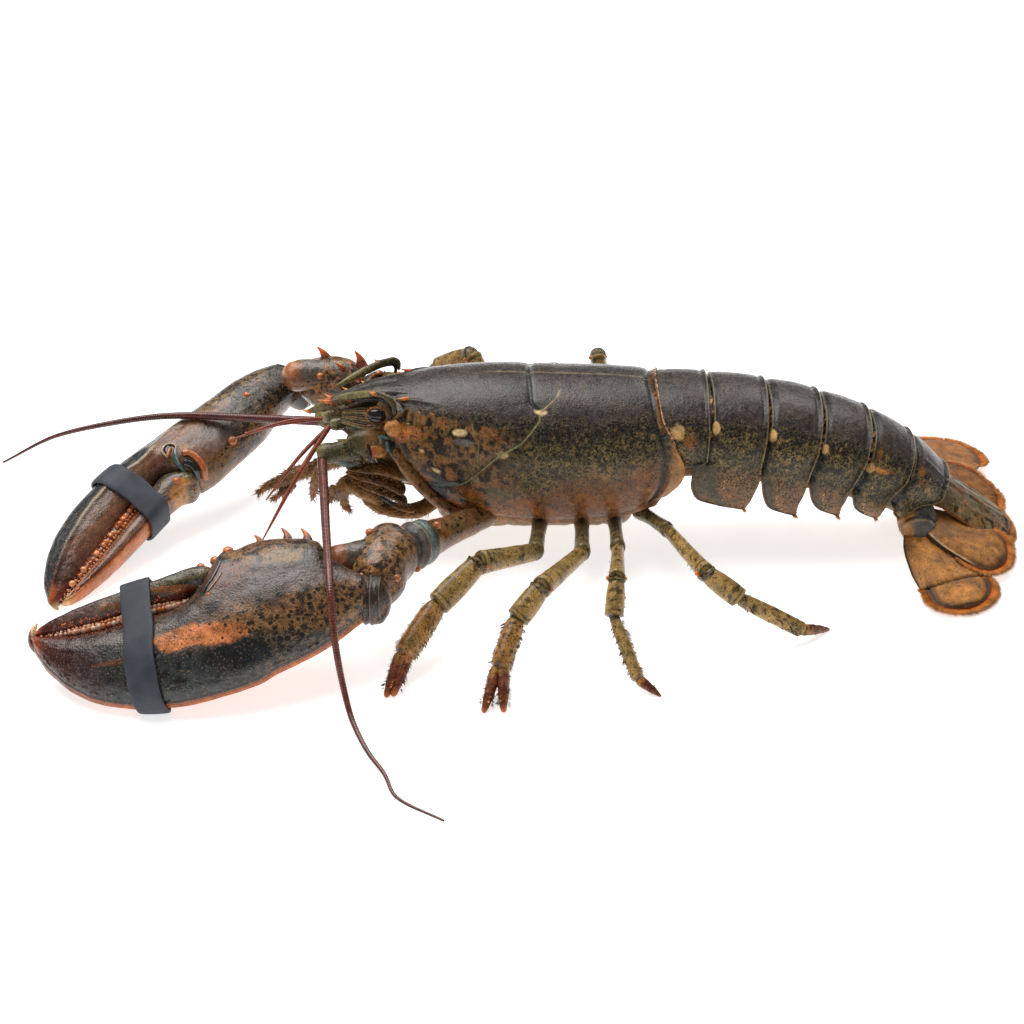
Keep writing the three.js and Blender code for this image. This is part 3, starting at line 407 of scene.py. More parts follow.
def shellFinish(name, look):
    # The painted colour times a slow and a middling cloud; dark spots where the distance to a random
    # point is under a radius that grows with the paint's speck share; dark and pale grains where
    # noise passes a limit that falls with that share; and a bump of pits and grain.
    values = {"Coat Weight": look["coat"], "Coat Roughness": 0.2, "Specular IOR Level": look["gloss"]}
    finish, add, join = newFinish(name, values)
    place = add("TexCoord", {}).outputs["Object"]
    paint = add("Attribute", {}, attribute_name="paint")
    share = paint.outputs["Alpha"]

    def noise(scale, detail):
        return add("TexNoise", {"Vector": place, "Scale": scale, "Detail": detail}).outputs["Fac"]

    def scaled(value, factor, more):
        return add("Math", {0: value, 1: factor, 2: more}, operation="MULTIPLY_ADD").outputs[0]

    def mapped(value, low, high, start, end):
        ends = {"Value": value, "From Min": low, "From Max": high, "To Min": start, "To Max": end}
        return add("MapRange", ends).outputs[0]

    cloud, patch = noise(130.0, 3.0), noise(look["patchScale"], 4.0)
    fine, grain = noise(look["grainScale"], 3.0), noise(look["grainScale"] * 0.63, 2.0)
    frayed = add("TexNoise", {"Vector": place, "Scale": 1500.0, "Detail": 2.0}).outputs["Color"]
    warped = add(
        "VectorMath", {0: frayed, 1: (0.0009, 0.0009, 0.0009), 2: place}, operation="MULTIPLY_ADD",
    ).outputs[0]
    cells = add("TexVoronoi", {"Vector": warped, "Scale": look["spotScale"]})
    size = add(
        "Math", {0: scaled(cells.outputs["Color"], 0.75, 0.3), 1: share}, operation="MULTIPLY",
    ).outputs[0]
    inside = add("Math", {0: size, 1: cells.outputs["Distance"]}, operation="SUBTRACT").outputs[0]
    spots = mapped(inside, -0.03, 0.06, 0.0, 0.95)
    darkGrains = mapped(scaled(share, 0.16, fine), 0.6, 0.68, 0.0, 0.85)
    paleGrains = mapped(scaled(share, 0.1, grain), 0.58, 0.7, 0.0, look["fleck"])
    shade = add(
        "Math", {0: mapped(cloud, 0.3, 0.7, 0.75, 1.15), 1: mapped(patch, 0.32, 0.68, 0.68, 1.35)},
        operation="MULTIPLY",
    ).outputs[0]
    varied = add("VectorMath", {0: paint.outputs["Color"], 3: shade}, operation="SCALE").outputs[0]
    pale = add("Mix", {0: paleGrains, 6: varied, 7: look["fleckColour"]}, data_type="RGBA").outputs[2]
    dark = add(
        "Mix",
        {
            0: add("Math", {0: spots, 1: darkGrains}, operation="MAXIMUM").outputs[0], 6: pale,
            7: look["speckColour"],
        },
        data_type="RGBA",
    ).outputs[2]
    join("Base Color", dark)
    join("Roughness", mapped(patch, 0.3, 0.7, look["rough"] - 0.08, look["rough"] + 0.1))
    pits = add("TexVoronoi", {"Vector": place, "Scale": look["pitScale"]}).outputs["Distance"]
    height = scaled(pits, look["pitShare"], fine)
    join("Normal", add("Bump", {"Strength": look["bump"], "Distance": 0.00025, "Height": height}).outputs[0])
    return finish


shellLook = {
    "coat": 0.0, "gloss": 0.3, "rough": 0.27, "bump": 0.35, "patchScale": 420.0, "spotScale": 950.0,
    "grainScale": 2400.0,
    "pitScale": 1500.0, "pitShare": 0.7, "fleck": 0.45, "fleckColour": (0.24, 0.19, 0.12, 1),
    "speckColour": (0.007, 0.0065, 0.006, 1),
}
carapaceFinish = shellFinish("carapaceShell", dict(shellLook, gloss=0.35, rough=0.25))
tailFinish = shellFinish("tailShell", dict(shellLook, spotScale=1150.0))
clawFinish = shellFinish(
    "clawShell",
    dict(
        shellLook, spotScale=560.0, fleckColour=(0.3, 0.19, 0.12, 1), pitShare=0.9, bump=0.3, gloss=0.48,
        rough=0.24,
    ),
)
hornFinish = shellFinish(
    "glossyHorn",
    dict(shellLook, coat=0.6, gloss=0.5, rough=0.24, fleck=0.0, bump=0.1, patchScale=900.0),
)
legFinish = shellFinish("legShell", dict(shellLook, spotScale=1200.0, fleck=0.35, bump=0.3))
headFinish = shellFinish("headShell", dict(shellLook, spotScale=1400.0, patchScale=700.0, bump=0.4))
fanFinish = shellFinish(
    "fanShell",
    dict(shellLook, spotScale=1500.0, patchScale=300.0, fleck=0.1, bump=0.15, rough=0.4, gloss=0.15),
)
whipFinish = shellFinish(
    "whipShell",
    dict(shellLook, coat=0.3, gloss=0.45, rough=0.26, fleck=0.0, bump=0.1, patchScale=500.0),
)


# Floor, light and camera

studio = {
    "floorHalf": 4.0, "floorGlow": 0.7, "skyStrength": 0.22,
    # name, place in metres, width, power
    "lamps": [("softTop", (-0.3, 0.32, 1.05), 0.95, 15.5), ("softBack", (0.5, 0.75, 0.8), 0.5, 3.0)],
}
viewpoint = {"tilt": 32.0, "away": 696.889, "height": 7.0, "lens": 70.0, "sensor": 36.0, "clip": 0.01}


def makeStage():
    # A plain pale floor that glows a little, a white sky, and two wide soft lamps above and behind.
    floorMesh = bpy.data.meshes.new("floor")
    half = studio["floorHalf"]
    floorMesh.from_pydata(
        [(-half, -half, 0), (half, -half, 0), (half, half, 0), (-half, half, 0)], [], [(0, 1, 2, 3)],
    )
    floor = bpy.data.objects.new("floor", floorMesh)
    bpy.context.scene.collection.objects.link(floor)
    values = {"Roughness": 0.85, "Specular IOR Level": 0.2, "Emission Color": (1, 1, 1, 1)}
    values["Emission Strength"] = studio["floorGlow"]
    finish, add, join = newFinish("paleFloor", values)
    place = add("TexCoord", {}).outputs["Object"]
    tone = add("TexNoise", {"Vector": place, "Scale": 3.0}).outputs["Fac"]
    shade = add("Mix", {0: tone, 6: (0.9, 0.9, 0.9, 1), 7: (0.93, 0.93, 0.93, 1)}, data_type="RGBA")
    join("Base Color", shade.outputs[2])
    floorMesh.materials.append(finish)
    world = bpy.data.worlds.new("studio")
    world.use_nodes = True
    sky = world.node_tree.nodes["Background"].inputs
    sky["Color"].default_value = (1, 1, 1, 1)
    sky["Strength"].default_value = studio["skyStrength"]
    bpy.context.scene.world = world
    for name, place, size, energy in studio["lamps"]:
        lamp = bpy.data.lights.new(name, "AREA")
        lamp.size = size
        lamp.energy = energy
        holder = bpy.data.objects.new(name, lamp)
        holder.location = place
        aim = unit(-np.array(place))
        holder.rotation_euler = (np.arccos(-aim[2]), 0, np.arctan2(-aim[0], aim[1]))
        bpy.context.scene.collection.objects.link(holder)
    bpy.context.scene.view_settings.view_transform = "Standard"


def makeCamera():
    # Looks down by the tilt along +y at a point a few millimetres above the floor.
    tilt = np.radians(viewpoint["tilt"])
    camera = bpy.data.objects.new("camera", bpy.data.cameras.new("camera"))
    camera.data.lens = viewpoint["lens"]
    camera.data.sensor_width = viewpoint["sensor"]
    camera.data.clip_start = viewpoint["clip"]
    away = viewpoint["away"]
    place = np.array([0, -away * np.cos(tilt), viewpoint["height"] + away * np.sin(tilt)])
    camera.location = (place + shift) / 1000
    camera.rotation_euler = (np.pi / 2 - tilt, 0, 0)
    bpy.context.scene.collection.objects.link(camera)
    bpy.context.scene.camera = camera


makeStage()
makeCamera()
print("floor, lights and camera set")


# Carapace

carapace = {
    # [x, crest height, half width, height of the widest line, height of the lower edge]
    "stations": [
        [-46, 56, 13, 43, 35], [-38, 58.9, 18, 40, 27], [-30, 60.6, 21.5, 38, 19],
        [-20, 62, 24, 35, 12.5], [-4, 62.7, 26.3, 33, 9.2], [16, 62.1, 27, 32, 8.4],
        [32, 61.6, 26.6, 33, 10], [46, 60.4, 25.2, 35, 15], [58, 58.8, 23, 38, 24],
    ],
    "power": 2.15, "rows": 216, "sides": 300,
    # [degrees from the crest, x]
    "frontEdge": [
        [0, -45], [28, -41], [45, -38], [60, -42], [80, -42], [100, -39], [122, -32], [145, -20], [180, -10],
    ],
    "rearEdge": [[0, 48], [40, 49.5], [70, 54.5], [92, 57.5], [110, 56], [128, 50], [148, 42], [180, 34]],
    "groove": [
        [0, 5.4], [20, 5.9], [30, 6.3], [35, 8.2], [39, 9.3], [43, 9.2], [50, 7.2], [56, 5], [61, 2.8],
        [65, -0.4], [69, -3.6], [74, -6.6], [79, -9.2], [85, -12.4], [92, -16.4], [97, -20.4], [101, -23.8],
        [110, -31],
    ],
    "thread": [[20, 15.8], [26, 14.8], [30, 13.2], [35, 10.8], [38, 9.4]],
    "hindGroove": [
        [0, 46], [21, 46.8], [39, 47.8], [58, 49.6], [78, 50.7], [96, 50.2], [110, 49], [123, 46.6],
    ],
    "cheekGroove": [[46, -13.4], [59, -12.2], [65, -10.9], [74, -11.4], [81, -13.2], [91, -16.4]],
    # the borders of the slate back, the black band below it, the olive flank and the plain brown
    "slateLine": [[-46, 40], [-34, 38], [-24, 42], [-13, 46], [0, 48], [16, 45], [30, 46], [50, 46]],
    "rimLine": [[-38.2, 80], [-36, 92], [-32.5, 103], [-28.4, 113], [-22, 122], [-14, 128], [-6, 131]],
    "cheekSpots": [
        [-37, 64, 3.4, 10, "patchOrange", 0.9], [-33, 60, 3, 4.5, "patchOrange", 0.7],
        [-16, 63, 3.2, 2.4, "violetGrey", 0.8],
    ],
    "blackLine": [[-46, 46], [-34, 50], [-24, 56], [-13, 60], [0, 64], [16, 62], [30, 60], [50, 62]],
    "plainLine": [[-46, 112], [-16, 104], [0, 96], [16, 88], [30, 84], [46, 76]],
    # [x, degrees from the crest, radius in x, radius in degrees, pigment, strength]
    "spots": [
        [-37, 64, 5.6, 9, "cheekOrange", 0.95], [-28.5, 64, 5.5, 4.4, "rust", 0.95],
        [-22.5, 63, 5, 3, "rust", 0.85],
        [-33, 77, 6, 5, "rustSpeck", 0.55], [-6.5, 60, 3, 7, "rustSpeck", 0.6],
        [-15.5, 53, 3.4, 4, "rustSpeck", 0.5],
        [-17.3, 56, 2.4, 2.4, "cream", 1], [-30, 76, 0.9, 1.2, "cream", 1], [-25.2, 88, 1.2, 1.5, "cream", 1],
        [-34.4, 54, 0.6, 1, "cream", 0.8],
        [-16.4, 63.4, 3.6, 2.2, "slate", 0.95], [-12.4, 87, 1.7, 2.2, "creamDull", 0.9],
        [9.6, 37.6, 2.1, 2.4, "cream", 1], [-3.2, 69, 1.9, 1.9, "cream", 1],
        [-24.8, 112, 4.2, 8.5, "ink", 0.95], [-13.6, 99, 4.4, 5.6, "ochreDeep", 0.95],
        [-5, 94, 4, 3.4, "olive", 0.7],
        [4, 104, 5, 6, "rustLow", 0.9], [-10, 117, 14, 6, "rustSpeck", 0.8], [12, 114, 10, 5, "rustLow", 0.7],
        [30, 104, 8, 6, "rustLow", 0.6],
        [-30, 101, 2.4, 6, "rustSpeck", 0.8], [24, 97, 5, 4, "ochreDeep", 0.4],
    ],
}


def shellAt(x, angle):
    # A boxy oval section at x: half width times sin a, and from the widest line up to the crest or
    # down to the lower edge by cos a, both raised to 2 over the power.
    crest, half, widest, low = (
        smoothLine(np.array(carapace["stations"])[:, [0, k]], x) for k in (1, 2, 3, 4)
    )
    c, s = np.cos(np.radians(angle)), np.sin(np.radians(angle))
    drop = np.abs(c) ** (2 / carapace["power"])
    z = np.where(c > 0, widest + drop * (crest - widest), widest - drop * (widest - low))
    return np.stack([x + 0 * z, bent(s, 2 / carapace["power"]) * half, z], -1)


def alongGroove(line, x, turn, stretch=0.47):
    # The distance in mm from a line x = f(turn), square to it, where a degree is `stretch` mm.
    slope = (smoothLine(line, turn + 1) - smoothLine(line, turn - 1)) / 2 / stretch
    return (x - smoothLine(line, turn)) / np.sqrt(1 + slope**2)


def makeCarapace():
    # x runs from the front edge to the rear edge at each angle; grooves and rims are bells across it.
    angle = np.linspace(-180, 180, carapace["sides"], endpoint=False)
    turn = np.abs(angle)
    front, rear = smoothLine(carapace["frontEdge"], turn), smoothLine(carapace["rearEdge"], turn)
    x = front + (rear - front) * np.linspace(0, 1, carapace["rows"])[:, None]
    turn = turn + 0 * x
    grid = shellAt(x, angle)
    skin = {"grid": grid, "poles": np.array([[-24.0, 0, 38], [42.0, 0, 38]])}
    wobble = lumps(grid, 2.6) + 0.5 * lumps(grid, 1.1, 9)
    slow = lumps(grid, 9.0, 4)
    neck = alongGroove(carapace["groove"], x, turn)
    neckFade = fall(turn, 104, 116)
    hind = alongGroove(carapace["hindGroove"], x, turn)
    hindFade = fall(turn, 124, 134)
    cheek = alongGroove(carapace["cheekGroove"], x, turn)
    cheekFade = ramp(turn, 46, 52) * fall(turn, 86, 93)
    thread = alongGroove(carapace["thread"], x, turn)
    threadFade = (turn > 19) * (turn < 38)
    seam = bell(grid[..., 1], 0.26) * ramp(x, -12, -4) * (grid[..., 2] > 45)
    flank = ramp(turn, 40, 75)
    height = -(0.35 + 0.45 * (turn < 37)) * bell(neck, 0.7) * neckFade - 0.3 * bell(neck, 2.6) * neckFade
    height -= 0.9 * bell(hind, 1.2) * hindFade + 0.35 * bell(hind, 2.8) * hindFade + 0.15 * seam
    height -= 0.15 * bell(cheek, 0.6) * cheekFade
    height += (
        0.35 * bell(x - rear, 0.8) + 0.4 * bell(x - front, 1.0) * (turn < 115)
        - 0.25 * bell(x - front - 2.4, 0.9)
    )
    height += 0.5 * bell(turn - 133, 2.2) - 0.45 * bell(turn - 127, 2.4)
    height += 0.7 * bell(turn - 29 - 0.4 * (x + 36), 2.2) * bell(x + 33, 6)
    grit = lumps(grid, 0.8, 3)
    height += 0.12 * slow + 0.05 * lumps(grid, 2.2) + (0.02 + 0.06 * flank) * grit
    paint = coat("slate", grid[..., 0])
    paint = lay(paint, ramp(lumps(grid * [1, 0.5, 0.5], 2.4, 20) + slow, 0.1, 1.0), "slateWarm", 0.4)
    mottle, small = lumps(grid, 1.9, 12), lumps(grid, 1.15, 17)
    onto = turn - smoothLine(carapace["slateLine"], x) + 4 * slow + 5 * mottle + 3 * small
    paint = over(
        paint,
        (ramp(onto, -7, 1), "nightFleck", 0.85),
        (ramp(onto, -2, 5), "night", 0.78),
    )
    below = turn - smoothLine(carapace["blackLine"], x) + 5 * slow + 6 * mottle + 4 * small
    paint = over(
        paint,
        (ramp(below, -8, 6), "oliveDark"),
        (ramp(below, 8, 26), "oliveBrown", 0.8),
    )
    plain = turn - smoothLine(carapace["plainLine"], x) + 5 * slow + 5 * mottle
    paint = over(
        paint,
        (ramp(plain, -8, 8), "brownLow", 0.95),
        (ramp(plain, 8, 24) * ramp(x, -10, 20), "umber", 0.7),
    )
    cheekZone = fall(x, -8, 6)
    inFlank = ramp(onto, 2, 8) * fall(turn, 122, 128)
    paint = lay(paint, ramp(small + 0.4 * wobble, 0.35, 0.6) * inFlank, "tanSpeck", 0.35 + 0.25 * cheekZone)
    paint = patches(paint, x, turn, carapace["spots"][:6], wobble)
    blots = ramp(lumps(grid, 2.1, 30) + 0.3 * grit, 0.06, 0.2)
    paint = over(
        paint,
        (inFlank * cheekZone, "cheekBrown", 0.75),
        (ramp(small, 0.1, 0.4) * inFlank * cheekZone, "rustLow", 0.6),
        (blots * inFlank * cheekZone * fall(plain, 6, 16), "soot", 0.95),
        (ramp(lumps(grid, 1.1, 31) + 0.2 * grit, 0.28, 0.42) * inFlank * fall(plain, -6, 10), "soot", 0.85),
    )
    paint = patches(paint, x, turn, carapace["spots"][6:], 0.6 * wobble)
    paint = patches(paint, x, turn, carapace["cheekSpots"], 0.4 * wobble)
    paint = over(
        paint,
        (ramp(turn, 126, 131), "tan", 0.5),
        (ramp(turn, 138, 146), "belly"),
        (bell(neck, 2.0) * neckFade * ramp(turn, 38, 46), "soot", 0.4),
        (bell(neck, 0.3) * neckFade * ramp(turn, 36, 40) * fall(turn, 90, 98), "olivePale", 0.95),
        (bell(neck, 0.4) * neckFade * ramp(turn, 88, 96), "teal", 0.8),
        (bell(neck, 0.55) * fall(turn, 30, 37), "ink", 0.92),
        (bell(neck - 1.3, 0.5) * fall(turn, 30, 37), "tealPale", 0.25),
        (bell(thread, 0.26) * threadFade, "creamDull", 0.9),
        (bell(cheek, 0.3) * cheekFade, "olivePale", 0.6),
        (seam, "creamDull", 0.4),
    )
    border = ramp(hind, 1.6, 3.0) * ramp(turn, 58, 74)
    paint = over(
        paint,
        (border, "tan", 0.8),
        (ramp(hind, 1.2, 2.2) * fall(turn, 50, 66), "night", 0.7),
        (border * bell(x - rear, 1.5) * (turn < 128), "cheekOrange", 0.7),
        (bell(hind, 1.35) * hindFade, "navy", 0.97),
        (bell(hind + 2.4, 1.0) * hindFade * ramp(turn, 70, 85), "brownLow", 0.5),
        (bell(x - rear, 0.35) * fall(turn, 60, 80), "tan", 0.5),
        (bell(x - front, 0.9) * (turn < 60), "creamDull", 0.5),
    )
    lowerFront = ramp(turn, 80, 90) * fall(turn, 124, 130)
    paint = over(
        paint,
        (bell(x - front - 0.5, 0.9) * lowerFront, "olivePale", 0.6),
        (bell(x - front - 2.0, 0.55) * lowerFront, "soot", 0.85),
        (bell(x - front - 4.0, 1.6) * lowerFront, "rustSpeck", 0.7),
    )
    skin = raised(skin, height)
    grid = skin["grid"]
    middle = np.array([8.0, 0, 36])
    lips = [
        grid[:1] * 0.93 + middle * 0.07 + [1.4, 0, 0], grid, grid[-1:] * 0.95 + middle * 0.05 - [0.6, 0, 0],
    ]
    skin["grid"] = np.concatenate(lips)
    paint = np.concatenate([paint[:1], paint, paint[-1:]])
    return closed(skin, paint)


rostrum = {
    "path": [[-33, 0, 56.6], [-44, 0, 56.2], [-55, 0, 53.2], [-64, 0, 50.6]],
    "wide": [[0, 9], [0.35, 5.4], [0.7, 3], [1, 0.5]],
    "high": [[0, 3.2], [0.4, 2.4], [0.75, 1.7], [1, 0.4]],
    # [share of the path, length, radius]
    "thorns": [[0.5, 3, 0.75], [0.7, 3.4, 0.8], [0.9, 3.4, 0.7]],
}


def makeRostrum():
    # A flat blade carried forwards: its top sinks along the middle and its two edges stand up.
    skin = sweep(rostrum["path"], (0, 1, 0), rostrum["wide"], rostrum["high"], 90, 60, caps=(0.02, 0.05))
    grid, a = skin["grid"], skin["angle"]
    top = grid[..., 2] > curve(rostrum["path"], skin["t"][:, 0])[:, None, 2]
    edge = bell(np.abs(np.abs(np.cos(a)) - 0.86), 0.12) * top
    height = 0.5 * edge - 0.7 * bell(np.cos(a), 0.4) * top * fall(skin["t"], 0.7, 1)
    skin = raised(skin, height + 0.08 * lumps(grid, 1.2))
    paint = coat("slate", a)
    side = fall(np.abs(np.sin(a)) * np.where(top, 1, -1), -0.2, 0.35)
    paint = over(
        paint,
        (side, "olive"),
        (side * bell(np.sin(a), 0.35), "olivePale", 0.6),
        (edge * ramp(skin["t"], 0.2, 0.4), "creamDull", 0.5),
        (ramp(skin["t"], 0.86, 0.97), "amber", 0.9),
    )
    shapes = [closed(skin, paint), thorn([-63, 0, 51], [-1, 0, 0.25], 3.2, 0.7, "amber")]
    for t, length, radius in rostrum["thorns"]:
        for hand in (near, far):
            root = curve(rostrum["path"], np.array([t]))[0]
            root[1] = hand * smoothLine(rostrum["wide"], t) * 0.85
            shapes.append(thorn(root, [-1, hand * 0.5, 0.45], length, radius, "amber"))
    for hand in (near, far):
        root = shellAt(np.array(-35.0), np.array(29.0 * hand)) + [0, 0, 0.3]
        shapes.append(thorn(root, [-1, hand * 0.25, 0.12], 3.4, 0.8, "amber"))
    return shapes


def shellLine(line, low, high, radius, name):
    # A thin cord laid on both flanks along a line x = f(turn) between two angles.
    turn = np.linspace(low, high, 26)
    paths = [shellAt(smoothLine(carapace[line], turn), hand * turn) for hand in (near, far)]
    return [cord(path, radius, name, 110, 8) for path in paths]


def rearHairs(beadCount=52, hairCount=220):
    # A row of tan beads and short hairs along the rear edge, from crest to flank on both sides.
    angle = np.r_[np.linspace(-66, -2, beadCount), np.linspace(2, 66, beadCount)]
    seats = shellAt(smoothLine(carapace["rearEdge"], np.abs(angle)) + 0.1, angle)
    row = beads(seats, draw.uniform(0.22, 0.36, 2 * beadCount), pigments["beadPink"])
    angle = draw.uniform(-72, 72, hairCount)
    roots = shellAt(smoothLine(carapace["rearEdge"], np.abs(angle)) - 0.2, angle)
    flare = 0.4
    ways = [np.ones(hairCount), flare * np.sin(np.radians(angle)), flare * np.cos(np.radians(angle))]
    ways = np.stack(ways, -1) + draw.normal(0, 0.15, (hairCount, 3))
    lines = [
        *shellLine("groove", 39, 94, 0.2, "olivePale"), *shellLine("thread", 21, 37, 0.2, "creamDull"),
        *shellLine("cheekGroove", 48, 88, 0.14, "headPale"),
    ]
    return [row, hairs(roots, ways, draw.uniform(0.5, 1.0, hairCount), 0.08, pigments["umber"]), *lines]


def cheekRim(hand):
    # The rolled rim below the cheek: a cord along the lower front edge, dotted, with a dark line.
    x, turn = np.array(carapace["rimLine"], float).T
    path = shellAt(x, hand * turn) + [-0.8, 0.3 * hand, -0.5]
    radius = [[0, 0.8], [0.2, 2.0], [0.8, 2.2], [1, 1.0]]
    skin = sweep(path, (0, 0, 1), radius, radius, 160, 40, caps=(0.03, 0.03))
    grid, a = skin["grid"], skin["angle"]
    spots = ramp(lumps(grid, 0.9, 4), 0.3, 0.45)
    paint = over(
        coat("rustLow", a),
        (ramp(lumps(grid, 2.4, 6), -0.3, 0.3), "cheekBrown", 0.9),
        (spots, "soot", 0.9),
        (bell(np.sin(a) + 0.75, 0.2), "soot", 0.7),
    )
    return closed(raised(skin, 0.08 * lumps(grid, 1.4)), paint)


build("carapaceShell", ["carapace"], carapaceFinish, [makeCarapace(), *makeRostrum(), *rearHairs()])
build("cheekRims", ["carapace"], carapaceFinish, [cheekRim(near), cheekRim(far)])

# Tail plates

abdomen = {
    # [x, z] of the axis at the borders between the plates, and the sizes of the section there
    "axis": [[45, 40.4], [64.5, 40.2], [82.5, 38], [99.5, 34.4], [115, 29.4], [129, 22.6], [142.5, 14.4]],
    "dome": [19.4, 19.3, 19.2, 19, 18.4, 17, 13.5],
    "half": [21.5, 22, 22, 21.5, 20.5, 18.5, 14.5],
    "belly": [11, 11, 10.5, 10, 9, 8, 6],
    "domeShare": 0.6, "rows": 80, "columns": 261, "wall": 0.8,
    # for each plate the flap's depth, and its front and rear outline as [depth, place along the plate]
    "flaps": [
        {"depth": 3.4, "front": [[0, 8], [3.4, 12]], "rear": [[0, 20], [1.5, 17], [3.4, 13]], "ink": 9},
        {
            "depth": 18.5,
            "front": [
                [0, -2.5], [1.5, -4.2], [8, -4], [13, -2.2], [16, 0.5], [17.6, 6], [18.3, 13], [18.5, 16],
            ],
            "rear": [[0, 18.6], [4, 19], [8, 18.4], [14, 17.5], [18.5, 16.6]],
            "ink": 10.5,
        },
        {
            "depth": 17.6,
            "front": [
                [0, -0.8], [2, 0.4], [4, 1.3], [8, 2.8], [10.6, 3.9], [14, 6], [15.8, 7.9], [17, 12],
                [17.6, 17],
            ],
            "rear": [[0, 17.4], [6, 17.3], [12, 16.9], [17.6, 18]],
            "ink": 5.6,
        },
        {
            "depth": 13.9,
            "front": [
                [0, -1], [1.8, 0], [5, 1.6], [8, 3.4], [11, 6.2], [12.4, 8.5], [13.4, 13.5], [13.9, 16],
            ],
            "rear": [[0, 15.8], [3, 15.2], [8, 15.2], [13.9, 16.8]],
            "ink": 5.2,
        },
        {
            "depth": 9.8,
            "front": [[0, -0.8], [1.3, -0.1], [4, 1.4], [7, 3.9], [8.6, 6.4], [9.4, 9.4], [9.8, 14]],
            "rear": [[0, 14.2], [4, 14], [8, 15], [9.8, 15.6]],
            "ink": 4.8,
        },
        {
            "depth": 6.4, "front": [[0, -1], [2, 1.2], [4.2, 3.2], [6.4, 7]],
            "rear": [[0, 9], [2, 8], [6.4, 8]], "ink": 2.4,
        },
    ],
    # [place along the plate, degrees, radius along, radius in degrees, pigment, strength]
    "spots": [
        [
            [10, 62, 2.6, 7, "wedge", 0.7], [14, 70, 2.4, 8, "ochreDeep", 0.7],
            [16.5, 60, 1.5, 10, "soot", 0.7],
        ],
        [[16, 60, 2, 6, "slateWarm", 0.4]],
        [[8, 30, 4, 9, "slateWarm", 0.4]],
        [[4.6, 44, 1.6, 8, "slateWarm", 0.4]],
        [
            [5.5, 64, 3.4, 3.2, "cheekOrange", 0.9], [9, 61, 2.6, 2.4, "ochreDeep", 0.7],
            [3.2, 46, 1, 8, "ochreDeep", 0.8],
        ],
        [[4, 42, 1.6, 6, "ochreDeep", 0.8], [6, 55, 2, 5, "ochreDeep", 0.5], [10, 60, 2, 6, "tanSpeck", 0.5]],
    ],
    # for each plate the degrees by which its dark crest is narrower
    "lift": [0, 0, 0, 0, 4, 14],
    # for each plate the degrees and size of the pale wedge behind its front ridge
    "wedges": [(0, 0), (56, 1), (57, 1), (60, 0.85), (66, 0.9), (0, 0)],
}


def plateFrame(k):
    # The middle of the plate's front border, its direction along and up, and its length.
    (fx, fz), (rx, rz) = abdomen["axis"][k], abdomen["axis"][k + 1]
    ahead = unit([rx - fx, 0, rz - fz])
    return np.array([fx, 0, fz]), ahead, np.array([-ahead[2], 0, ahead[0]]), np.hypot(rx - fx, rz - fz)


def plateSheet(k):
    # Across the plate the arch runs from the crest by sine and cosine to the widest line, and below
    # it straight down the flap; along it each column runs from its front to its rear outline.
    flap, share = abdomen["flaps"][k], abdomen["domeShare"]
    start, ahead, up, length = plateFrame(k)
    w = np.linspace(-1, 1, abdomen["columns"])
    hand, reach = np.sign(w), np.abs(w)
    turn = np.minimum(reach / share, 1) * 90
    deep = flap["depth"] * (1 - (1 - np.clip((reach - share) / (1 - share), 0, 1)) ** 1.6)
    handover = ramp(turn, 62, 90)
    front = -1.2 * (1 - handover) + smoothLine(flap["front"], deep) * handover
    rear = (length + 0.9) * (1 - handover) + smoothLine(flap["rear"], deep) * handover
    s = front + (rear - front) * np.linspace(0, 1, abdomen["rows"])[:, None]
    t = np.clip(s / length, 0, 1)
    swell = smoothLine(
        [
            [-5, 0.94], [0, 0.957], [2.2, 0.985], [5, 1.0], [length * 0.6, 1.012], [length - 1, 1.0],
            [length + 1, 0.998],
        ],
        s,
    )
    swell = np.where(deep > 0, 1 + (swell - 1) * (-0.4 if k == 1 else 1.0), swell)
    half, dome = (swell * (abdomen[key][k] * (1 - t) + abdomen[key][k + 1] * t) for key in ("half", "dome"))
    c, sn = np.cos(np.radians(turn)), np.sin(np.radians(turn))
    bow = smoothLine([[0, 0], [0.35, 0.6], [0.7, -0.7], [1, -3.4]], deep / flap["depth"])
    y = hand * (sn**0.9 * half + bow)
    z = np.maximum(c, 0) ** 0.92 * dome - deep
    grid = start + ahead * s[..., None] + up * z[..., None]
    grid[..., 1] = y
    return grid, s, turn + 0 * s, deep + 0 * s, front + 0 * s, rear + 0 * s


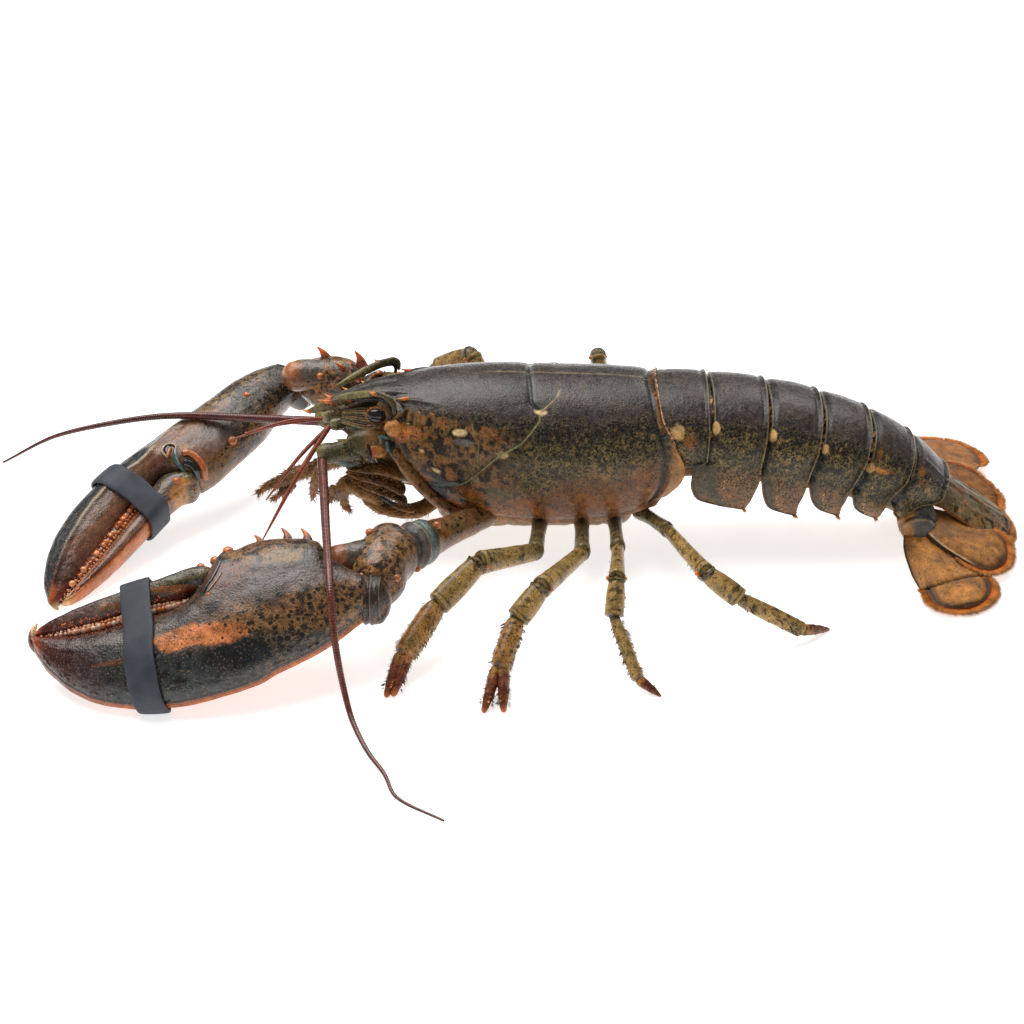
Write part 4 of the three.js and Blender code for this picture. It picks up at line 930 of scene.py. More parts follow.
def makePlate(k):
    # The sheet raised by bells along its borders; paint by the angle from the crest on the arch, and
    # by the distance from the front border on the flap.
    flap = abdomen["flaps"][k]
    grid, s, turn, deep, front, rear = plateSheet(k)
    onFlap = ramp(deep, 0.4, 3.0)
    slow, wobble = lumps(grid, 7.0, 2), lumps(grid, 2.4) + 0.5 * lumps(grid, 1.0, 5)
    ridge = s - 0.5 - 0.014 * turn
    upper = fall(turn, 58, 70)
    height = 0.3 * bell(s - rear + 0.3, 0.5) * (1 - onFlap) - 0.3 * bell(s - rear + 1.7, 0.6) * (1 - onFlap)
    height += (0.3 * bell(ridge, 0.5) - 0.55 * fall(ridge, -0.9, -0.2)) * upper * (k > 0)
    height += 0.3 * bell(s - front - 0.6, 0.7) * onFlap - 0.25 * bell(s - front - 2.0, 0.8) * onFlap
    height -= 0.7 * bell(deep, 1.6) * fall(s - front, 1.5, 4.5) * (k > 1)
    grit = lumps(grid, 0.7, 1)
    height += 0.1 * slow + 0.05 * lumps(grid, 1.3, 7) + 0.035 * grit
    if k == 5:
        height += (
            0.3 * bell(turn - 22 - 0.5 * s, 2.5) * ramp(s, 3, 5)
            - 0.35 * bell(turn - 28 - 0.5 * s, 2.5) * ramp(s, 3, 5)
        )
    normal = unit(np.cross(np.gradient(grid, axis=0), np.gradient(grid, axis=1)))
    normal *= np.sign((normal * (grid - grid.mean(axis=(0, 1)))).sum())
    grid = grid + normal * height[..., None]
    paint = coat("slate", s)
    streak = lumps(np.stack([s, turn * 0.07, 0 * s + 5 * k], -1), 1.3)
    paint = lay(paint, ramp(streak + slow, 0.0, 0.8), "slateWarm", 0.45)
    mottle, small = lumps(grid, 1.7, 12), lumps(grid, 1.05, 17)
    onto = turn + abdomen["lift"][k] - 50 + 4 * slow + 6 * mottle + 4 * small
    paint = over(
        paint,
        (ramp(onto, -8, 0), "nightFleck", 0.8),
        (ramp(onto, -2, 4), "night", 0.75),
        (ramp(onto, 4, 12), "oliveDark"),
        (ramp(small + 0.4 * wobble, 0.3, 0.6) * ramp(onto, 4, 10), "tanSpeck", 0.55),
        (
            ramp(lumps(grid, 1.3, 31) + 0.25 * grit, 0.2, 0.42) * ramp(onto, 0, 6) * fall(deep, 1, 4),
            "soot",
            0.9,
        ),
    )
    paint = patches(paint, s, turn, abdomen["spots"][k], wobble)
    paint = over(
        paint,
        (onFlap * ramp(deep + wobble, 0.5, 5), "flapBrown", 0.95),
        (onFlap * ramp(deep / flap["depth"] + 0.2 * wobble, 0.5, 0.85), "flapRust", 0.55),
        (onFlap * ramp(small, 0.3, 0.6), "oliveDark", 0.35),
    )
    ink = fall(s - front + 0.5 * wobble + 0.4 * mottle, flap["ink"] - 2.6, flap["ink"])
    paint = lay(paint, onFlap * ink, "navy", 0.93)
    if k == 1:
        inner = onFlap * bell(s - front - 3.2 + 0.5 * mottle, 2.4) * ramp(deep, 2, 6)
        paint = over(
            paint,
            (inner, "slateWarm", 0.6),
            (inner * bell(deep - 14, 2.6), "rustLow", 0.5),
        )
    # Painted shadow: ink along the front band, deepest above the flap, under the rear edge in front.
    shade = fall(s - front, 2.0, 3.6) * ramp(turn, 60, 72) * fall(deep, 2, 4)
    paint = over(
        paint,
        (shade + bell(deep - 0.4, 1.5) * fall(s - front, 2, 5), "ink", 0.9),
        (bell(s - rear + 3.0, 1.6) * ramp(turn, 45, 70) * (1 - onFlap), "night", 0.6),
        (onFlap * bell(s - front - 0.2, 0.4), "flapRust", 0.9),
        (onFlap, "oliveDark", 0.35),
        (onFlap * bell(s - front - 1.0, 0.4), "soot", 0.9),
        (ramp(deep, flap["depth"] - 1.2, flap["depth"] - 0.3) * ramp(s - front, 1, 4), "hairBrown", 0.7),
    )
    if k:
        strip = fall(ridge, -0.7, 0.0) * (1 - onFlap)
        paint = over(
            paint,
            (strip, "night", 0.95),
            (
                strip * ramp(small + 0.3 * grit, -0.1, 0.2) * ramp(turn, 14, 26) * fall(turn, 62, 70),
                "ochreDeep", 0.95,
            ),
            (
                strip * ramp(small + 0.3 * grit, 0.15, 0.4) * ramp(turn, 14, 26) * fall(turn, 62, 70),
                "wedge", 0.8,
            ),
            (bell(ridge, 0.18) * fall(turn, 54, 60), "creamDull", 0.5),
        )
        middle, size = abdomen["wedges"][k]
        if size:
            reach = 1 - ((turn - middle) / (7.0 * size)) ** 2 - ((ridge - 0.4) / (1.45 * size)) ** 2
            paint = over(
                paint,
                (ramp(reach + 0.25 * wobble, -0.05, 0.15) * ramp(ridge, -1.2, -0.6), "wedge", 0.95),
                (bell(turn - middle - 9, 4) * bell(ridge - 0.5, 1.6), "soot", 0.8),
            )
    paint = over(
        paint,
        (bell(s - rear + 0.15, 0.17) * (1 - onFlap), "creamDull", 0.7),
        (bell(s - rear + 0.9, 0.4) * (1 - onFlap), "soot", 0.8),
    )
    return walled(grid, np.full(s.shape, abdomen["wall"]), paint, "belly"), grid


def flapTrim(k, grid):
    # Small orange dots behind each flap's dark border, and hairs along its lower rim.
    flap = abdomen["flaps"][k]
    shapes = []
    rows, columns = grid.shape[:2]
    share = (1 - abdomen["domeShare"]) / 2
    for hand in (near, far):
        edge = 0 if hand == near else columns - 1
        inner = int(share * columns)

        def pick(row, place):
            return grid[row, edge - hand * np.round(place * inner).astype(int)]

        if 0 < k < 5:
            place = np.sort(draw.uniform(0.12, 0.8, 16))
            row = np.clip(
                (0.34 + 0.1 * (1 - place) + draw.normal(0, 0.035, 16)) * rows, 4, rows - 5,
            ).astype(int)
            row = row if k > 1 else np.clip(row + 12, 0, rows - 5)
            shapes.append(beads(pick(row, place), draw.uniform(0.14, 0.3, 16), pigments["wedge"]))
        count = int(14 + 5 * flap["depth"])
        row = draw.integers(int(rows * 0.2), rows - 2, count)
        roots = pick(row, np.full(count, 0.01))
        ahead = plateFrame(k)[1]
        ways = ahead * 0.6 + np.array([0, hand * 0.1, -0.9]) + draw.normal(0, 0.2, (count, 3))
        shapes.append(
            hairs(roots, ways, draw.uniform(0.6, 1.7, count), 0.09, pigments["fringe"], pigments["hairPale"])
        )
        if k < 5:
            shapes.append(
                thorn(
                    grid[-3, edge - hand * 2] - ahead * 0.5, ahead + [0, 0, -0.6], 1.3, 0.5, "hairBrown",
                    "wedge",
                )
            )
    return shapes


def makeBelly(k):
    # The soft underside of one plate: a low boxy sweep with a swelling across its middle.
    start, ahead, up, length = plateFrame(k)
    high = 5.6
    first = start + up * (high - abdomen["belly"][k]) - ahead * 1.5
    last = start + ahead * (length + 1.5) + up * (high - abdomen["belly"][k + 1])
    wide = [[0, abdomen["half"][k] * 0.84], [1, abdomen["half"][k + 1] * 0.84]]
    skin = sweep([first, last], (0, 1, 0), wide, high, 34, 60, 2.6, caps=(0.12, 0.12))
    skin = raised(skin, 0.5 * bell(skin["t"] - 0.5, 0.16) + 0.12 * lumps(skin["grid"], 2.2))
    paint = lay(coat("belly", skin["t"]), bell(skin["t"] - 0.5, 0.1), "umber", 0.6)
    return closed(skin, paint)


for k in range(6):
    plate, plateGrid = makePlate(k)
    build(
        f"tailPlate{k + 1}", [f"abdomen_{k + 1}"], tailFinish,
        [plate, makeBelly(k), *flapTrim(k, plateGrid)],
    )


# Tail fan

tailFan = {
    "telson": {
        "base": (143, 0, 20), "tip": (173.8, 0, 0.9), "thick": 1.9, "camber": 2, "roll": 0.1,
        "plus": [[0, 10.6], [0.35, 13.6], [0.6, 14.4], [0.8, 12.2], [0.92, 9], [0.98, 5], [1, 0.6]],
        "minus": [[0, -10.6], [0.35, -12.4], [0.6, -11.8], [0.8, -9.6], [0.92, -7.2], [0.98, -4], [1, -0.6]],
        "suture": None, "fringeFrom": 0.8,
    },
    "uropod_inner_left": {
        "base": (142, -10, 12.4), "tip": (170.5, -30, 2), "thick": 1.2, "camber": 0.8, "roll": 0,
        "plus": [
            [0, 6], [0.12, 8.8], [0.24, 10.2], [0.39, 11], [0.6, 10.8], [0.76, 9.4], [0.84, 6], [0.875, 1],
        ],
        "minus": [
            [0, -4], [0.15, -8], [0.38, -10.9], [0.58, -13.2], [0.69, -12.6], [0.8, -8.3], [0.86, -2.8],
            [0.875, -0.5],
        ],
        "suture": None, "fringeFrom": 0.5,
    },
    "uropod_outer_left": {
        "base": (138, -13, 9), "tip": (151.5, -54, 0.9), "thick": 1.2, "camber": 0.8, "roll": 0,
        "plus": [
            [0, 3.5], [0.09, 5.6], [0.2, 8], [0.37, 10.2], [0.55, 11.6], [0.655, 11.8], [0.68, 10.2],
            [0.8, 10.3], [0.88, 7.7], [0.92, 4.2], [0.94, 0.5],
        ],
        "minus": [
            [0, -2], [0.07, -3.8], [0.15, -5.6], [0.3, -6.2], [0.46, -8.4], [0.56, -10.8], [0.63, -12.9],
            [0.68, -13.5], [0.78, -12.3], [0.86, -9.3], [0.92, -4.5], [0.94, -0.6],
        ],
        "suture": 0.655, "fringeFrom": 0.64,
    },
    "uropod_inner_right": {
        "base": (143, 9, 10.4), "tip": (174.5, 20, 2), "thick": 1.2, "camber": 0.6, "roll": 0.4,
        "plus": [[0, 4], [0.15, 7], [0.4, 9.5], [0.62, 10.5], [0.8, 9], [0.92, 5.6], [0.98, 1]],
        "minus": [[0, -4], [0.15, -8], [0.4, -12], [0.6, -13.4], [0.78, -11.6], [0.9, -7], [0.98, -1]],
        "suture": None, "fringeFrom": 0.5,
    },
    "uropod_outer_right": {
        "base": (141, 12, 9.4), "tip": (165.5, 58.5, 1.4), "thick": 1.2, "camber": 0.8, "roll": 0,
        "plus": [
            [0, 4], [0.3, 9], [0.5, 13], [0.65, 15.5], [0.75, 15], [0.85, 12.6], [0.93, 8.6], [0.985, 3],
            [1, 0.6],
        ],
        "minus": [
            [0, -4], [0.3, -8], [0.6, -11], [0.68, -11.8], [0.72, -11], [0.82, -12.2], [0.9, -10.8],
            [0.96, -6.6], [0.995, -1.5], [1, -0.6],
        ],
        "suture": 0.7, "fringeFrom": 0.68,
    },
}
leafSteps, leafSides = 130, 100


def leafAt(leaf, t, c, lift):
    # A point of the leaf: along by t, across by c times the outline on that side, raised by the
    # camber times one less c squared, and by the lift.
    base, tip = np.array(leaf["base"], float), np.array(leaf["tip"], float)
    along = unit(tip - base)
    across = (
        unit(np.cross(along, [0, 0, 1.0])) * np.sqrt(1 - leaf["roll"] ** 2) + np.array([0, 0, -leaf["roll"]])
    )
    up = unit(np.cross(across, along))
    plus, minus = smoothLine(leaf["plus"], t), smoothLine(leaf["minus"], t)
    w = np.where(c > 0, c * plus, -c * minus)
    rise = leaf["camber"] * (1 - c**2) * np.minimum(1, (plus - minus) / 12) + lift
    return base + (tip - base) * t[..., None] + across * w[..., None] + up * rise[..., None], w


def makeLeaf(name):
    # A flat closed skin inside the two outlines, thin towards the edge, with a keel, fine rays from
    # its foot and, on the outer pair, a toothed suture across.
    leaf = tailFan[name]
    length = np.linalg.norm(np.subtract(leaf["tip"], leaf["base"]))
    end = leaf["plus"][-1][0]
    t = (1 - np.cos(np.pi * np.linspace(0.01, 0.995, leafSteps)))[:, None] / 2 * end
    angle = np.linspace(0, 2 * np.pi, leafSides, endpoint=False)
    c, s = bent(np.cos(angle), 0.9) + 0 * t, np.sin(angle) + 0 * t
    t = t + 0 * angle
    width = np.where(c > 0, smoothLine(leaf["plus"], t), -smoothLine(leaf["minus"], t))
    edge = np.minimum((1 - np.abs(c)) * width, (end - t) * length)
    thick = (
        leaf["thick"] * smoothLine([[0, 1.6], [0.3, 1.0], [1, 0.5]], t) * (0.35 + 0.65 * ramp(edge, 0, 2.5))
    )
    grid, w = leafAt(leaf, t, c, thick * s)
    polar = np.arctan2(w, t * length + 14)
    wobble = lumps(grid, 2.2) + 0.5 * lumps(grid, 0.9, 3)
    top = s > 0
    height = (
        0.3 * bell(w, 0.8) * top * fall(t, 0.6 * end, 0.85 * end) - 0.22 * bell(np.abs(w) - 1.6, 0.5) * top
    )
    height += 0.05 * np.sin(polar * 150) * ramp(t, 0.15, 0.5) + 0.04 * lumps(grid, 0.8, 6)
    height += 0.25 * bell(edge - 0.5, 0.5)
    telson = name == "telson"
    if telson:
        height += 0.4 * bell(np.abs(w) - 8.4 + 2 * t, 0.7) * top + 0.15 * lumps(grid, 3.0)
    paint = over(
        coat("telsonBrown" if telson else "fanOrange", t),
        (ramp(wobble + lumps(grid, 5.0, 2), -0.1, 0.7), "fanDeep", 0.75),
        (bell(np.sin(polar * 75), 0.35), "umber", 0.3),
        (ramp(lumps(grid, 6.0, 9), 0.1, 0.6) * fall(t, 0.3, 0.7), "plateGrey", 0.4),
    )
    dots = (
        bell(np.sin(polar * 23 + 0.6), 0.12) * (np.sin(t * length * 3.2 + 3 * wobble) > 0.55)
        * ramp(t, 0.2, 0.4)
    )
    paint = over(
        paint,
        (dots * (not telson), "wine", 0.85),
        (fall(t, 0.02, 0.2), "plateGrey" if telson else "olive", 0.7),
    )
    if telson:
        paint = over(
            paint,
            (ramp(wobble + lumps(grid, 4.0, 8), 0.0, 0.5), "oliveBrown", 0.7),
            (ramp(lumps(grid, 1.3, 7) + 0.5 * wobble, 0.15, 0.45), "soot", 0.85),
            (ramp(lumps(grid, 1.6, 2) - 0.2, 0.2, 0.5) * fall(t, 0.25, 0.5), "fanOrange", 0.85),
            (bell(w + 8.4 - 2 * t, 0.35) + bell(w + 5.6 - t, 0.25), "creamDull", 0.7),
            (ramp(t, 0.86, 0.93), "ink", 0.9),
        )
    if leaf["suture"]:
        place = leaf["suture"] + 0.012 * np.abs(np.mod(w * 0.9, 2) - 1) - 0.006 + 0.012 * np.sin(w * 0.15)
        height -= 0.5 * bell((t - place) * length, 0.35) * top
        height -= 0.25 * ramp((t - place) * length, 0, 0.5) * top
        paint = over(
            paint,
            (bell((t - place) * length, 0.38) * top, "soot", 0.95),
            (bell((t - place) * length + 1.0, 0.5) * (np.sin(w * 5) > 0) * top, "soot", 0.4),
        )
    start = leaf["suture"] or 0.7 * end
    distal = ramp(t, start, start + 0.02) if leaf["suture"] else ramp(t, start - 0.16, start + 0.06)
    paint = over(
        paint,
        (fall(edge + 0.4 * wobble, 1.2, 2.6 if telson else 4.0) * distal, "ink", 0.85),
        (fall(edge, 0.3, 0.8), "hairBrown", 0.8),
    )
    # Painted shade: umber darkens the inner leaves a little and the far side's leaves more.
    if not telson:
        paint = lay(paint, np.full(t.shape, 0.25 * ("inner" in name) + 0.4 * ("right" in name)), "umber")
    if name.startswith("uropod_outer"):
        side = (c > 0) if "left" in name else (c < 0)
        paint = over(
            paint,
            (fall(edge, 0.2, 1.0) * fall(t, 0.6, 0.66) * side, "ink", 0.9),
            (fall(edge, 0.3, 0.9) * fall(t, 0.6, 0.66) * ~side, "ink", 0.8),
        )
    if name == "uropod_inner_left":
        paint = over(
            paint,
            (bell(edge - 1.0, 0.3) * (c > 0) * top * fall(t, 0.6, 0.7), "cream", 0.7),
            (fall(edge, 0.4, 0.8) * (c > 0) * fall(t, 0.6, 0.7), "ink", 0.95),
        )
    skin = raised({"grid": grid, "poles": np.stack([grid[0].mean(0), grid[-1].mean(0)])}, height)
    paint = lay(paint, (~top) * 0.6, "belly", 0.7)
    return closed(skin, paint)


def leafFringe(name, count=2400, halfSteps=90, rimSteps=240, blur=6):
    # A thin pleated skirt round the far part of the outline, and hairs standing out through it. The
    # outward direction is square to the rim's, which is averaged over the blur on both sides.
    leaf = tailFan[name]
    end = leaf["plus"][-1][0]
    t = leaf["fringeFrom"] + (end - leaf["fringeFrom"]) * np.sin(np.linspace(0, np.pi / 2, halfSteps))
    t = np.r_[t, t[::-1]]
    c = np.r_[np.ones(halfSteps), -np.ones(halfSteps)]
    rim, _ = leafAt(leaf, t, c, 0 * t)
    chords = np.r_[0, np.cumsum(np.linalg.norm(np.diff(rim, axis=0), axis=1))]
    at = np.linspace(0, chords[-1], rimSteps)
    rim = np.stack([np.interp(at, chords, rim[:, a]) for a in range(3)], -1)
    along = unit(np.gradient(rim, axis=0))
    share = np.ones(2 * blur + 1) / (2 * blur + 1)
    smooth = [np.convolve(np.pad(along[:, a], blur, "edge"), share, "valid") for a in range(3)]
    along = unit(np.stack(smooth, -1))
    out = unit(np.cross(along, [0, 0, 1.0]))
    out *= np.sign((out * (rim - rim.mean(0))).sum())
    fade = np.sqrt(np.clip(np.minimum(at, chords[-1] - at) / 7, 0, 1))
    long = 0.85 * fade + 0.1
    reach = np.linspace(-0.4, 1, 7)[:, None]
    sheet = rim + out * (reach * (long + 0.25 * lumps(rim, 0.7)))[..., None]
    sheet[..., 2] = np.maximum(sheet[..., 2] - 0.35 * np.maximum(reach, 0), 0.25)
    paint = over(
        coat("fringe", sheet[..., 0]),
        (bell(np.sin(at * 7.0 + 2 * lumps(rim, 1.5)), 0.5) + 0 * reach, "hairBrown", 0.5),
        (fall(reach, 0.0, 0.4) + 0 * at, "wine", 0.8),
    )
    pick = draw.integers(2, rimSteps - 2, count)
    roots = rim[pick] + draw.uniform(-0.3, 0.3, (count, 3)) * [1, 1, 0.4]
    ways = out[pick] + draw.normal(0, 0.16, (count, 3)) * [1, 1, 0.4] - [0, 0, 0.06]
    lengths = (3.0 * fade[pick] + 0.5) * draw.uniform(0.7, 1.15, count)
    ground = np.maximum(roots[:, 2], 0.3)
    roots[:, 2] = ground
    ways[:, 2] = np.maximum(ways[:, 2], -(ground - 0.2) / lengths)
    colours = pigments["fringe"] * draw.uniform(0.7, 1.25, (count, 1))
    return [
        walled(sheet, np.full(sheet.shape[:2], 0.14), paint, "hairBrown"),
        hairs(roots, ways, lengths, 0.09, colours, pigments["hairPale"]),
    ]


for name in tailFan:
    build(
        name.replace("_", " ").title().replace(" ", "") + "Leaf", [name], fanFinish,
        [makeLeaf(name), *leafFringe(name)],
    )

fanBases = {
    "left": {"start": (139, -8, 13.6), "end": (139, -16.4, 10.6), "radii": [5.4, 7, 6.2]},
    "right": {"start": (140, 6, 13), "end": (140, 14, 9.6), "radii": [5, 5.8, 5.2]},
}


def makeFanBase(side):
    # A short rounded block carried outwards from the last plate, slate above and orange in front,
    # with a rim line and three flat pointed teeth over the leaves.
    row = fanBases[side]
    hand = near if side == "left" else far
    skin = limb(row["start"], row["end"], row["radii"], 0.95, steps=60, sides=70, overlap=0.7)
    grid, t = skin["grid"], skin["t"]
    wobble = lumps(grid, 2.4)
    skin = raised(skin, 0.3 * bell(t - 0.8, 0.04) - 0.3 * bell(t - 0.72, 0.03) + 0.15 * lumps(grid, 2.0))
    paint = over(
        coat("plateGrey", t),
        (ramp(wobble, 0.1, 0.6), "soot", 0.6),
        (ramp(row["start"][0] - 1.5 - grid[..., 0] + wobble, 0, 2.0), "fanOrange", 0.9),
        (bell(t - 0.74, 0.03), "ink", 0.9),
        (bell(t - 0.8, 0.015), "creamDull", 0.6),
    )
    shapes = [closed(skin, paint)]
    for x, y, reach in ((146.5, 12.4, 3.4), (146.5, 14.6, 5.2), (144.5, 16.8, 5.0)):
        root = np.array([x - 3.0, y * hand, 11.6])
        shapes.append(thorn(root, (1, hand * 0.35, -0.12), reach + 2.0, 1.7, "soot", "creamDull"))
    return shapes


for side in fanBases:
    build(f"fanBase{side.title()}", [f"uropod_base_{side}"], tailFinish, makeFanBase(side))


# Claws

crusher = {
    "wrist": (-46, -82.6, 23.8), "tip": (-151.6, -80.8, 14.1), "inner": (-0.03, 0.872, 0.488),
    "length": 105.4,
    "outer": [
        [-3, -2], [3, -6.6], [8, -10.4], [14, -14.2], [20, -17.2], [26, -19.9], [32.4, -23.4], [38.6, -25.7],
        [44.7, -27.3], [51, -28.5], [57, -29.4], [65, -29.6], [76, -28.1], [82.3, -26.4], [88.8, -23],
        [94, -19.3], [99, -14.3], [102.6, -9.3], [104.6, -5.4], [105.4, -3.6],
    ],
    "palm": [
        [-3, 7.5], [3, 11.6], [6.4, 14], [9.6, 16], [14.5, 22.8], [21, 24], [27.5, 24.5], [35.5, 23.3],
        [40.3, 21.5], [43.5, 21.1], [46, 18.4], [48, 13], [50, 9.4], [53, 5.6], [56, 3], [60, 1.3], [66.6, 0],
        [74.4, -2.2], [84, -3.7], [90.3, -4.1], [96.7, -3.9], [101, -3.6], [104, -3], [105.4, -2.8],
    ],
    "finger": [
        [44, 16], [48, 15.6], [54, 15.4], [59.4, 13.9], [64.2, 12.4], [72.2, 10.4], [78.6, 8.8], [84.9, 7],
        [91.1, 4.7], [97.3, 1.9], [101.9, -1], [103.4, -2],
    ],
    "gape": [
        [44, 4], [48, 5.5], [52, 5.6], [56, 4], [60, 2.9], [66.6, 1.7], [74.4, -0.1], [84, -2], [90.3, -3],
        [96.7, -3.6], [103.4, -3.4],
    ],
    "thick": [
        [-3, 8.5], [8, 10.5], [24, 13], [42, 13.2], [58, 11.4], [76, 9], [92, 6.4], [102, 3.8], [106, 1.4],
    ],
    "underShare": 0.72, "skew": 0.16, "band": 68.1, "lean": 0.14,
    # [place along, place across, radius along, radius across, pigment, strength]
    "palmSpots": [
        [24, 20, 20, 4.5, "flecked", 0.8], [14, 14, 12, 6, "slateSpeck", 0.7],
        [30, 14, 12, 4, "tanSpeck", 0.45], [40, 8, 8, 6, "russet", 0.6],
        [10, -2, 13, 8, "flecked", 0.95], [28, -7.5, 15, 4.6, "flecked", 0.95],
        [37, -5, 8, 4, "flecked", 0.9], [20, -14, 15, 4, "nightFleck", 0.7],
        [74, -23, 30, 16, "charcoal", 0.95], [48, -22, 20, 6.6, "charcoal", 0.95],
        [92, -16, 12, 9, "charcoal", 0.9],
    ],
    # painted after the dark blots; the first, violet-grey oval is partly the palm's grey, partly a painted
    # sheen
    "clearSpots": [
        [22, 4.5, 13, 3.6, "violetGrey", 0.75], [37, 1.5, 8, 4, "greyBrown", 0.6],
        [44, 5, 5, 2.6, "chestnut", 0.6],
        [35, -16.5, 9, 4.2, "ink", 0.95], [41, -19, 7, 3.5, "soot", 0.7],
        [46, -11.2, 11, 3.4, "patchOrange", 0.95], [56, -12.6, 7, 3.6, "patchOrange", 0.95],
        [38, -10, 6, 2, "rustSpeck", 0.8], [50, -4, 12, 3, "slate", 0.6],
        [76, -17.6, 7, 0.8, "rustSpeck", 0.4],
        [84, -10, 12, 1, "soot", 0.5], [70, -9, 14, 3, "greyBrown", 0.5],
    ],
    "fingerSpots": [
        [50, 12, 8, 6, "oliveDark", 0.7], [58, 12, 9, 4, "slateSpeck", 0.7],
        [57, 6.4, 10, 1.2, "ochreDeep", 0.9], [56, 8.2, 9, 0.9, "soot", 0.9],
        [62, 9, 10, 1.4, "olive", 0.5], [76, 2.6, 7, 1.3, "ochreDeep", 0.5],
    ],
    # [place along, place across, length, radius]: the spines on the inner edge, then the knobs
    "thorns": [[17.5, 23.8, 5.2, 2], [23.8, 24.4, 5.2, 2], [32.5, 23.6, 4, 1.9]],
    "knobs": [[42.2, 19.6, 2], [50.6, 14.6, 1.5], [46, 16.2, 1.8], [46, 1.4, 0.8]],
    "tipHook": [[100.2, -8, 0], [104, -4.6, 0], [104.7, -1.6, 0], [103.4, 1.9, 0.2]],
    "teeth": (55.5, 101, 0.8),
}
cutter = {
    "wrist": (-82.2, 47.2, 31.6), "tip": (-161, -42.8, 6.4), "inner": (0.749, -0.504, -0.43), "length": 122.6,
    "outer": [
        [-5, -6.5], [0.3, -9.4], [8.2, -11.8], [17.1, -13], [30, -13], [45, -13.2], [57, -13.2], [67, -13.2],
        [75, -13.2], [85, -11.9], [93, -10.3], [102.3, -7.3], [109.6, -3.7], [116.7, 1.8], [121, 7.2],
        [122.6, 10.6],
    ],
    "palm": [
        [-5, 4.5], [2, 6.5], [11, 8.2], [22, 11.2], [30.4, 11.8], [39, 12.4], [47, 13], [52, 12.6],
        [55.5, 9.5], [58.5, 4.6], [62, 0.6], [68.2, 0.6], [74, 1.6], [79.7, 3.3], [84.5, 4.5], [90.2, 5.9],
        [96.1, 7.5], [102, 9.1], [108.5, 10.6], [114.8, 12.2], [120.7, 13.4], [122.6, 13.6],
    ],
    "finger": [
        [52, 13.6], [57, 13.2], [62, 11.4], [70, 11.6], [79.4, 13.1], [87.5, 14.4], [95.5, 15.6],
        [102.8, 16.3], [109.6, 16.5], [115.5, 16.2], [119.7, 15],
    ],
    "gape": [
        [52, 2], [56, 2.6], [62, 0.4], [68.2, 2], [76.7, 4.6], [81.8, 6], [89.1, 7.9], [97.5, 9.8],
        [105.6, 11.4], [113.4, 12.8], [119.7, 13.4],
    ],
    "thick": [
        [-5, 7], [10, 9], [30, 10.4], [50, 10.6], [66, 9.2], [86, 7.6], [104, 5.6], [117, 3.2], [123, 1.4],
    ],
    "underShare": 0.9, "skew": 0.1, "band": 75.5, "lean": -0.1,
    "ridge": [
        [34, -11], [51.6, -9.6], [54.7, -8.8], [65.9, -6.6], [76.3, -7.6], [86.7, -6.2], [99.6, -2.4],
        [109.2, 1.8], [117.2, 7], [121.7, 10.8],
    ],
    "palmSpots": [
        [18, -2, 24, 10, "nightFleck", 0.7], [24, 8, 16, 3.2, "flecked", 0.9],
        [46, 10.5, 9, 3.2, "oliveBrown", 0.9], [30, -7, 10, 3, "tanSpeck", 0.4],
        [14, -7, 10, 2.5, "tanSpeck", 0.4],
    ],
    "clearSpots": [
        # the first, violet-grey oval is partly the smooth area's own grey, partly a painted sheen
        [42, 3.4, 6, 4.4, "violetGrey", 0.85], [34, 5, 5, 3.4, "slate", 0.8],
        [51.6, -0.4, 1.6, 1.2, "fanOrange", 0.9], [44, -5, 14, 3, "umber", 0.6],
        [60.8, -6.6, 0.8, 0.7, "soot", 1], [66, -2.4, 10, 1.6, "wine", 0.7], [92, 1.5, 20, 1.5, "umber", 0.6],
        [104, 5, 12, 1.4, "wine", 0.6],
        [78, -2.5, 10, 1, "olive", 0.4],
    ],
    "fingerSpots": [
        [57, 8, 6, 5, "oliveDark", 0.6], [63, 9.5, 5, 2.6, "fanOrange", 0.95],
        [66, 4, 8, 4, "greyBrown", 0.8], [66, 3, 6, 1.4, "olive", 0.4],
    ],
    "thorns": [],
    "knobs": [
        [61.6, 6.6, 1.35], [56.4, 1.4, 0.6], [57.6, 12.4, 0.85], [36, 7.6, 1.9], [19, -2.4, 1.4],
        [26, 5, 1.3],
    ],
    "tipHook": [[117, 10.4, 0], [121.2, 12.4, 0], [121.9, 14.8, 0.2]], "teeth": (71, 119, 0.62),
}


fingerShare = 0.84  # the finger's thickness over the palm's


def clawFrame(claw):
    # Rows: along from wrist to tip, across made square to it, and up, square to both.
    along = unit(np.subtract(claw["tip"], claw["wrist"]))
    across = unit(np.array(claw["inner"]) - along * np.dot(along, claw["inner"]))
    up = np.cross(along, across)
    return np.stack([along, across, up if up[2] > 0 else -up])


def placed(claw, points):
    # From the claw's own frame into the lobster's: the points times its rows, plus the wrist.
    return points @ clawFrame(claw) + claw["wrist"]


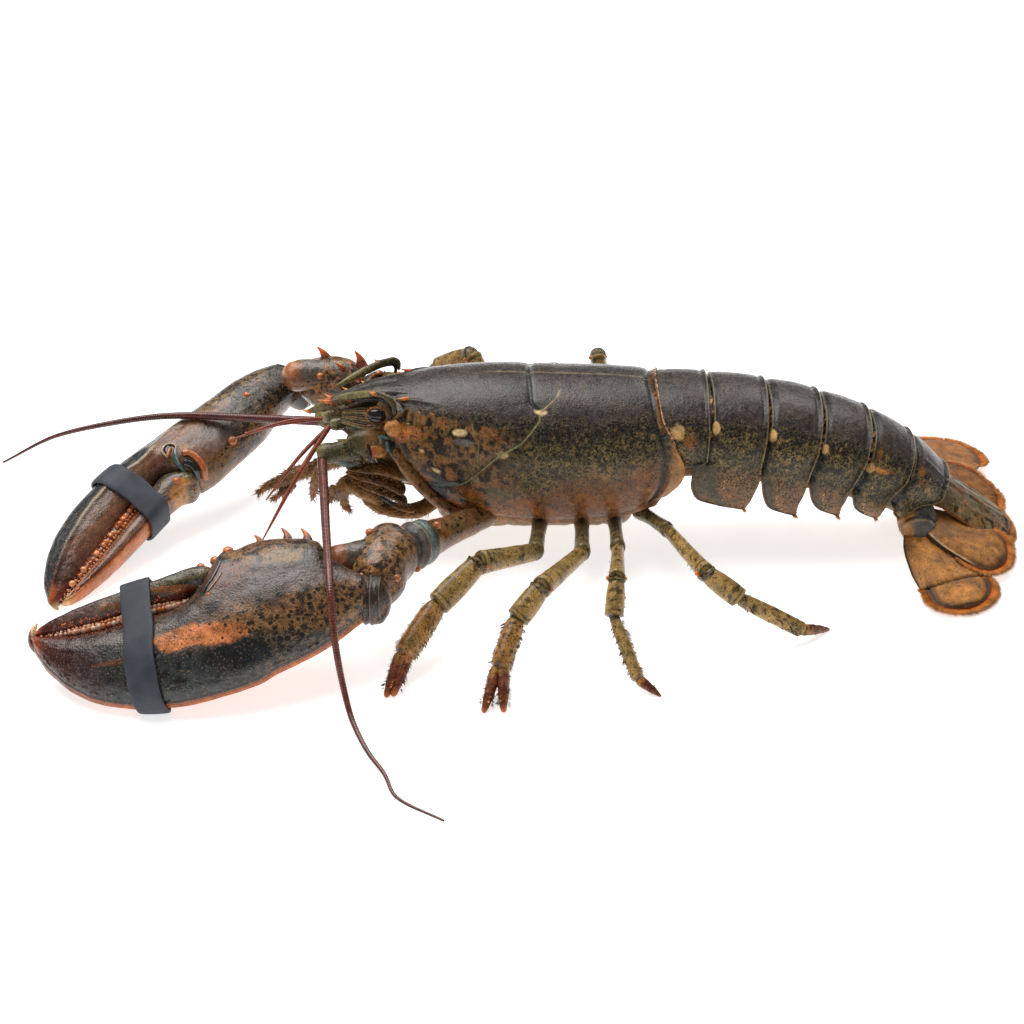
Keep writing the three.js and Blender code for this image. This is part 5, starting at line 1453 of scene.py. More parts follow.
def clawBody(claw, lower, upper, start, end, share, caps, steps, sides, skew=0.0):
    # Between two outlines: y is the middle plus half the width times cos a, z is the thickness times
    # sin a, thinner below than above, and x runs from start to end.
    t = (1 - np.cos(np.pi * np.linspace(0.015, 0.985, steps))) / 2
    x = start + (end - start) * t
    scale = rounding(t, caps)
    edges = smoothLine(lower, x), smoothLine(upper, x)
    half = (edges[1] - edges[0]) / 2 * np.maximum(scale, 0.2)
    thick = smoothLine(claw["thick"], x) * share * scale
    angle = np.linspace(0, 2 * np.pi, sides, endpoint=False)
    c, s = np.cos(angle), np.sin(angle)
    y = (edges[0] + edges[1])[:, None] / 2 + half[:, None] * bent(c, 0.88)
    face = np.where(s < 0, -claw["underShare"], 1.0) * np.abs(s) ** 0.92 * (1 + skew * c)
    grid = np.stack([x[:, None] + 0 * y, y, thick[:, None] * face], -1)
    ends = np.array([start, end], float)
    poles = np.stack([ends, (smoothLine(lower, ends) + smoothLine(upper, ends)) / 2, 0 * ends], -1)
    return {"grid": grid, "t": t[:, None] + 0 * angle, "angle": angle + 0 * t[:, None], "poles": poles}


def clawTop(claw, x, y, lower="outer", upper="palm", share=1.0, skew=None):
    # The upper face above (x, y): clawBody's section solved for its height.
    low, high = smoothLine(claw[lower], x), smoothLine(claw[upper], x)
    away = np.clip((y - (low + high) / 2) / ((high - low) / 2), -1, 1)
    c = bent(away, 1 / 0.88)
    lean = 1 + (claw["skew"] if skew is None else skew) * c
    return np.stack(
        [x + 0 * y, y + 0 * x, smoothLine(claw["thick"], x) * share * (1 - c**2) ** 0.46 * lean], -1,
    )


def settled(claw, skin, height, paint):
    # Raises a skin in the claw's frame, then places it with its poles.
    skin = raised(skin, height)
    return closed(dict(skin, grid=placed(claw, skin["grid"]), poles=placed(claw, skin["poles"])), paint)


def makePalm(claw):
    # Streaks, blots and ovals of pigment, then a thin orange rim low on the outer edge.
    skin = clawBody(
        claw, claw["outer"], claw["palm"], claw["outer"][0][0], claw["length"], 1.0, (0.03, 0.03), 290, 200,
        claw["skew"],
    )
    grid = skin["grid"]
    x, y, z = grid[..., 0], grid[..., 1], grid[..., 2]
    low, high = smoothLine(claw["outer"], x), smoothLine(claw["palm"], x)
    streak = lumps(grid * [0.35, 1, 1], 1.6) + 0.6 * lumps(grid * [0.5, 1, 1], 0.8, 4)
    wobble, slow = lumps(grid, 2.0, 1) + 0.5 * lumps(grid, 0.9, 6), lumps(grid, 6.5, 3)
    blots = ramp(lumps(grid, 1.9, 9) + 0.5 * lumps(grid, 0.9, 3), 0.22, 0.42)
    tipward = ramp(x, claw["length"] * 0.68, claw["length"] * 0.97)
    edge = bell(y - high, 2.2) * ramp(x, claw["teeth"][0] - 4, claw["teeth"][0])
    paint = over(
        coat("clawBrown", x),
        (ramp(streak + slow, 0.0, 0.9), "greyBrown", 0.7),
        (ramp(slow - 0.4 * streak, 0.1, 0.9), "charcoal", 0.35),
        (ramp(streak - slow, 0.3, 0.9), "soot", 0.35),
    )
    paint = patches(paint, x, y, claw["palmSpots"], 0.8 * wobble + 0.5 * slow)
    paint = patches(lay(paint, blots, "soot", 0.9), x, y, claw["clearSpots"], 0.8 * wobble + 0.4 * slow)
    paint = over(
        paint,
        (tipward, "wine", 0.85 if claw is crusher else 0.5),
        (ramp(x, claw["length"] - 7, claw["length"] - 1), "amber", 0.7),
        (edge, "wineRed", 0.85),
    )
    height = 0.2 * slow + 0.07 * streak + 0.06 * wobble
    outer = y < (low + high) / 2
    if claw is crusher:
        rim = fall(z, 1.0, 1.8) * outer * (x > 0.5)
        groove = bell(z - 2.4, 0.6) * outer
        paint = over(
            paint,
            (groove, "soot", 0.85),
            (rim, "rimOrange", 0.95),
            (rim * ramp(x, 70, 94), "wineRed", 0.85),
            (bell(z - 0.9, 0.3) * outer * fall(x, 60, 90), "wine", 0.6),
        )
        height = height - 0.35 * groove + 0.3 * bell(z + 0.6, 1.0) * outer
        height += 0.3 * bell(z - 3.4, 0.7) * outer * (lumps(grid, 1.1, 2) > 0.1)
    else:
        # the far claw's dark outer facet, a painted highlight on its ridge, and a rim along the inner edge
        ridge = smoothLine(claw["ridge"], x)
        shown = ramp(x, 34, 50) * (z > 0)
        paint = over(
            paint,
            (fall(y - ridge, -1.2, 0.2) * shown, "charcoal", 0.95),
            # the pale line on the ridge is a painted highlight
            (bell(y - ridge, 0.55) * shown * fall(x, 84, 112), "creamDull", 0.75),
            (bell(y - ridge - 1.5, 1.2) * shown * fall(x, 70, 84), "umber", 0.7),
            (ramp(y - ridge, 0.5, 2.5) * shown * fall(x, 100, 112), "lobeBrown", 0.45),
        )
        height += 0.55 * bell(y - ridge, 1.3) * shown
        paint = lay(paint, bell(z + 1.2, 0.8) * (y > ridge) * fall(x, 48, 54), "rimOrange", 0.8)
    shapes = [settled(claw, skin, height, paint)]
    frameRows = clawFrame(claw)
    for px, py, length, radius in claw["thorns"]:
        root = placed(claw, clawTop(claw, np.array(px), np.array(py - 1.6)) * [1, 1, 0.55])
        shapes.append(
            thorn(
                root, np.array([0.1, 1, 0.1]) @ frameRows, length, radius, "soot", "rimOrange",
                frameRows[0] * 1.6,
            )
        )
    hook = placed(claw, np.array(claw["tipHook"], float))
    point = sweep(hook, (0, 0, 1), [3.2, 2.0, 0.3], [2.6, 1.7, 0.3], 40, 24, caps=(0.1, 0.05))
    warm = ramp(point["t"], 0.45, 0.95)[..., None]
    shapes.append(closed(point, pigments["wineRed"] * (1 - warm) + pigments["wedge"] * warm))
    return shapes


def makeFinger(claw):
    # The moving finger, between the gape and its own outer line, with a ridge or fold along it.
    start, end = claw["finger"][0][0], claw["finger"][-1][0]
    skin = clawBody(claw, claw["gape"], claw["finger"], start, end, fingerShare, (0.1, 0.05), 190, 140)
    grid = skin["grid"]
    x, y, z = grid[..., 0], grid[..., 1], grid[..., 2]
    low, high = smoothLine(claw["gape"], x), smoothLine(claw["finger"], x)
    streak = lumps(grid * [0.3, 1, 1], 1.5, 2) + 0.6 * lumps(grid * [0.4, 1, 1], 0.7, 7)
    wobble, slow = lumps(grid, 2.0, 1) + 0.5 * lumps(grid, 0.9, 6), lumps(grid, 6.5, 3)
    t = skin["t"]
    paint = over(
        coat("greyBrown", x),
        (ramp(streak + slow, 0.1, 0.8), "clawBrown", 0.6),
        (ramp(-streak, 0.3, 0.9), "soot", 0.4),
    )
    if claw is cutter:
        paint = lay(paint, ramp(t, 0.2, 0.6) * (z > 0), "lobeBrown", 0.5)
    paint = lay(paint, ramp(t, 0.5, 0.95), "wine", 0.85)
    paint = patches(paint, x, y, claw["fingerSpots"], 0.8 * wobble + 0.4 * slow)
    height = 0.12 * slow + 0.08 * streak + 0.05 * wobble
    if claw is crusher:
        paint = lay(paint, fall(y - low, 0.8, 2.4), "wineRed", 0.9)
        ridge = high - (high - low) * 0.3
        height += 0.3 * bell(y - ridge, 1.0) * ramp(t, 0.1, 0.3) * (z > 0)
        paint = lay(paint, bell(y - ridge, 0.5) * ramp(t, 0.15, 0.4) * (z > 0), "soot", 0.5)
    else:
        fold = high - 1.9
        height += 0.4 * bell(y - low - 0.5, 0.35) * (z > 0) - 0.3 * bell(y - fold, 0.6) * (z > 0)
        paint = over(
            paint,
            (bell(y - low - 0.5, 0.3) * (x > 66), "wedge", 0.7),
            (ramp(y - fold, 0.0, 0.5) * (x > 68), "rimOrange", 0.9),
            (bell(y - fold, 0.4) * (x > 68), "wineRed", 0.7),
        )
    paint = lay(paint, ramp(t, 0.93, 0.99), "wedge" if claw is cutter else "amber", 0.75)
    return [settled(claw, skin, height, paint)]


def makeTeeth(claw):
    # A dark red strip fills the gape; on it stands a row of large pale teeth, with small beads on
    # the strip's two sides.
    first, last, size = claw["teeth"]
    whole = np.linspace(first - 2, last + 1, 60)
    palmEdge, fingerEdge = smoothLine(claw["palm"], whole), smoothLine(claw["gape"], whole)
    level = smoothLine(claw["thick"], whole) * 0.3
    middle = np.stack([whole, (palmEdge + fingerEdge) / 2 - 0.3, level], -1)
    reach = [[0, 1.4], [0.15, 2.5], [0.75, 1.9], [1, 0.6]]
    strip = sweep(placed(claw, middle[::6]), clawFrame(claw)[1], reach, reach, 160, 30, caps=(0.02, 0.02))
    knots = lumps(strip["grid"], 0.9, 3)
    shapes = [
        closed(raised(strip, 0.18 * knots), lay(coat("wineRed", knots), ramp(knots, 0.2, 0.6), "amber", 0.6))
    ]

    def row(count, offset, radii, lift, pale):
        x = np.linspace(first, last, count) + draw.uniform(-0.25, 0.25, count)
        wide = smoothLine(reach, (x - first) / (last - first))
        up = np.sqrt(np.maximum(0, 1 - np.minimum(1, np.abs(offset)) ** 2)) * wide
        y = (smoothLine(claw["palm"], x) + smoothLine(claw["gape"], x)) / 2 - 0.3 + offset * wide
        z = smoothLine(claw["thick"], x) * 0.3 + up * lift
        fade = smoothLine([[first, 0.7], [first + 9, 1], [last - 16, 0.85], [last, 0.4]], x)
        share = np.clip(draw.uniform(pale[0], pale[1], (count, 1)), 0, 1)
        colours = pigments["rimOrange"] * (1 - share) + pigments[pale[2]] * share
        grown = radii * fade * draw.uniform(0.7, 1.15, count)
        return beads(placed(claw, np.stack([x, y, z], -1)), grown, colours)

    # the crusher's teeth mix towards ivory: partly their own pale colour, partly a painted highlight
    pale = (-0.2, 0.7, "ivory") if claw is crusher else (-0.3, 0.7, "toothOrange")
    for count, offset, share, lift, shade in (
        (30 if claw is crusher else 26, -0.1, 1.7, 0.95, pale),
        (36, 0.5, 1.1, 1.0, pale),
        (80, -0.75, 0.55, 1.1, (0, 0.4, "toothOrange")),
        (70, 0.85, 0.6, 1.2, (0, 0.9, "toothOrange")),
    ):
        shapes.append(row(count, offset, size * share, lift, shade))
    dotCount = 120
    x = draw.uniform(first, last - 4, dotCount)
    y = smoothLine(claw["gape"], x) + draw.uniform(0.3, 2.2, dotCount)
    dots = clawTop(claw, x, y, "gape", "finger", fingerShare, 0.0)
    shapes.append(beads(placed(claw, dots), draw.uniform(0.16, 0.34, dotCount), pigments["amber"]))
    if claw is cutter:
        for x in (84.0, 91.5, 99.6, 106.8, 113.0):
            y = (smoothLine(claw["palm"], x) + smoothLine(claw["gape"], x)) / 2 - 0.6
            centre = np.array([[x - 1.1, y - 0.4, 0], [x, y - 0.1, 0], [x + 1.1, y + 0.2, 0]])
            centre[:, 2] = smoothLine(claw["thick"], x) * 0.3 + 1.9
            tooth = sweep(placed(claw, centre), (0, 0, 1), 1.15, 1.15, 20, 16, caps=(0.5, 0.5))
            shapes.append(closed(tooth, pigments["toothOrange"]))
    return shapes


def makeKnobs(claw):
    # Half-sunk balls on the palm, or on the finger's foot where the palm has been cut away.
    shapes = []
    for px, py, radius in claw["knobs"]:
        place = clawTop(
            claw, np.array([px]), np.array([min(py, smoothLine(claw["palm"], px) - radius * 0.5)]),
        )
        if py > smoothLine(claw["palm"], px):
            place = clawTop(claw, np.array([px]), np.array([py]), "gape", "finger", fingerShare, 0.0)
        shapes.append(
            beads(placed(claw, place - [0, 0, radius * 0.35]), [radius], pigments["rimOrange"], (1, 1, 0.9))
        )
    return shapes


def makeHinge(claw):
    # The joint of the finger: a pale skin line round its foot, partly a painted highlight, and on the far
    # claw an orange ridge curved round a dark hollow, a teal fold with a painted highlight along it, and a
    # small ring.
    lines = {
        "crusher": [
            # the pale skin line, partly a painted highlight
            ("creamDull", 0.24, 0.5, [[46.4, 2.2], [44.8, 4.4], [43.2, 6.6], [42.2, 9.0]]),
            ("soot", 0.7, -0.35, [[48.2, 1.8], [46.6, 4.6], [45.0, 7.2], [43.8, 10.4], [43.2, 14.0]]),
            ("soot", 0.8, -0.1, [[49.6, 7.0], [53, 4.8], [57, 2.6], [61, 1.2]]),
        ],
        "cutter": [
            (
                "rimOrange", 1.15, 0.7,
                [[54.3, 1.5], [52.6, 1.9], [51.7, 3.7], [51.2, 7.3], [51.6, 10.2], [52.4, 11.8]],
            ),
            ("soot", 1.5, -0.5, [[55.4, 3.4], [54.2, 5.4], [53.8, 8.0], [54.2, 10.0]]),
            ("slate", 0.7, 0.5, [[54.6, 4.6], [54.2, 6.4]]),
            (
                "teal", 0.75, 0.9,
                [[54.5, -1.7], [56.2, 0.0], [57.4, 1.6], [57.0, 4.5], [56.6, 7.4], [56.6, 9.4]],
            ),
            # a pale cord on the teal fold: a painted highlight
            ("tealPale", 0.4, 1.6, [[54.9, -1.2], [56.4, 0.8], [57.2, 3.0], [56.8, 6.0]]),
            (
                "creamDull", 0.4, 0.9,
                [[58.6, -0.8], [58.3, -4.2], [56.2, -5.2], [54.0, -4.4], [53.6, -2.2], [55.6, -0.6]],
            ),
            ("soot", 0.9, 0.1, [[58.0, -1.4], [56.8, -3.4], [55.2, -3.8]]),
            ("rimOrange", 0.7, 0.7, [[58.2, -1.4], [56.8, -2.4], [55.4, -3.1]]),
        ],
    }
    shapes = []
    for paint, radius, lift, places in lines["crusher" if claw is crusher else "cutter"]:
        flat = np.array(places, float)
        path = (
            clawTop(claw, flat[:, 0], np.minimum(flat[:, 1], smoothLine(claw["palm"], flat[:, 0]) - 0.4))
            + [0, 0, lift * 0.6]
        )
        shapes.append(cord(placed(claw, path), radius, paint, 60, 12))
    return shapes


def clawSection(claw, lower, upper, share, x0):
    # A section across the claw in the band's slanted plane, where x = x0 + lean * (y - the middle).
    angle = np.linspace(0, 2 * np.pi, 90, endpoint=False)
    c, s = np.cos(angle), np.sin(angle)
    middle = (smoothLine(claw["outer"], claw["band"]) + smoothLine(claw["finger"], claw["band"])) / 2
    x = x0 + 0 * angle
    for _ in range(4):
        low, high = smoothLine(claw[lower], x), smoothLine(claw[upper], x)
        y = (low + high) / 2 + (high - low) / 2 * bent(c, 0.88)
        x = x0 + claw["lean"] * (y - middle)
    face = np.where(s < 0, -claw["underShare"], 1.0) * np.abs(s) ** 0.92 * (1 + claw["skew"] * c)
    return np.stack([y, smoothLine(claw["thick"], x) * share * face], -1), middle


def makeBand(claw):
    # A flat loop stretched round both fingers: at each normal angle its reach is the furthest of the
    # two sections' points, and the loop is reach * normal + (change of reach) * tangent. It is then
    # spaced evenly and bowed a little along the claw.
    width, wall, slack = 9.6, 1.2, 0.35
    normals, steps, sides = 720, 260, 40
    turn = np.linspace(0, 2 * np.pi, normals, endpoint=False)
    normal, tangent = np.stack([np.cos(turn), np.sin(turn)], -1), np.stack([-np.sin(turn), np.cos(turn)], -1)
    around = np.linspace(0, 2 * np.pi, sides, endpoint=False)
    sideways = bent(np.cos(around), 0.35) * width / 2
    out = slack + wall / 2 * (1 + bent(np.sin(around), 0.45))
    columns = []
    for side, reachOut in zip(sideways, out):
        palm, middle = clawSection(claw, "outer", "palm", 1.0, claw["band"] + side * 0.9)
        finger, _ = clawSection(claw, "gape", "finger", fingerShare, claw["band"] + side * 0.9)
        reach = (np.concatenate([palm, finger]) @ normal.T).max(0)
        slope = (np.roll(reach, -1) - np.roll(reach, 1)) / (2 * turn[1])
        loop = (reach + reachOut)[:, None] * normal + slope[:, None] * tangent
        whole = np.concatenate([loop, loop[:1]])
        length = np.r_[0, np.cumsum(np.linalg.norm(np.diff(whole, axis=0), axis=1))]
        even = np.linspace(0, length[-1], steps, endpoint=False)
        y, z = (np.interp(even, length, whole[:, a]) for a in (0, 1))
        bow = 0.3 * np.sin(even / length[-1] * 18.8 + 0.6) + 0.15 * np.sin(even / length[-1] * 44)
        columns.append(np.stack([claw["band"] + side + claw["lean"] * (y - middle) + bow, y, z], -1))
    grid = placed(claw, np.stack(columns, 1))
    n, m = grid.shape[:2]
    index = np.arange(n * m).reshape(n, m)
    after, beside = np.roll(index, -1, 0), np.roll(index, -1, 1)
    quads = np.stack([index, beside, np.roll(beside, -1, 0), after], -1).reshape(-1, 4)
    paint = np.broadcast_to(pigments["rubber"], (n * m, 4))
    return [faced(grid.reshape(-1, 3), quads, np.zeros((0, 3), int), paint)]


def rubberFinish():
    # Slate rubber: a cloud of two greys, chalky scuffs, and a faint grain in the bump.
    finish, add, join = newFinish("bandRubber", {"Specular IOR Level": 0.35})
    place = add("TexCoord", {}).outputs["Object"]
    cloud = add("TexNoise", {"Vector": place, "Scale": 160.0, "Detail": 4.0}).outputs["Fac"]
    fine = add("TexNoise", {"Vector": place, "Scale": 2600.0, "Detail": 2.0}).outputs["Fac"]
    shade = add("MapRange", {"Value": cloud, "From Min": 0.3, "From Max": 0.72}).outputs[0]
    tone = add(
        "Mix", {0: shade, 6: (0.028, 0.032, 0.041, 1), 7: (0.062, 0.07, 0.085, 1)}, data_type="RGBA",
    ).outputs[2]
    join("Base Color", tone)
    join("Roughness", add("MapRange", {"Value": cloud, "To Min": 0.45, "To Max": 0.7}).outputs[0])
    join("Normal", add("Bump", {"Strength": 0.25, "Distance": 0.0002, "Height": fine}).outputs[0])
    return finish


bandFinish = rubberFinish()
for side, claw in (("left", crusher), ("right", cutter)):
    build(f"clawPalm{side.title()}", [f"claw_palm_{side}"], clawFinish, makePalm(claw))
    build(
        f"clawTeeth{side.title()}", [f"claw_palm_{side}"], hornFinish,
        [*makeTeeth(claw), *makeKnobs(claw), *makeHinge(claw)],
    )
    build(f"clawFinger{side.title()}", [f"claw_finger_{side}"], clawFinish, makeFinger(claw))
    build(f"clawBand{side.title()}", [f"band_{side}"], bandFinish, makeBand(claw))


# Claw arms

arms = {
    "left": {
        "armPath": [(-6, -15, 17), (-21, -35, 21.5), (-35, -53, 25.5)],
        "armRadius": [[0, 4.5], [0.5, 5.2], [0.7, 6.2], [0.86, 8.2], [1, 8.8]],
        "wristPath": [(-34.8, -49.8, 26.6), (-41.5, -63, 26.5), (-43.5, -79, 22)],
        "wristRadius": [[0, 10], [0.25, 10.8], [0.7, 10.6], [1, 8.2]],
        "lobe": [(-44, -63, 30), (-51, -65.8, 31), (-59.2, -68.2, 30.2)],
        "lobeRadius": [[0, 6.2], [0.5, 4.9], [0.75, 5], [1, 4.6]],
        # [x, y, z, radius] of small knobs, half sunk
        "knobs": [
            (-45.2, -58, 36, 1.5), (-46.5, -75, 30.8, 1.6), (-36.2, -74, 29.4, 1.5), (-40, -80.5, 25.4, 1.4),
            (-24.4, -44.8, 30.4, 1.5), (-30.6, -57.6, 21.8, 1.3),
        ],
        "star": (-39.5, -50), "thorns": [],
    },
    "right": {
        "armPath": [(-20, 15, 26), (-38, 25, 35), (-53, 33, 41)], "armRadius": [[0, 4.5], [0.6, 6], [1, 7.4]],
        "wristPath": [(-52, 33, 41), (-64, 37.5, 38.5), (-76, 42.5, 34)], "wristRadius": [7, 9.5, 9],
        "lobe": [(-64, 37, 41.5), (-73, 37, 41.5), (-82, 37, 40)], "lobeRadius": [5.8, 5.8, 5],
        "knobs": [
            (-54, 27.5, 45.6, 1.5), (-67.8, 31.2, 44.6, 1.3), (-86, 37.6, 35, 1.5), (-47, 29.5, 46.6, 1.3),
        ],
        "star": (-70, 33),
        "thorns": [
            ((-66.6, 40, 47.4), (-0.5, 0.1, 1), 4.2, 1.9), ((-53.6, 36, 47.2), (-0.3, 0.2, 1), 4.4, 2),
            ((-60, 32, 46.6), (-0.5, -0.2, 1), 2.8, 1.5),
        ],
    },
}


def makeArm(row):
    # The long joint: rings of pigment near its outer end are the grey plate, the skin and the rims.
    skin = sweep(
        row["armPath"], (0, 0, 1), row["armRadius"], scaledBy(row["armRadius"], 0.9), 130, 90,
        caps=(0.12, 0.16),
    )
    grid, t = skin["grid"], skin["t"]
    wobble, slow = lumps(grid, 2.0, 3) + 0.5 * lumps(grid, 0.9), lumps(grid, 6.0, 1)
    streak = lumps(grid * [1, 0.3, 1], 1.6, 5)
    paint = over(
        coat("umber", t),
        (ramp(wobble + slow, 0.0, 0.6), "ochreSpeck", 0.8),
        (ramp(-slow, 0.1, 0.5), "oliveDark", 0.5),
        (ramp(streak, 0.2, 0.7) * ramp(t, 0.5, 0.65), "ochreDeep", 0.8),
    )
    place = t + 0.012 * wobble
    paint = over(
        paint,
        (ramp(place, 0.8, 0.83), "skinTeal", 0.85),
        (bell(place - 0.85, 0.01), "tealPale", 0.6),
        (bell(place - 0.81, 0.012), "soot", 0.7),
        (ramp(t, 0.885, 0.895), "plateGrey", 0.95),
        (bell(t - 0.93, 0.02), "violetGrey", 0.6),
        (ramp(t, 0.965, 0.98), "soot", 0.9),
        (bell(t - 0.89, 0.006), "creamDull", 0.8),
        (bell(t - 0.95, 0.012) + bell(t - 0.878, 0.008), "soot", 0.8),
    )
    height = (
        0.12 * slow + 0.07 * wobble + 0.5 * bell(t - 0.9, 0.02) - 0.6 * bell(t - 0.86, 0.02)
        + 0.4 * bell(t - 0.79, 0.03)
    )
    return [closed(raised(skin, height), paint)]


def makeWrist(row, claw):
    # The short joint with its lobe and knobs, and a dark smooth collar between it and the claw.
    skin = sweep(
        row["wristPath"], (0, 0, 1), row["wristRadius"], scaledBy(row["wristRadius"], 0.86), 140, 120,
        caps=(0.26, 0.34),
    )
    grid, t = skin["grid"], skin["t"]
    wobble, slow = lumps(grid, 2.2, 2) + 0.5 * lumps(grid, 1.0, 5), lumps(grid, 6.0, 8)
    blots = ramp(lumps(grid, 1.7, 9) + 0.5 * lumps(grid, 0.9, 3), 0.25, 0.42)
    paint = over(
        coat("flecked", t),
        (ramp(wobble, 0.2, 0.7), "tanSpeck", 0.8),
        (ramp(slow + 0.4 * wobble + 1.1 - 3.0 * t, 0.0, 0.5), "plateGrey", 0.7),
        (ramp(slow + wobble - 0.6, 0.0, 0.4), "umber", 0.5),
        (ramp(0.4 * slow - wobble, 0.2, 0.7), "patchOrange", 0.45),
        (blots, "soot", 0.92),
    )
    starX, starY = row["star"]
    away = np.hypot(grid[..., 0] - starX, (grid[..., 1] - starY) * 0.8) * (1 + 0.5 * wobble)
    paint = over(
        paint,
        (fall(away, 1.6, 2.8) * (grid[..., 2] > row["wristPath"][1][2]), "fanOrange", 0.9),
        (ramp(t, 0.95, 0.99), "soot", 0.8),
    )
    height = 0.25 * slow + 0.1 * wobble
    shapes = [closed(raised(skin, height), paint)]
    lobe = sweep(row["lobe"], (0, 0, 1), row["lobeRadius"], row["lobeRadius"], 110, 70, caps=(0.1, 0.26))
    grid, t = lobe["grid"], lobe["t"]
    wobble = lumps(grid, 2.0, 2)
    top = ramp(grid[..., 2] - grid[..., 2].mean() + wobble, -1, 3)
    paint = over(
        coat("flecked", t),
        (ramp(top + 0.4 * wobble, 0.2, 0.6), "plateGrey", 0.85),
        (ramp(t + 0.06 * wobble, 0.5, 0.62), "lobeBrown", 0.95),
        (ramp(t + 0.05 * wobble, 0.5, 0.6) * bell(top - 0.45, 0.22), "wineRed", 0.45),
        (ramp(t + 0.04 * wobble, 0.6, 0.72) * ramp(top, 0.7, 0.95), "patchOrange", 0.5),
    )
    lobePaint = lay(paint, ramp(lumps(grid, 1.5, 9), 0.3, 0.5) * fall(t, 0.4, 0.6), "soot", 0.8)
    shapes.append(closed(raised(lobe, 0.15 * wobble + 0.06 * lumps(grid, 0.9)), lobePaint))
    collar = placed(claw, np.array([[-8.5, 2.6, -1.0], [-4, 2.8, -1.0], [1.5, 3.0, -0.6]]))
    ring = sweep(collar, clawFrame(claw)[1], [6.4, 7.8, 8], [6.6, 7.8, 8], 80, 80, caps=(0.4, 0.2))
    t = ring["t"]
    paint = over(
        coat("collarBrown", t),
        (ramp(lumps(ring["grid"], 2.5, 4), 0, 0.6), "umber", 0.45),
        (bell(t - 0.62, 0.012) + bell(t - 0.3, 0.01), "tealPale", 0.6),
        (bell(t - 0.7, 0.03), "ink", 0.8),
    )
    shapes.append(
        closed(
            raised(ring, 0.3 * bell(t - 0.6, 0.04) - 0.4 * bell(t - 0.7, 0.04) + 0.2 * bell(t - 0.3, 0.04)),
            paint,
        )
    )
    for root, way, length, radius in row["thorns"]:
        shapes.append(thorn(root, way, length, radius, "russet", "amber", (-0.9, 0, 0)))
    return shapes


def wristKnobs(row):
    # Orange balls half sunk in the joint.
    shapes = []
    for x, y, z, radius in row["knobs"]:
        shapes.append(beads([(x, y, z - 0.3 * radius)], [radius], pigments["rimOrange"], (1, 1, 0.9)))
    return shapes


for side, claw in (("left", crusher), ("right", cutter)):
    build(f"clawArm{side.title()}", [f"claw_arm_{side}"], clawFinish, makeArm(arms[side]))
    build(f"clawWrist{side.title()}", [f"claw_wrist_{side}"], clawFinish, makeWrist(arms[side], claw))
    build(f"wristKnobs{side.title()}", [f"claw_wrist_{side}"], hornFinish, wristKnobs(arms[side]))


# Walking legs

legs = {
    # hip, end of the short base, knee, end of the shin's first part, start of the toe, tip
    "left": [
        {
            "joints": [
                [10, -12, 13], [7.6, -43.2, 18.5], [-10.6, -59.6, 25], [-23.7, -72.3, 17.5],
                [-33.8, -86.1, 8], [-38.1, -98, 0.6],
            ],
            "radii": [3.4, 3.5, 4.3, 4.5, 3.2],
            "pincer": "shut",
            "base": "legOchre",
        },
        {
            "joints": [
                [24, -12, 13], [23, -43.8, 18.5], [9.1, -73.1, 24.5], [1.3, -80.6, 17.5], [-3.7, -93.6, 8.5],
                [-5.7, -106, 0.6],
            ],
            "radii": [3.3, 3.3, 4.1, 4, 2.7],
            "pincer": "open",
            "base": "legOchre",
        },
        {
            "joints": [
                [35, -12, 13], [34.8, -42.3, 19.5], [33.2, -67.6, 24.2], [32.1, -76.8, 16], [39.2, -93.2, 4],
                [46.2, -97.2, 0.4],
            ],
            "radii": [3, 2.7, 3.4, 2.5, 1.8],
            "pincer": None,
            "base": "legSand",
        },
        {
            "joints": [
                [43, -11, 15], [51.7, -34.5, 21.5], [61.6, -65.3, 25], [72.5, -68.8, 17.4],
                [93.3, -67.8, 4.6], [103.2, -61.6, 0.4],
            ],
            "radii": [2.8, 2.7, 3.5, 2.8, 2],
            "pincer": None,
            "base": "legSand",
        },
    ],
    "right": [
        {
            "joints": [
                [4, 12, 15], [-3, 34, 27], [-14.5, 50, 42.5], [-27, 60, 32], [-35, 68, 16], [-39.1, 78, 0.6],
            ],
            "radii": [3.4, 3.3, 4, 4, 3],
            "pincer": "shut",
            "base": "legOlive",
        },
        {
            "joints": [[21, 12, 13], [16, 38, 22], [8, 60, 30], [3, 72, 21], [-1, 84, 9], [-4, 99.2, 0.6]],
            "radii": [3.3, 3.2, 3.9, 3.8, 2.5],
            "pincer": "shut",
            "base": "legOlive",
        },
        {
            "joints": [
                [35, 12, 15], [33, 33, 28], [31, 48, 43.5], [32, 60, 33], [35, 72, 12], [38.1, 80.8, 0.4],
            ],
            "radii": [3, 2.7, 3.4, 2.5, 1.8],
            "pincer": None,
            "base": "legSand",
        },
        {
            "joints": [
                [43, 11, 14], [51, 33, 20], [61, 57, 26], [69, 66, 17.5], [86, 77, 4.8], [95.2, 83.8, 0.4],
            ],
            "radii": [2.8, 2.7, 3.5, 2.8, 2],
            "pincer": None,
            "base": "legSand",
        },
    ],
}


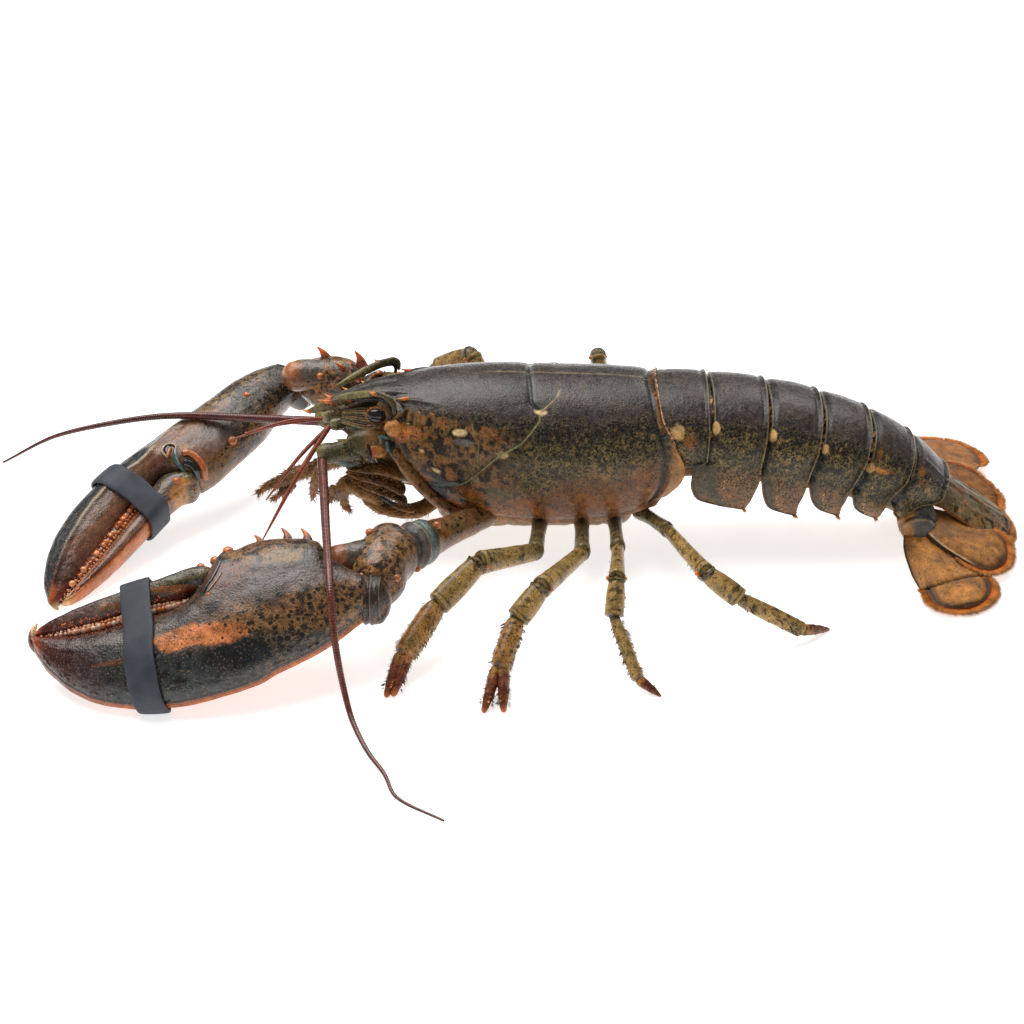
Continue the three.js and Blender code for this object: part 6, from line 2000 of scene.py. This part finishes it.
def legPiece(start, end, radii, base, cuff=0.0, dashes=0.8, flat=0.85, steps=64, sides=36, overlap=0.4):
    # A limb whose far end flares into a cuff: bells of height along t make its rim and the waist behind.
    start, end = np.array(start, float), np.array(end, float)
    skin = limb(start, end, radii, flat, steps=steps, sides=sides, overlap=overlap)
    grid, t, a = skin["grid"], skin["t"], skin["angle"]
    wobble, slow = lumps(grid, 1.5, 2) + 0.5 * lumps(grid, 0.7, 5), lumps(grid, 5.0, 7)
    rim = 1 - 0.55 * radii[-1] / np.linalg.norm(end - start)
    height = (
        0.08 * slow + 0.05 * wobble + cuff * (0.4 * bell(t - rim, 0.03) - 0.4 * bell(t - rim - 0.075, 0.035))
    )
    height += 0.12 * bell(np.abs(np.cos(a)) - 1, 0.1)
    paint = over(
        coat(base, t),
        (ramp(slow + 0.5 * wobble, 0.0, 0.7), "legOlive", 0.45),
        (ramp(wobble - slow, 0.1, 0.7), "legSand", 0.5),
        (
            bell(np.abs(np.sin(a)) - 0.15, 0.22) * (np.cos(a) > 0) * (
                0.4 + 0.6 * np.abs(np.sin(t * 9 + slow * 3))
            ),
            "soot",
            0.5,
        ),
        (ramp(lumps(grid * [1, 1, 0.6], 1.3, 3) + 0.3 * lumps(grid, 0.6, 5), 0.4, 0.52), "soot", dashes),
        (fall(t, 0.04, 0.16), "oliveDark", 0.7),
        ((bell(t - 0.09, 0.012) + bell(t - 0.13, 0.01)) * cuff, "soot", 0.7),
        (bell(t - rim, 0.03), "legSand", 0.5 * cuff),
        (
            bell(t - rim + 0.05, 0.014) + bell(t - rim - 0.02, 0.01) + ramp(t, rim + 0.03, rim + 0.06),
            "soot",
            0.85 * cuff,
        ),
    )
    return closed(raised(skin, height), paint)


def legToe(start, end, radii, flat=0.85):
    # A reddish toe: a limb that turns from olive to russet to a pale horny tip.
    skin = limb(np.array(start, float), np.array(end, float), radii, flat, steps=50, sides=30, overlap=0.35)
    grid, t = skin["grid"], skin["t"]
    wobble = lumps(grid, 1.2, 2)
    paint = over(
        coat("legOchre", t),
        (ramp(t + 0.15 * wobble, 0.1, 0.35), "russet"),
        (ramp(wobble, 0.0, 0.4), "wine", 0.85),
        (bell(np.sin(skin["angle"] * 2 + 0.8), 0.2) * ramp(t, 0.1, 0.3), "hairBrown", 0.6),
        (ramp(t, 0.86, 0.96), "rimOrange", 0.8),
    )
    return closed(raised(skin, 0.1 * wobble + 0.15 * bell(np.sin(skin["angle"] * 2), 0.3)), paint)


def legHairs(start, end, radius, count, length, low=0.1, high=0.98):
    # Short stiff hairs in two rows along a piece, leaning towards its far end.
    start, end = np.array(start, float), np.array(end, float)
    along = unit(end - start)
    across = unit(np.cross(along, [0, 0, 1.0]))
    up = np.cross(across, along)
    share = draw.uniform(low, high, (count, 1))
    turn = np.where(draw.uniform(0, 1, (count, 1)) < 0.5, 0, np.pi) + draw.normal(0, 0.5, (count, 1))
    out = across * np.cos(turn) + up * np.sin(turn)
    roots = start + (end - start) * share + out * radius * 0.85
    ways = out + along * draw.uniform(0.5, 1.1, (count, 1))
    roots[:, 2] = np.maximum(roots[:, 2], 0.5)
    ways = unit(ways)
    lengths = length * draw.uniform(0.6, 1.2, count)
    ways[:, 2] = np.maximum(ways[:, 2], -(roots[:, 2] - 0.2) / lengths)
    return hairs(roots, ways, lengths, 0.17, pigments["wine"])


def makeLeg(row):
    # Hip piece, thigh, shin and foot from joint to joint, then one toe or the two of a small pincer.
    hip, base, knee, ankle, toe, tip = (np.array(joint, float) for joint in row["joints"])
    r, ground = row["radii"], row["base"]
    middle = base + (knee - base) * 0.5
    upper = [
        legPiece(hip, base, [r[0] * 1.15, r[0] * 0.85, r[0]], "legOlive", 0.6),
        legPiece(base, knee, [r[1] * 0.85, r[1] * 0.95, r[1] * 1.05, r[2] * 0.95], "legSand", 1.0, steps=90),
        cord([knee + [0, 0, r[2] * 0.2], knee + (ankle - knee) * 0.08], r[2] * 0.84, "oliveDark", 20, 24),
        legHairs(middle, knee, r[2] * 0.9, 8, 0.9),
    ]
    out = unit(np.cross(knee - base, [0, 0, 1.0])) * np.sign(-knee[1])
    for hand, radius in ((1, 0.75), (-1, 0.6)):
        upper.append(
            beads([knee + out * hand * r[2] * 0.82 - unit(knee - base) * 0.6], [radius], pigments["amber"])
        )
    lower = [
        legPiece(knee, ankle, [r[2] * 0.72, r[2] * 0.98, r[2] * 1.06, r[2] * 0.95], "legSand", 1.0, steps=70),
        legPiece(ankle, toe, [r[3] * 0.74, r[3] * 0.95, r[3] * 0.98, r[3] * 0.9], ground, 0.5, steps=90),
        legHairs(knee, ankle, r[2], 14, 0.9, 0.4),
        legHairs(ankle, toe, r[3] * 0.95, 110, 1.5),
    ]
    apart = unit(np.cross(tip - toe, [0, 0, 1.0]))
    along = unit(tip - toe)
    end = r[4]
    if row["pincer"]:
        gap, thin = (3.3, 0.7) if row["pincer"] == "open" else (1.1, 0.62)
        for hand in (1, -1):
            reach = 0.0 if hand == 1 else 0.8
            root = toe + apart * hand * (0.9 if row["pincer"] == "open" else 0.85) * end / 2.5
            bowed = tip + apart * hand * gap * 0.92 - along * reach
            lower.append(
                legToe(root, bowed, [end * thin * 1.15, end * thin * 1.1, end * thin * 0.9, end * 0.28], 0.9)
            )
            lower.append(legHairs(root, bowed, end * thin, 70, 1.4, 0.0, 0.85))
            knots = (
                root + (bowed - root) * np.linspace(0.2, 0.85, 7)[:, None] - apart * hand * end * thin * 0.5
                + [0, 0, end * thin * 0.75]
            )
            lower.append(beads(knots, draw.uniform(0.2, 0.34, 7), pigments["amberPale"]))
    else:
        lower.append(legToe(toe, tip, [end * 1.0, end * 0.95, end * 0.7, end * 0.2]))
        lower.append(legHairs(toe, tip, end * 0.8, 24, 0.8, 0.0, 0.7))
    return upper, lower


for side in legs:
    for i, row in enumerate(legs[side]):
        upper, lower = makeLeg(row)
        build(f"leg{side.title()}{i + 1}Upper", [f"leg_{side}_{i + 1}_upper"], legFinish, upper)
        build(f"leg{side.title()}{i + 1}Lower", [f"leg_{side}_{i + 1}_lower"], legFinish, lower)


# Head, eyes and mouth

head = {
    "path": [[-22, 0, 34], [-38, 0, 38], [-50, 0, 43.5], [-60, 0, 45]],
    "wide": [[0, 14], [0.45, 13], [0.75, 8.5], [1, 3.6]],
    "high": [[0, 17], [0.45, 14.5], [0.75, 7.5], [1, 3.2]],
    "eye": (-45, 12.6, 52.6), "eyeSize": (3.3, 2.2, 2.7),
    "stalk": [(-38.6, 6, 50), (-40.8, 9, 52.6), (-44, 11.2, 52.6)],
    # how much further ahead and inwards the far antenna's base is
    "farBaseShift": (2.5, 2.2),
    # [path, radius along it, flatness, pigment, tip pigment]: the antenna's base and its blades
    "baseParts": [
        ([[-42, 11, 42], [-50, 13.6, 42.4], [-55, 14, 41]], [6.4, 5.4, 4], 0.75, "cheekBrown", "headOlive"),
        (
            [[-50, 13.4, 40.5], [-57, 13.4, 39.4], [-61.4, 13, 38.2]], [4.2, 3.9, 3.3], 0.95, "oliveDark",
            "headOlive",
        ),
        (
            [[-58.6, 13, 38.6], [-62.4, 13, 38.4], [-64.8, 12.8, 37.2]], [3.2, 3.7, 2.6], 0.95, "headOlive",
            "headPale",
        ),
        (
            [[-46, 15, 44.2], [-52, 15.4, 44.2], [-59, 14.6, 44.6]], [[0, 2.2], [0.4, 1.7], [1, 0.3]], 0.4,
            "headOlive", "headPale",
        ),
        (
            [[-45, 16.4, 41.6], [-51, 16.6, 41.2], [-57, 16, 41]], [2.2, 1.5, 0.3], 0.45, "oliveDark",
            "headPale",
        ),
        ([[-50.5, 13.4, 37], [-55, 13.6, 35.8], [-59, 13, 36.2]], [2.6, 2.5, 1.9], 0.8, "slateSpeck", "teal"),
    ],
    "scale": (
        [[-50, 9.6, 44.5], [-60, 10.6, 44], [-68, 11.6, 41.4], [-71.6, 12, 40.6]],
        [[0, 3.4], [0.5, 3.4], [0.8, 1.8], [1, 0.3]],
    ),
}


def tinted(path, radius, flat, base, tip, steps=50, sides=30, side=(0, 0, 1), bumps=0.1, split=0.55):
    # A lumpy cord, flattened square to its side direction, turning from one pigment to another.
    skin = sweep(path, side, radius, scaledBy(radius, flat), steps, sides, caps=(0.1, 0.12))
    grid, t = skin["grid"], skin["t"]
    wobble = lumps(grid, 1.6, 2) + 0.5 * lumps(grid, 0.8, 4)
    paint = over(
        coat(base, t),
        (ramp(t + 0.1 * wobble, split - 0.15, split + 0.15), tip),
        (ramp(wobble, 0.4, 0.9), "soot", 0.45),
    )
    return closed(raised(skin, bumps * wobble), paint)


def flipped(path, hand):
    # The path with y times the hand, for the near or the far side.
    return [[x, y * hand, z] for x, y, z in path]


def makeHead():
    # A tapering sweep under the beak, folded along its length by a sine of the section's angle.
    skin = sweep(head["path"], (0, 1, 0), head["wide"], head["high"], 120, 110, caps=(0.2, 0.2))
    grid, t, a = skin["grid"], skin["t"], skin["angle"]
    wobble, slow = lumps(grid, 1.3, 2) + 0.5 * lumps(grid, 0.6, 4), lumps(grid, 4.0, 6)
    folds = np.sin(a * 9 + 5 * t + 1.5 * slow)
    paint = over(
        coat("olive", t),
        (ramp(slow, -0.1, 0.4), "hairBrownDull", 0.8),
        (bell(folds, 0.3), "soot", 0.6),
        (ramp(wobble, 0.3, 0.8), "amberDull", 0.5),
    )
    return closed(raised(skin, 0.45 * folds * ramp(t, 0.1, 0.4) + 0.2 * wobble + 0.3 * slow), paint)


def headTrim(hand):
    # The socket's rim, the furrows in front of the eye, teal folds of skin and small spines.
    y = hand
    shapes = [
        tinted(
            [[-40.5, 14.6 * y, 50.4], [-41, 12.6 * y, 47.4], [-45, 11.8 * y, 46.2], [-49, 10.8 * y, 47.4]],
            [1.6, 1.9, 1.4], 0.8, "amberDull", "hairBrownDull",
        ),
        tinted(
            [
                [-60, 4.0 * y, 54.6], [-54, 6.6 * y, 56.8], [-48.5, 9.2 * y, 58.9], [-44, 11.2 * y, 60.0],
                [-41, 13.4 * y, 59.8], [-39, 15.2 * y, 57.6], [-38.9, 16.2 * y, 54.4],
            ],
            [[0, 0.5], [0.3, 1.3], [0.7, 1.2], [1, 0.9]],
            0.9,
            "headPale",
            "headOlive",
            90,
            24,
            bumps=0.05,
        ),
        cord(
            [
                [-54, 7.0 * y, 55.6], [-48.5, 9.8 * y, 57.4], [-44, 12.0 * y, 58.4], [-41.2, 14.2 * y, 57.8],
                [-40.0, 15.8 * y, 55.4], [-40.4, 16.4 * y, 52.4],
            ],
            0.6,
            "soot",
            80,
        ),
        tinted(
            [[-37.2, 16.0 * y, 51.2], [-39.4, 17.0 * y, 50.2], [-41.4, 17.0 * y, 48.6]], [2.2, 3.0, 2.0], 0.9,
            "cheekOrange", "cheekBrown", 50, 40, split=0.8,
        ),
        cord(
            [[-40.8, 17.2 * y, 46.6], [-43.4, 15.4 * y, 46.2], [-47, 13.8 * y, 45.4], [-50, 12.8 * y, 45.2]],
            0.55, "skinTeal",
        ),
        cord([[-41.6, 17.4 * y, 45.6], [-41.4, 17.6 * y, 43.6], [-41.0, 17.2 * y, 41.6]], 0.6, "skinTeal"),
        cord([[-44.5, 15.6 * y, 46.6], [-43.6, 16.0 * y, 45.2], [-43.8, 16.0 * y, 43.8]], 0.4, "tealPale"),
        thorn((-49.6, 16.4 * y, 42.6), (-1, 0.2 * y, 0.35), 2.2, 0.7, "amber", "amberPale"),
        cord([[-54.4, 14.0 * y, 44.4], [-53.4, 16.9 * y, 41.6], [-54.0, 15.6 * y, 37.6]], 0.5, "soot"),
        cord([[-48.2, 16.2 * y, 44.6], [-47.2, 18.2 * y, 41.0], [-48.2, 16.6 * y, 36.8]], 0.5, "soot"),
        tinted(
            [[-48.6, 15.8 * y, 42.2], [-45.6, 16.6 * y, 41.4], [-42.4, 16.6 * y, 40.4]], [1.2, 2.2, 1.4], 0.8,
            "rust", "cheekOrange", 50, 30,
        ),
        thorn((-45.5, 11.4 * y, 60.2), (-1, 0.2 * y, 0.5), 2.0, 0.8, "rust", "amberPale"),
    ]
    for k in range(9):
        rise = k * 0.8
        path = [
            [-45.5 + 0.3 * k, (11.2 - 0.5 * k) * y, 45.6 + rise],
            [-52, (9.2 - 0.7 * k) * y, 46.4 + rise * 0.6], [-57.5, (7.0 - 0.5 * k) * y, 47.0 + rise * 0.35],
        ]
        shapes.append(cord(path, 0.42, ("headPale", "mouthGold", "headOlive")[k % 3], 30, 10))
    if hand == near:
        return shapes
    shapes.append(
        tinted(flipped(head["scale"][0], hand), head["scale"][1], 0.5, "headOlive", "headPale", bumps=0.06)
    )
    tip = np.array(head["scale"][0][-1]) * [1, hand, 1]
    shapes.append(thorn(tip + [1.4, 0, 0], (-1, 0.15 * hand, 0.12), 2.6, 0.8, "amber", "amberPale"))
    return shapes


def headHairs(count=520):
    # Short dark and rusty hairs between the eyes and along the base of the feelers.
    hand = np.where(draw.uniform(0, 1, count) < 0.6, near, far)
    x = draw.uniform(-62, -46, count)
    roots = np.stack(
        [x, hand * draw.uniform(2, 10, count) * (1 - (x + 46) / -30), 44.5 + draw.uniform(0, 5, count)], -1,
    )
    ways = np.stack([-draw.uniform(0.4, 1, count), hand * 0.5, draw.uniform(-0.2, 0.6, count)], -1)
    return hairs(
        roots, ways, draw.uniform(0.8, 2.4, count), 0.12, pigments["mouthDark"], pigments["bristleGold"],
    )


build("headMain", ["head"], headFinish, [makeHead(), *headTrim(near), *headTrim(far), headHairs()])


def makeEye(hand):
    # A ball with its poles along y, scaled by its three sizes.
    down = (1 - np.cos(np.pi * np.linspace(0.02, 0.98, 50))) / 2 * np.pi
    turn = np.linspace(0, 2 * np.pi, 64, endpoint=False)
    unitBall = np.stack(
        [
            np.sin(down)[:, None] * np.cos(turn), np.cos(down)[:, None] + 0 * turn,
            np.sin(down)[:, None] * np.sin(turn),
        ],
        -1,
    )
    poles = np.array([[0, 1.0, 0], [0, -1.0, 0]])
    centre = np.array(head["eye"]) * [1, hand, 1]
    size = np.array(head["eyeSize"])
    return closed({"grid": unitBall * size + centre, "poles": poles * size + centre}, pigments["soot"])


def eyeStalk(hand):
    # The bulb behind the eye with its ring round the cornea, and dark ticks of hair above.
    stalk = tinted(
        flipped(head["stalk"], hand), [[0, 3.6], [0.5, 4.2], [0.8, 4.2], [1, 3.4]], 0.95, "headPale",
        "cheekBrown", 60, 50, split=0.72, bumps=0.06,
    )
    angle = np.linspace(0, 2 * np.pi, 60)
    centre, size = np.array(head["eye"]) * [1, hand, 1], np.array(head["eyeSize"])
    ring = centre + np.stack(
        [np.cos(angle) * size[0] * 1.02, 0 * angle - hand * 0.5, np.sin(angle) * size[2] * 1.02], -1,
    )
    count = 34
    pick = draw.uniform(0.15, 0.95, count) * np.pi
    roots = centre + np.stack(
        [np.cos(pick) * size[0] * 1.1, 0 * pick - hand * 0.6, np.sin(pick) * size[2] * 1.2], -1,
    )
    ways = np.stack([np.cos(pick) * 0.3, 0 * pick + hand * 0.7, np.sin(pick)], -1)
    return [
        stalk, cord(ring, 0.62, "amberDull", 90, 12, (0, 1, 0)),
        hairs(roots, ways, 1.1, 0.14, pigments["soot"]),
    ]


def eyeFinish():
    # Black and glossy with a slow brown cloud.
    finish, add, join = newFinish("eyeBlack", {"Roughness": 0.1, "Coat Weight": 0.1})
    place = add("TexCoord", {}).outputs["Object"]
    cloud = add("TexNoise", {"Vector": place, "Scale": 500.0}).outputs["Fac"]
    tone = add(
        "Mix", {0: cloud, 6: (0.003, 0.003, 0.004, 1), 7: (0.016, 0.011, 0.01, 1)}, data_type="RGBA",
    ).outputs[2]
    join("Base Color", tone)
    return finish


corneaFinish = eyeFinish()
for side, hand in (("Left", near), ("Right", far)):
    build(f"eyeBall{side}", [f"eye_{side.lower()}"], corneaFinish, [makeEye(hand)])
    build(f"eyeStalk{side}", [f"eye_{side.lower()}"], headFinish, eyeStalk(hand))
    ahead, inwards = head["farBaseShift"] if hand == far else (0, 0)
    parts = []
    for path, radius, flat, base, tip in head["baseParts"]:
        moved = [[x - ahead, y - inwards, z] for x, y, z in path]
        parts.append(tinted(flipped(moved, hand), radius, flat, base, tip))
    build(f"antennaBase{side}", [f"antenna_base_{side.lower()}"], headFinish, parts)


# Feelers and mouth limbs

whips = {
    "left": [
        [-64, -12.6, 36.6], [-60.9, -40.8, 39], [-58.7, -61.3, 40.5], [-56.3, -82.1, 41], [-54.9, -94, 38],
        [-53.9, -101, 30], [-52.7, -105.3, 22], [-50.7, -110.1, 12.5], [-48, -117.1, 6.5],
        [-42.7, -128.2, 3.2], [-37.2, -137.5, 2.1], [-34, -146, 1.7], [-19, -157, 1.2],
    ],
    "right": [
        [-66, 10.6, 37.4], [-91, 14, 36.8], [-116, 18, 35.6], [-141, 20, 31.4], [-160, 20, 26.6],
        [-181, 18, 16.4],
    ],
    "radius": [[0, 1.7], [0.35, 1.36], [0.7, 0.95], [1, 0.4]], "pitch": 0.85, "steps": 900, "sides": 12,
}
feelers = {
    "left": {
        "root": [-52, -3.4, 46], "fork": [-61.5, -5.4, 44.8], "ends": [[-83.5, -32, 15.6], [-82.5, -23, 26]],
        "radii": [1.05, 0.9],
    },
    "right": {
        "root": [-54, 3.4, 46], "fork": [-65, 5.2, 41.6], "ends": [[-94.9, -5.4, 39.4], [-90.4, -6, 42]],
        "radii": [0.9, 0.7],
    },
}
mouth = {
    # [path, radius along it, flatness, pigment, tip pigment, hairs]
    "left": [
        (
            [[-22, -5, 20], [-33, -12.4, 15.4], [-44, -14.2, 17.6], [-52, -13.4, 22.6]],
            [[0, 4], [0.4, 3.4], [0.8, 3], [1, 1.8]], 0.6, "cheekBrown", "mouthGold", 110,
        ),
        (
            [[-44, -13.2, 19], [-50, -13, 23.4], [-56.4, -12.6, 27]], [3, 3.4, 2.6], 0.8, "mouthGold",
            "cheekBrown", 220,
        ),
        (
            [[-54.8, -12.6, 27.6], [-57.4, -12, 24], [-58.2, -11.6, 19.6]], [3, 3.4, 2], 0.8, "cheekBrown",
            "mouthDark", 160,
        ),
        (
            [[-58, -11.4, 21.6], [-57.4, -11.2, 17.6], [-55.2, -11.2, 14]], [[0, 1.9], [0.6, 1.7], [1, 0.5]],
            0.8, "cheekBrown", "hairBrown", 80,
        ),
        (
            [[-60.6, -10.2, 23.4], [-62, -10.2, 20.6], [-62.4, -10.6, 17.4]], [[0, 2], [0.6, 1.8], [1, 0.8]],
            0.8, "mouthGold", "cheekBrown", 80,
        ),
        (
            [[-64, -7, 30.6], [-67.4, -6.6, 23.6], [-69, -6, 15.2]], [2, 2.2, 0.6], 0.8, "mouthGold",
            "hairBrown", 120,
        ),
        (
            [[-36, -13.4, 30.4], [-46, -14, 33], [-56, -13, 33]], [3.4, 2.6, 1.4], 0.5, "mouthGold",
            "mouthDark", 300,
        ),
        (
            [[-36, -14.8, 24.6], [-45, -14.6, 29], [-56, -12.6, 30.6]], [3.2, 2.6, 1.4], 0.45, "mouthDark",
            "mouthGold", 300,
        ),
        (
            [[-35.4, -14.8, 20.2], [-43, -15.2, 24.6], [-53, -13.6, 27.4]], [2, 2.2, 1.4], 0.45, "mouthDark",
            "cheekBrown", 240,
        ),
        (
            [[-33, -15.6, 17.6], [-38, -16.4, 19], [-45, -16, 23.4]], [1.4, 1.3, 0.5], 0.5, "mouthGold",
            "skinTeal", 60,
        ),
    ],
    "right": [
        ([[-30, 9, 15], [-45, 11, 18], [-57, 9.6, 24]], [4, 4, 3.2], 0.7, "cheekBrown", "mouthGold", 110),
        (
            [[-56, 9.4, 24.4], [-64, 9, 22.4], [-71.4, 8.8, 18.6]], [3.2, 3.6, 2.8], 0.75, "mouthGold",
            "mouthDark", 300,
        ),
        (
            [[-69.6, 8.6, 19.4], [-78, 8.2, 16.6], [-84, 8, 12.4]], [2.8, 3.2, 1.6], 0.75, "mouthGold",
            "mouthDark", 240,
        ),
        (
            [[-80, 8.4, 15.4], [-86, 8.2, 12.8], [-90, 7.8, 9.4]], [2, 1.7, 0.6], 0.8, "mouthDark",
            "hairBrown", 130,
        ),
        (
            [[-76, 7.4, 14.4], [-81, 6.6, 11], [-84.6, 6, 8]], [1.8, 1.5, 0.6], 0.8, "mouthDark", "hairBrown",
            130,
        ),
    ],
}


def makeWhip(side):
    # A tapering cord with a narrow groove at every ring.
    across = (0, 0, 1) if side == "right" else (1, 0, 0)
    radius, steps, sides = whips["radius"], whips["steps"], whips["sides"]
    skin = sweep(whips[side], across, radius, radius, steps, sides, caps=(0.004, 0.004), even=True)
    grid, t = skin["grid"], skin["t"]
    place = np.r_[0, np.cumsum(np.linalg.norm(np.diff(grid.mean(1), axis=0), axis=1))][:, None] + 0 * t
    ring = bell(np.mod(place, whips["pitch"]) - whips["pitch"] / 2, 0.2)
    paint = over(
        coat("antennaRed", t),
        (ring, "wineDark", 0.85),
        (ramp(np.sin(skin["angle"]), 0.3, 0.9), "russet", 0.3),
    )
    skin["grid"] = grid - outward(grid) * (0.13 * ring * (1 - 0.7 * t))[..., None]
    return [closed(skin, paint)]


def makeFeelers(side):
    # A two-part stem and two thin ringed cords that bow from its fork to their ends.
    row = feelers[side]
    root, fork = np.array(row["root"], float), np.array(row["fork"], float)
    middle = (root + fork) / 2
    shapes = [
        tinted([root, middle], [2.6, 2.7, 2.2], 0.9, "olive", "legOlive"),
        tinted([middle, fork], [2.2, 2.3, 1.7], 0.9, "legOlive", "olivePale"),
    ]
    for end, radius in zip(row["ends"], row["radii"]):
        end = np.array(end, float)
        bow = fork + (end - fork) * 0.45 + [0, 0, 1.6]
        thin = [radius, radius * 0.8, 0.3]
        skin = sweep([fork, bow, end], (0, 1, 0.2), thin, thin, 260, 10, caps=(0.01, 0.01), even=True)
        place = skin["t"] * np.linalg.norm(end - fork)
        ring = bell(np.mod(place, 0.7) - 0.35, 0.16)
        paint = lay(coat("feelerRed", place), ring, "wineRed", 0.7)
        skin["grid"] = skin["grid"] - outward(skin["grid"]) * (0.07 * ring)[..., None]
        shapes.append(closed(skin, paint))
    return shapes


def limbHairs(path, radius, count, length=2.1):
    # Bristles standing off a limb all round, most of them below and in front.
    if not count:
        return []
    t = draw.uniform(0.08, 0.98, count)
    centres = curve(path, t)
    along = unit(curve(path, np.minimum(t + 0.02, 1)) - curve(path, np.maximum(t - 0.02, 0)))
    out = unit(np.cross(along, draw.normal(0, 1, (count, 3)) + [0, 0, 0.001]))
    roots = centres + out * (spread(radius, t) * 0.7)[:, None]
    ways = out + along * 0.9 - [0, 0, 0.25]
    return [
        hairs(
            roots, ways, draw.uniform(0.5, 1.3, count) * length, 0.15, pigments["mouthDark"],
            pigments["bristleGold"],
        )
    ]


for side in ("left", "right"):
    title = side.title()
    build(f"antennaWhip{title}", [f"antenna_{side}"], whipFinish, makeWhip(side))
    build(f"feelers{title}", [f"antennules_{side}"], whipFinish, makeFeelers(side))
    shapes = []
    for path, radius, flat, base, tip, count in mouth[side]:
        shapes.append(tinted(path, radius, flat, base, tip, 60, 36, (0, 1, 0.2), 0.16))
        shapes += limbHairs(path, radius, count)
    build(f"mouthLimb{title}", [f"maxilliped_{side}"], headFinish, shapes)


# Underside

thorax = {"path": [[-27, 0, 15], [44, 0, 15.5]], "wide": 13.5, "high": 9.2, "power": 2.8}


def makeThorax():
    # A boxy sweep under the carapace with a shallow groove along the middle and folds between the legs.
    skin = sweep(
        thorax["path"], (0, 1, 0), thorax["wide"], thorax["high"], 130, 90, thorax["power"],
        caps=(0.12, 0.12),
    )
    grid = skin["grid"]
    under = grid[..., 2] < thorax["path"][0][2]
    folds = bell(np.mod(grid[..., 0] - 4, 11) - 5.5, 1.2)
    height = -0.5 * folds * under - 0.6 * bell(grid[..., 1], 1.6) * under + 0.15 * lumps(grid, 2.0)
    paint = lay(coat("belly", grid[..., 0]), folds, "umber", 0.7)
    return [closed(raised(skin, height), lay(paint, ramp(lumps(grid, 3.0), 0.1, 0.7), "tan", 0.4))]


build("thoraxMain", ["thorax"], tailFinish, makeThorax())
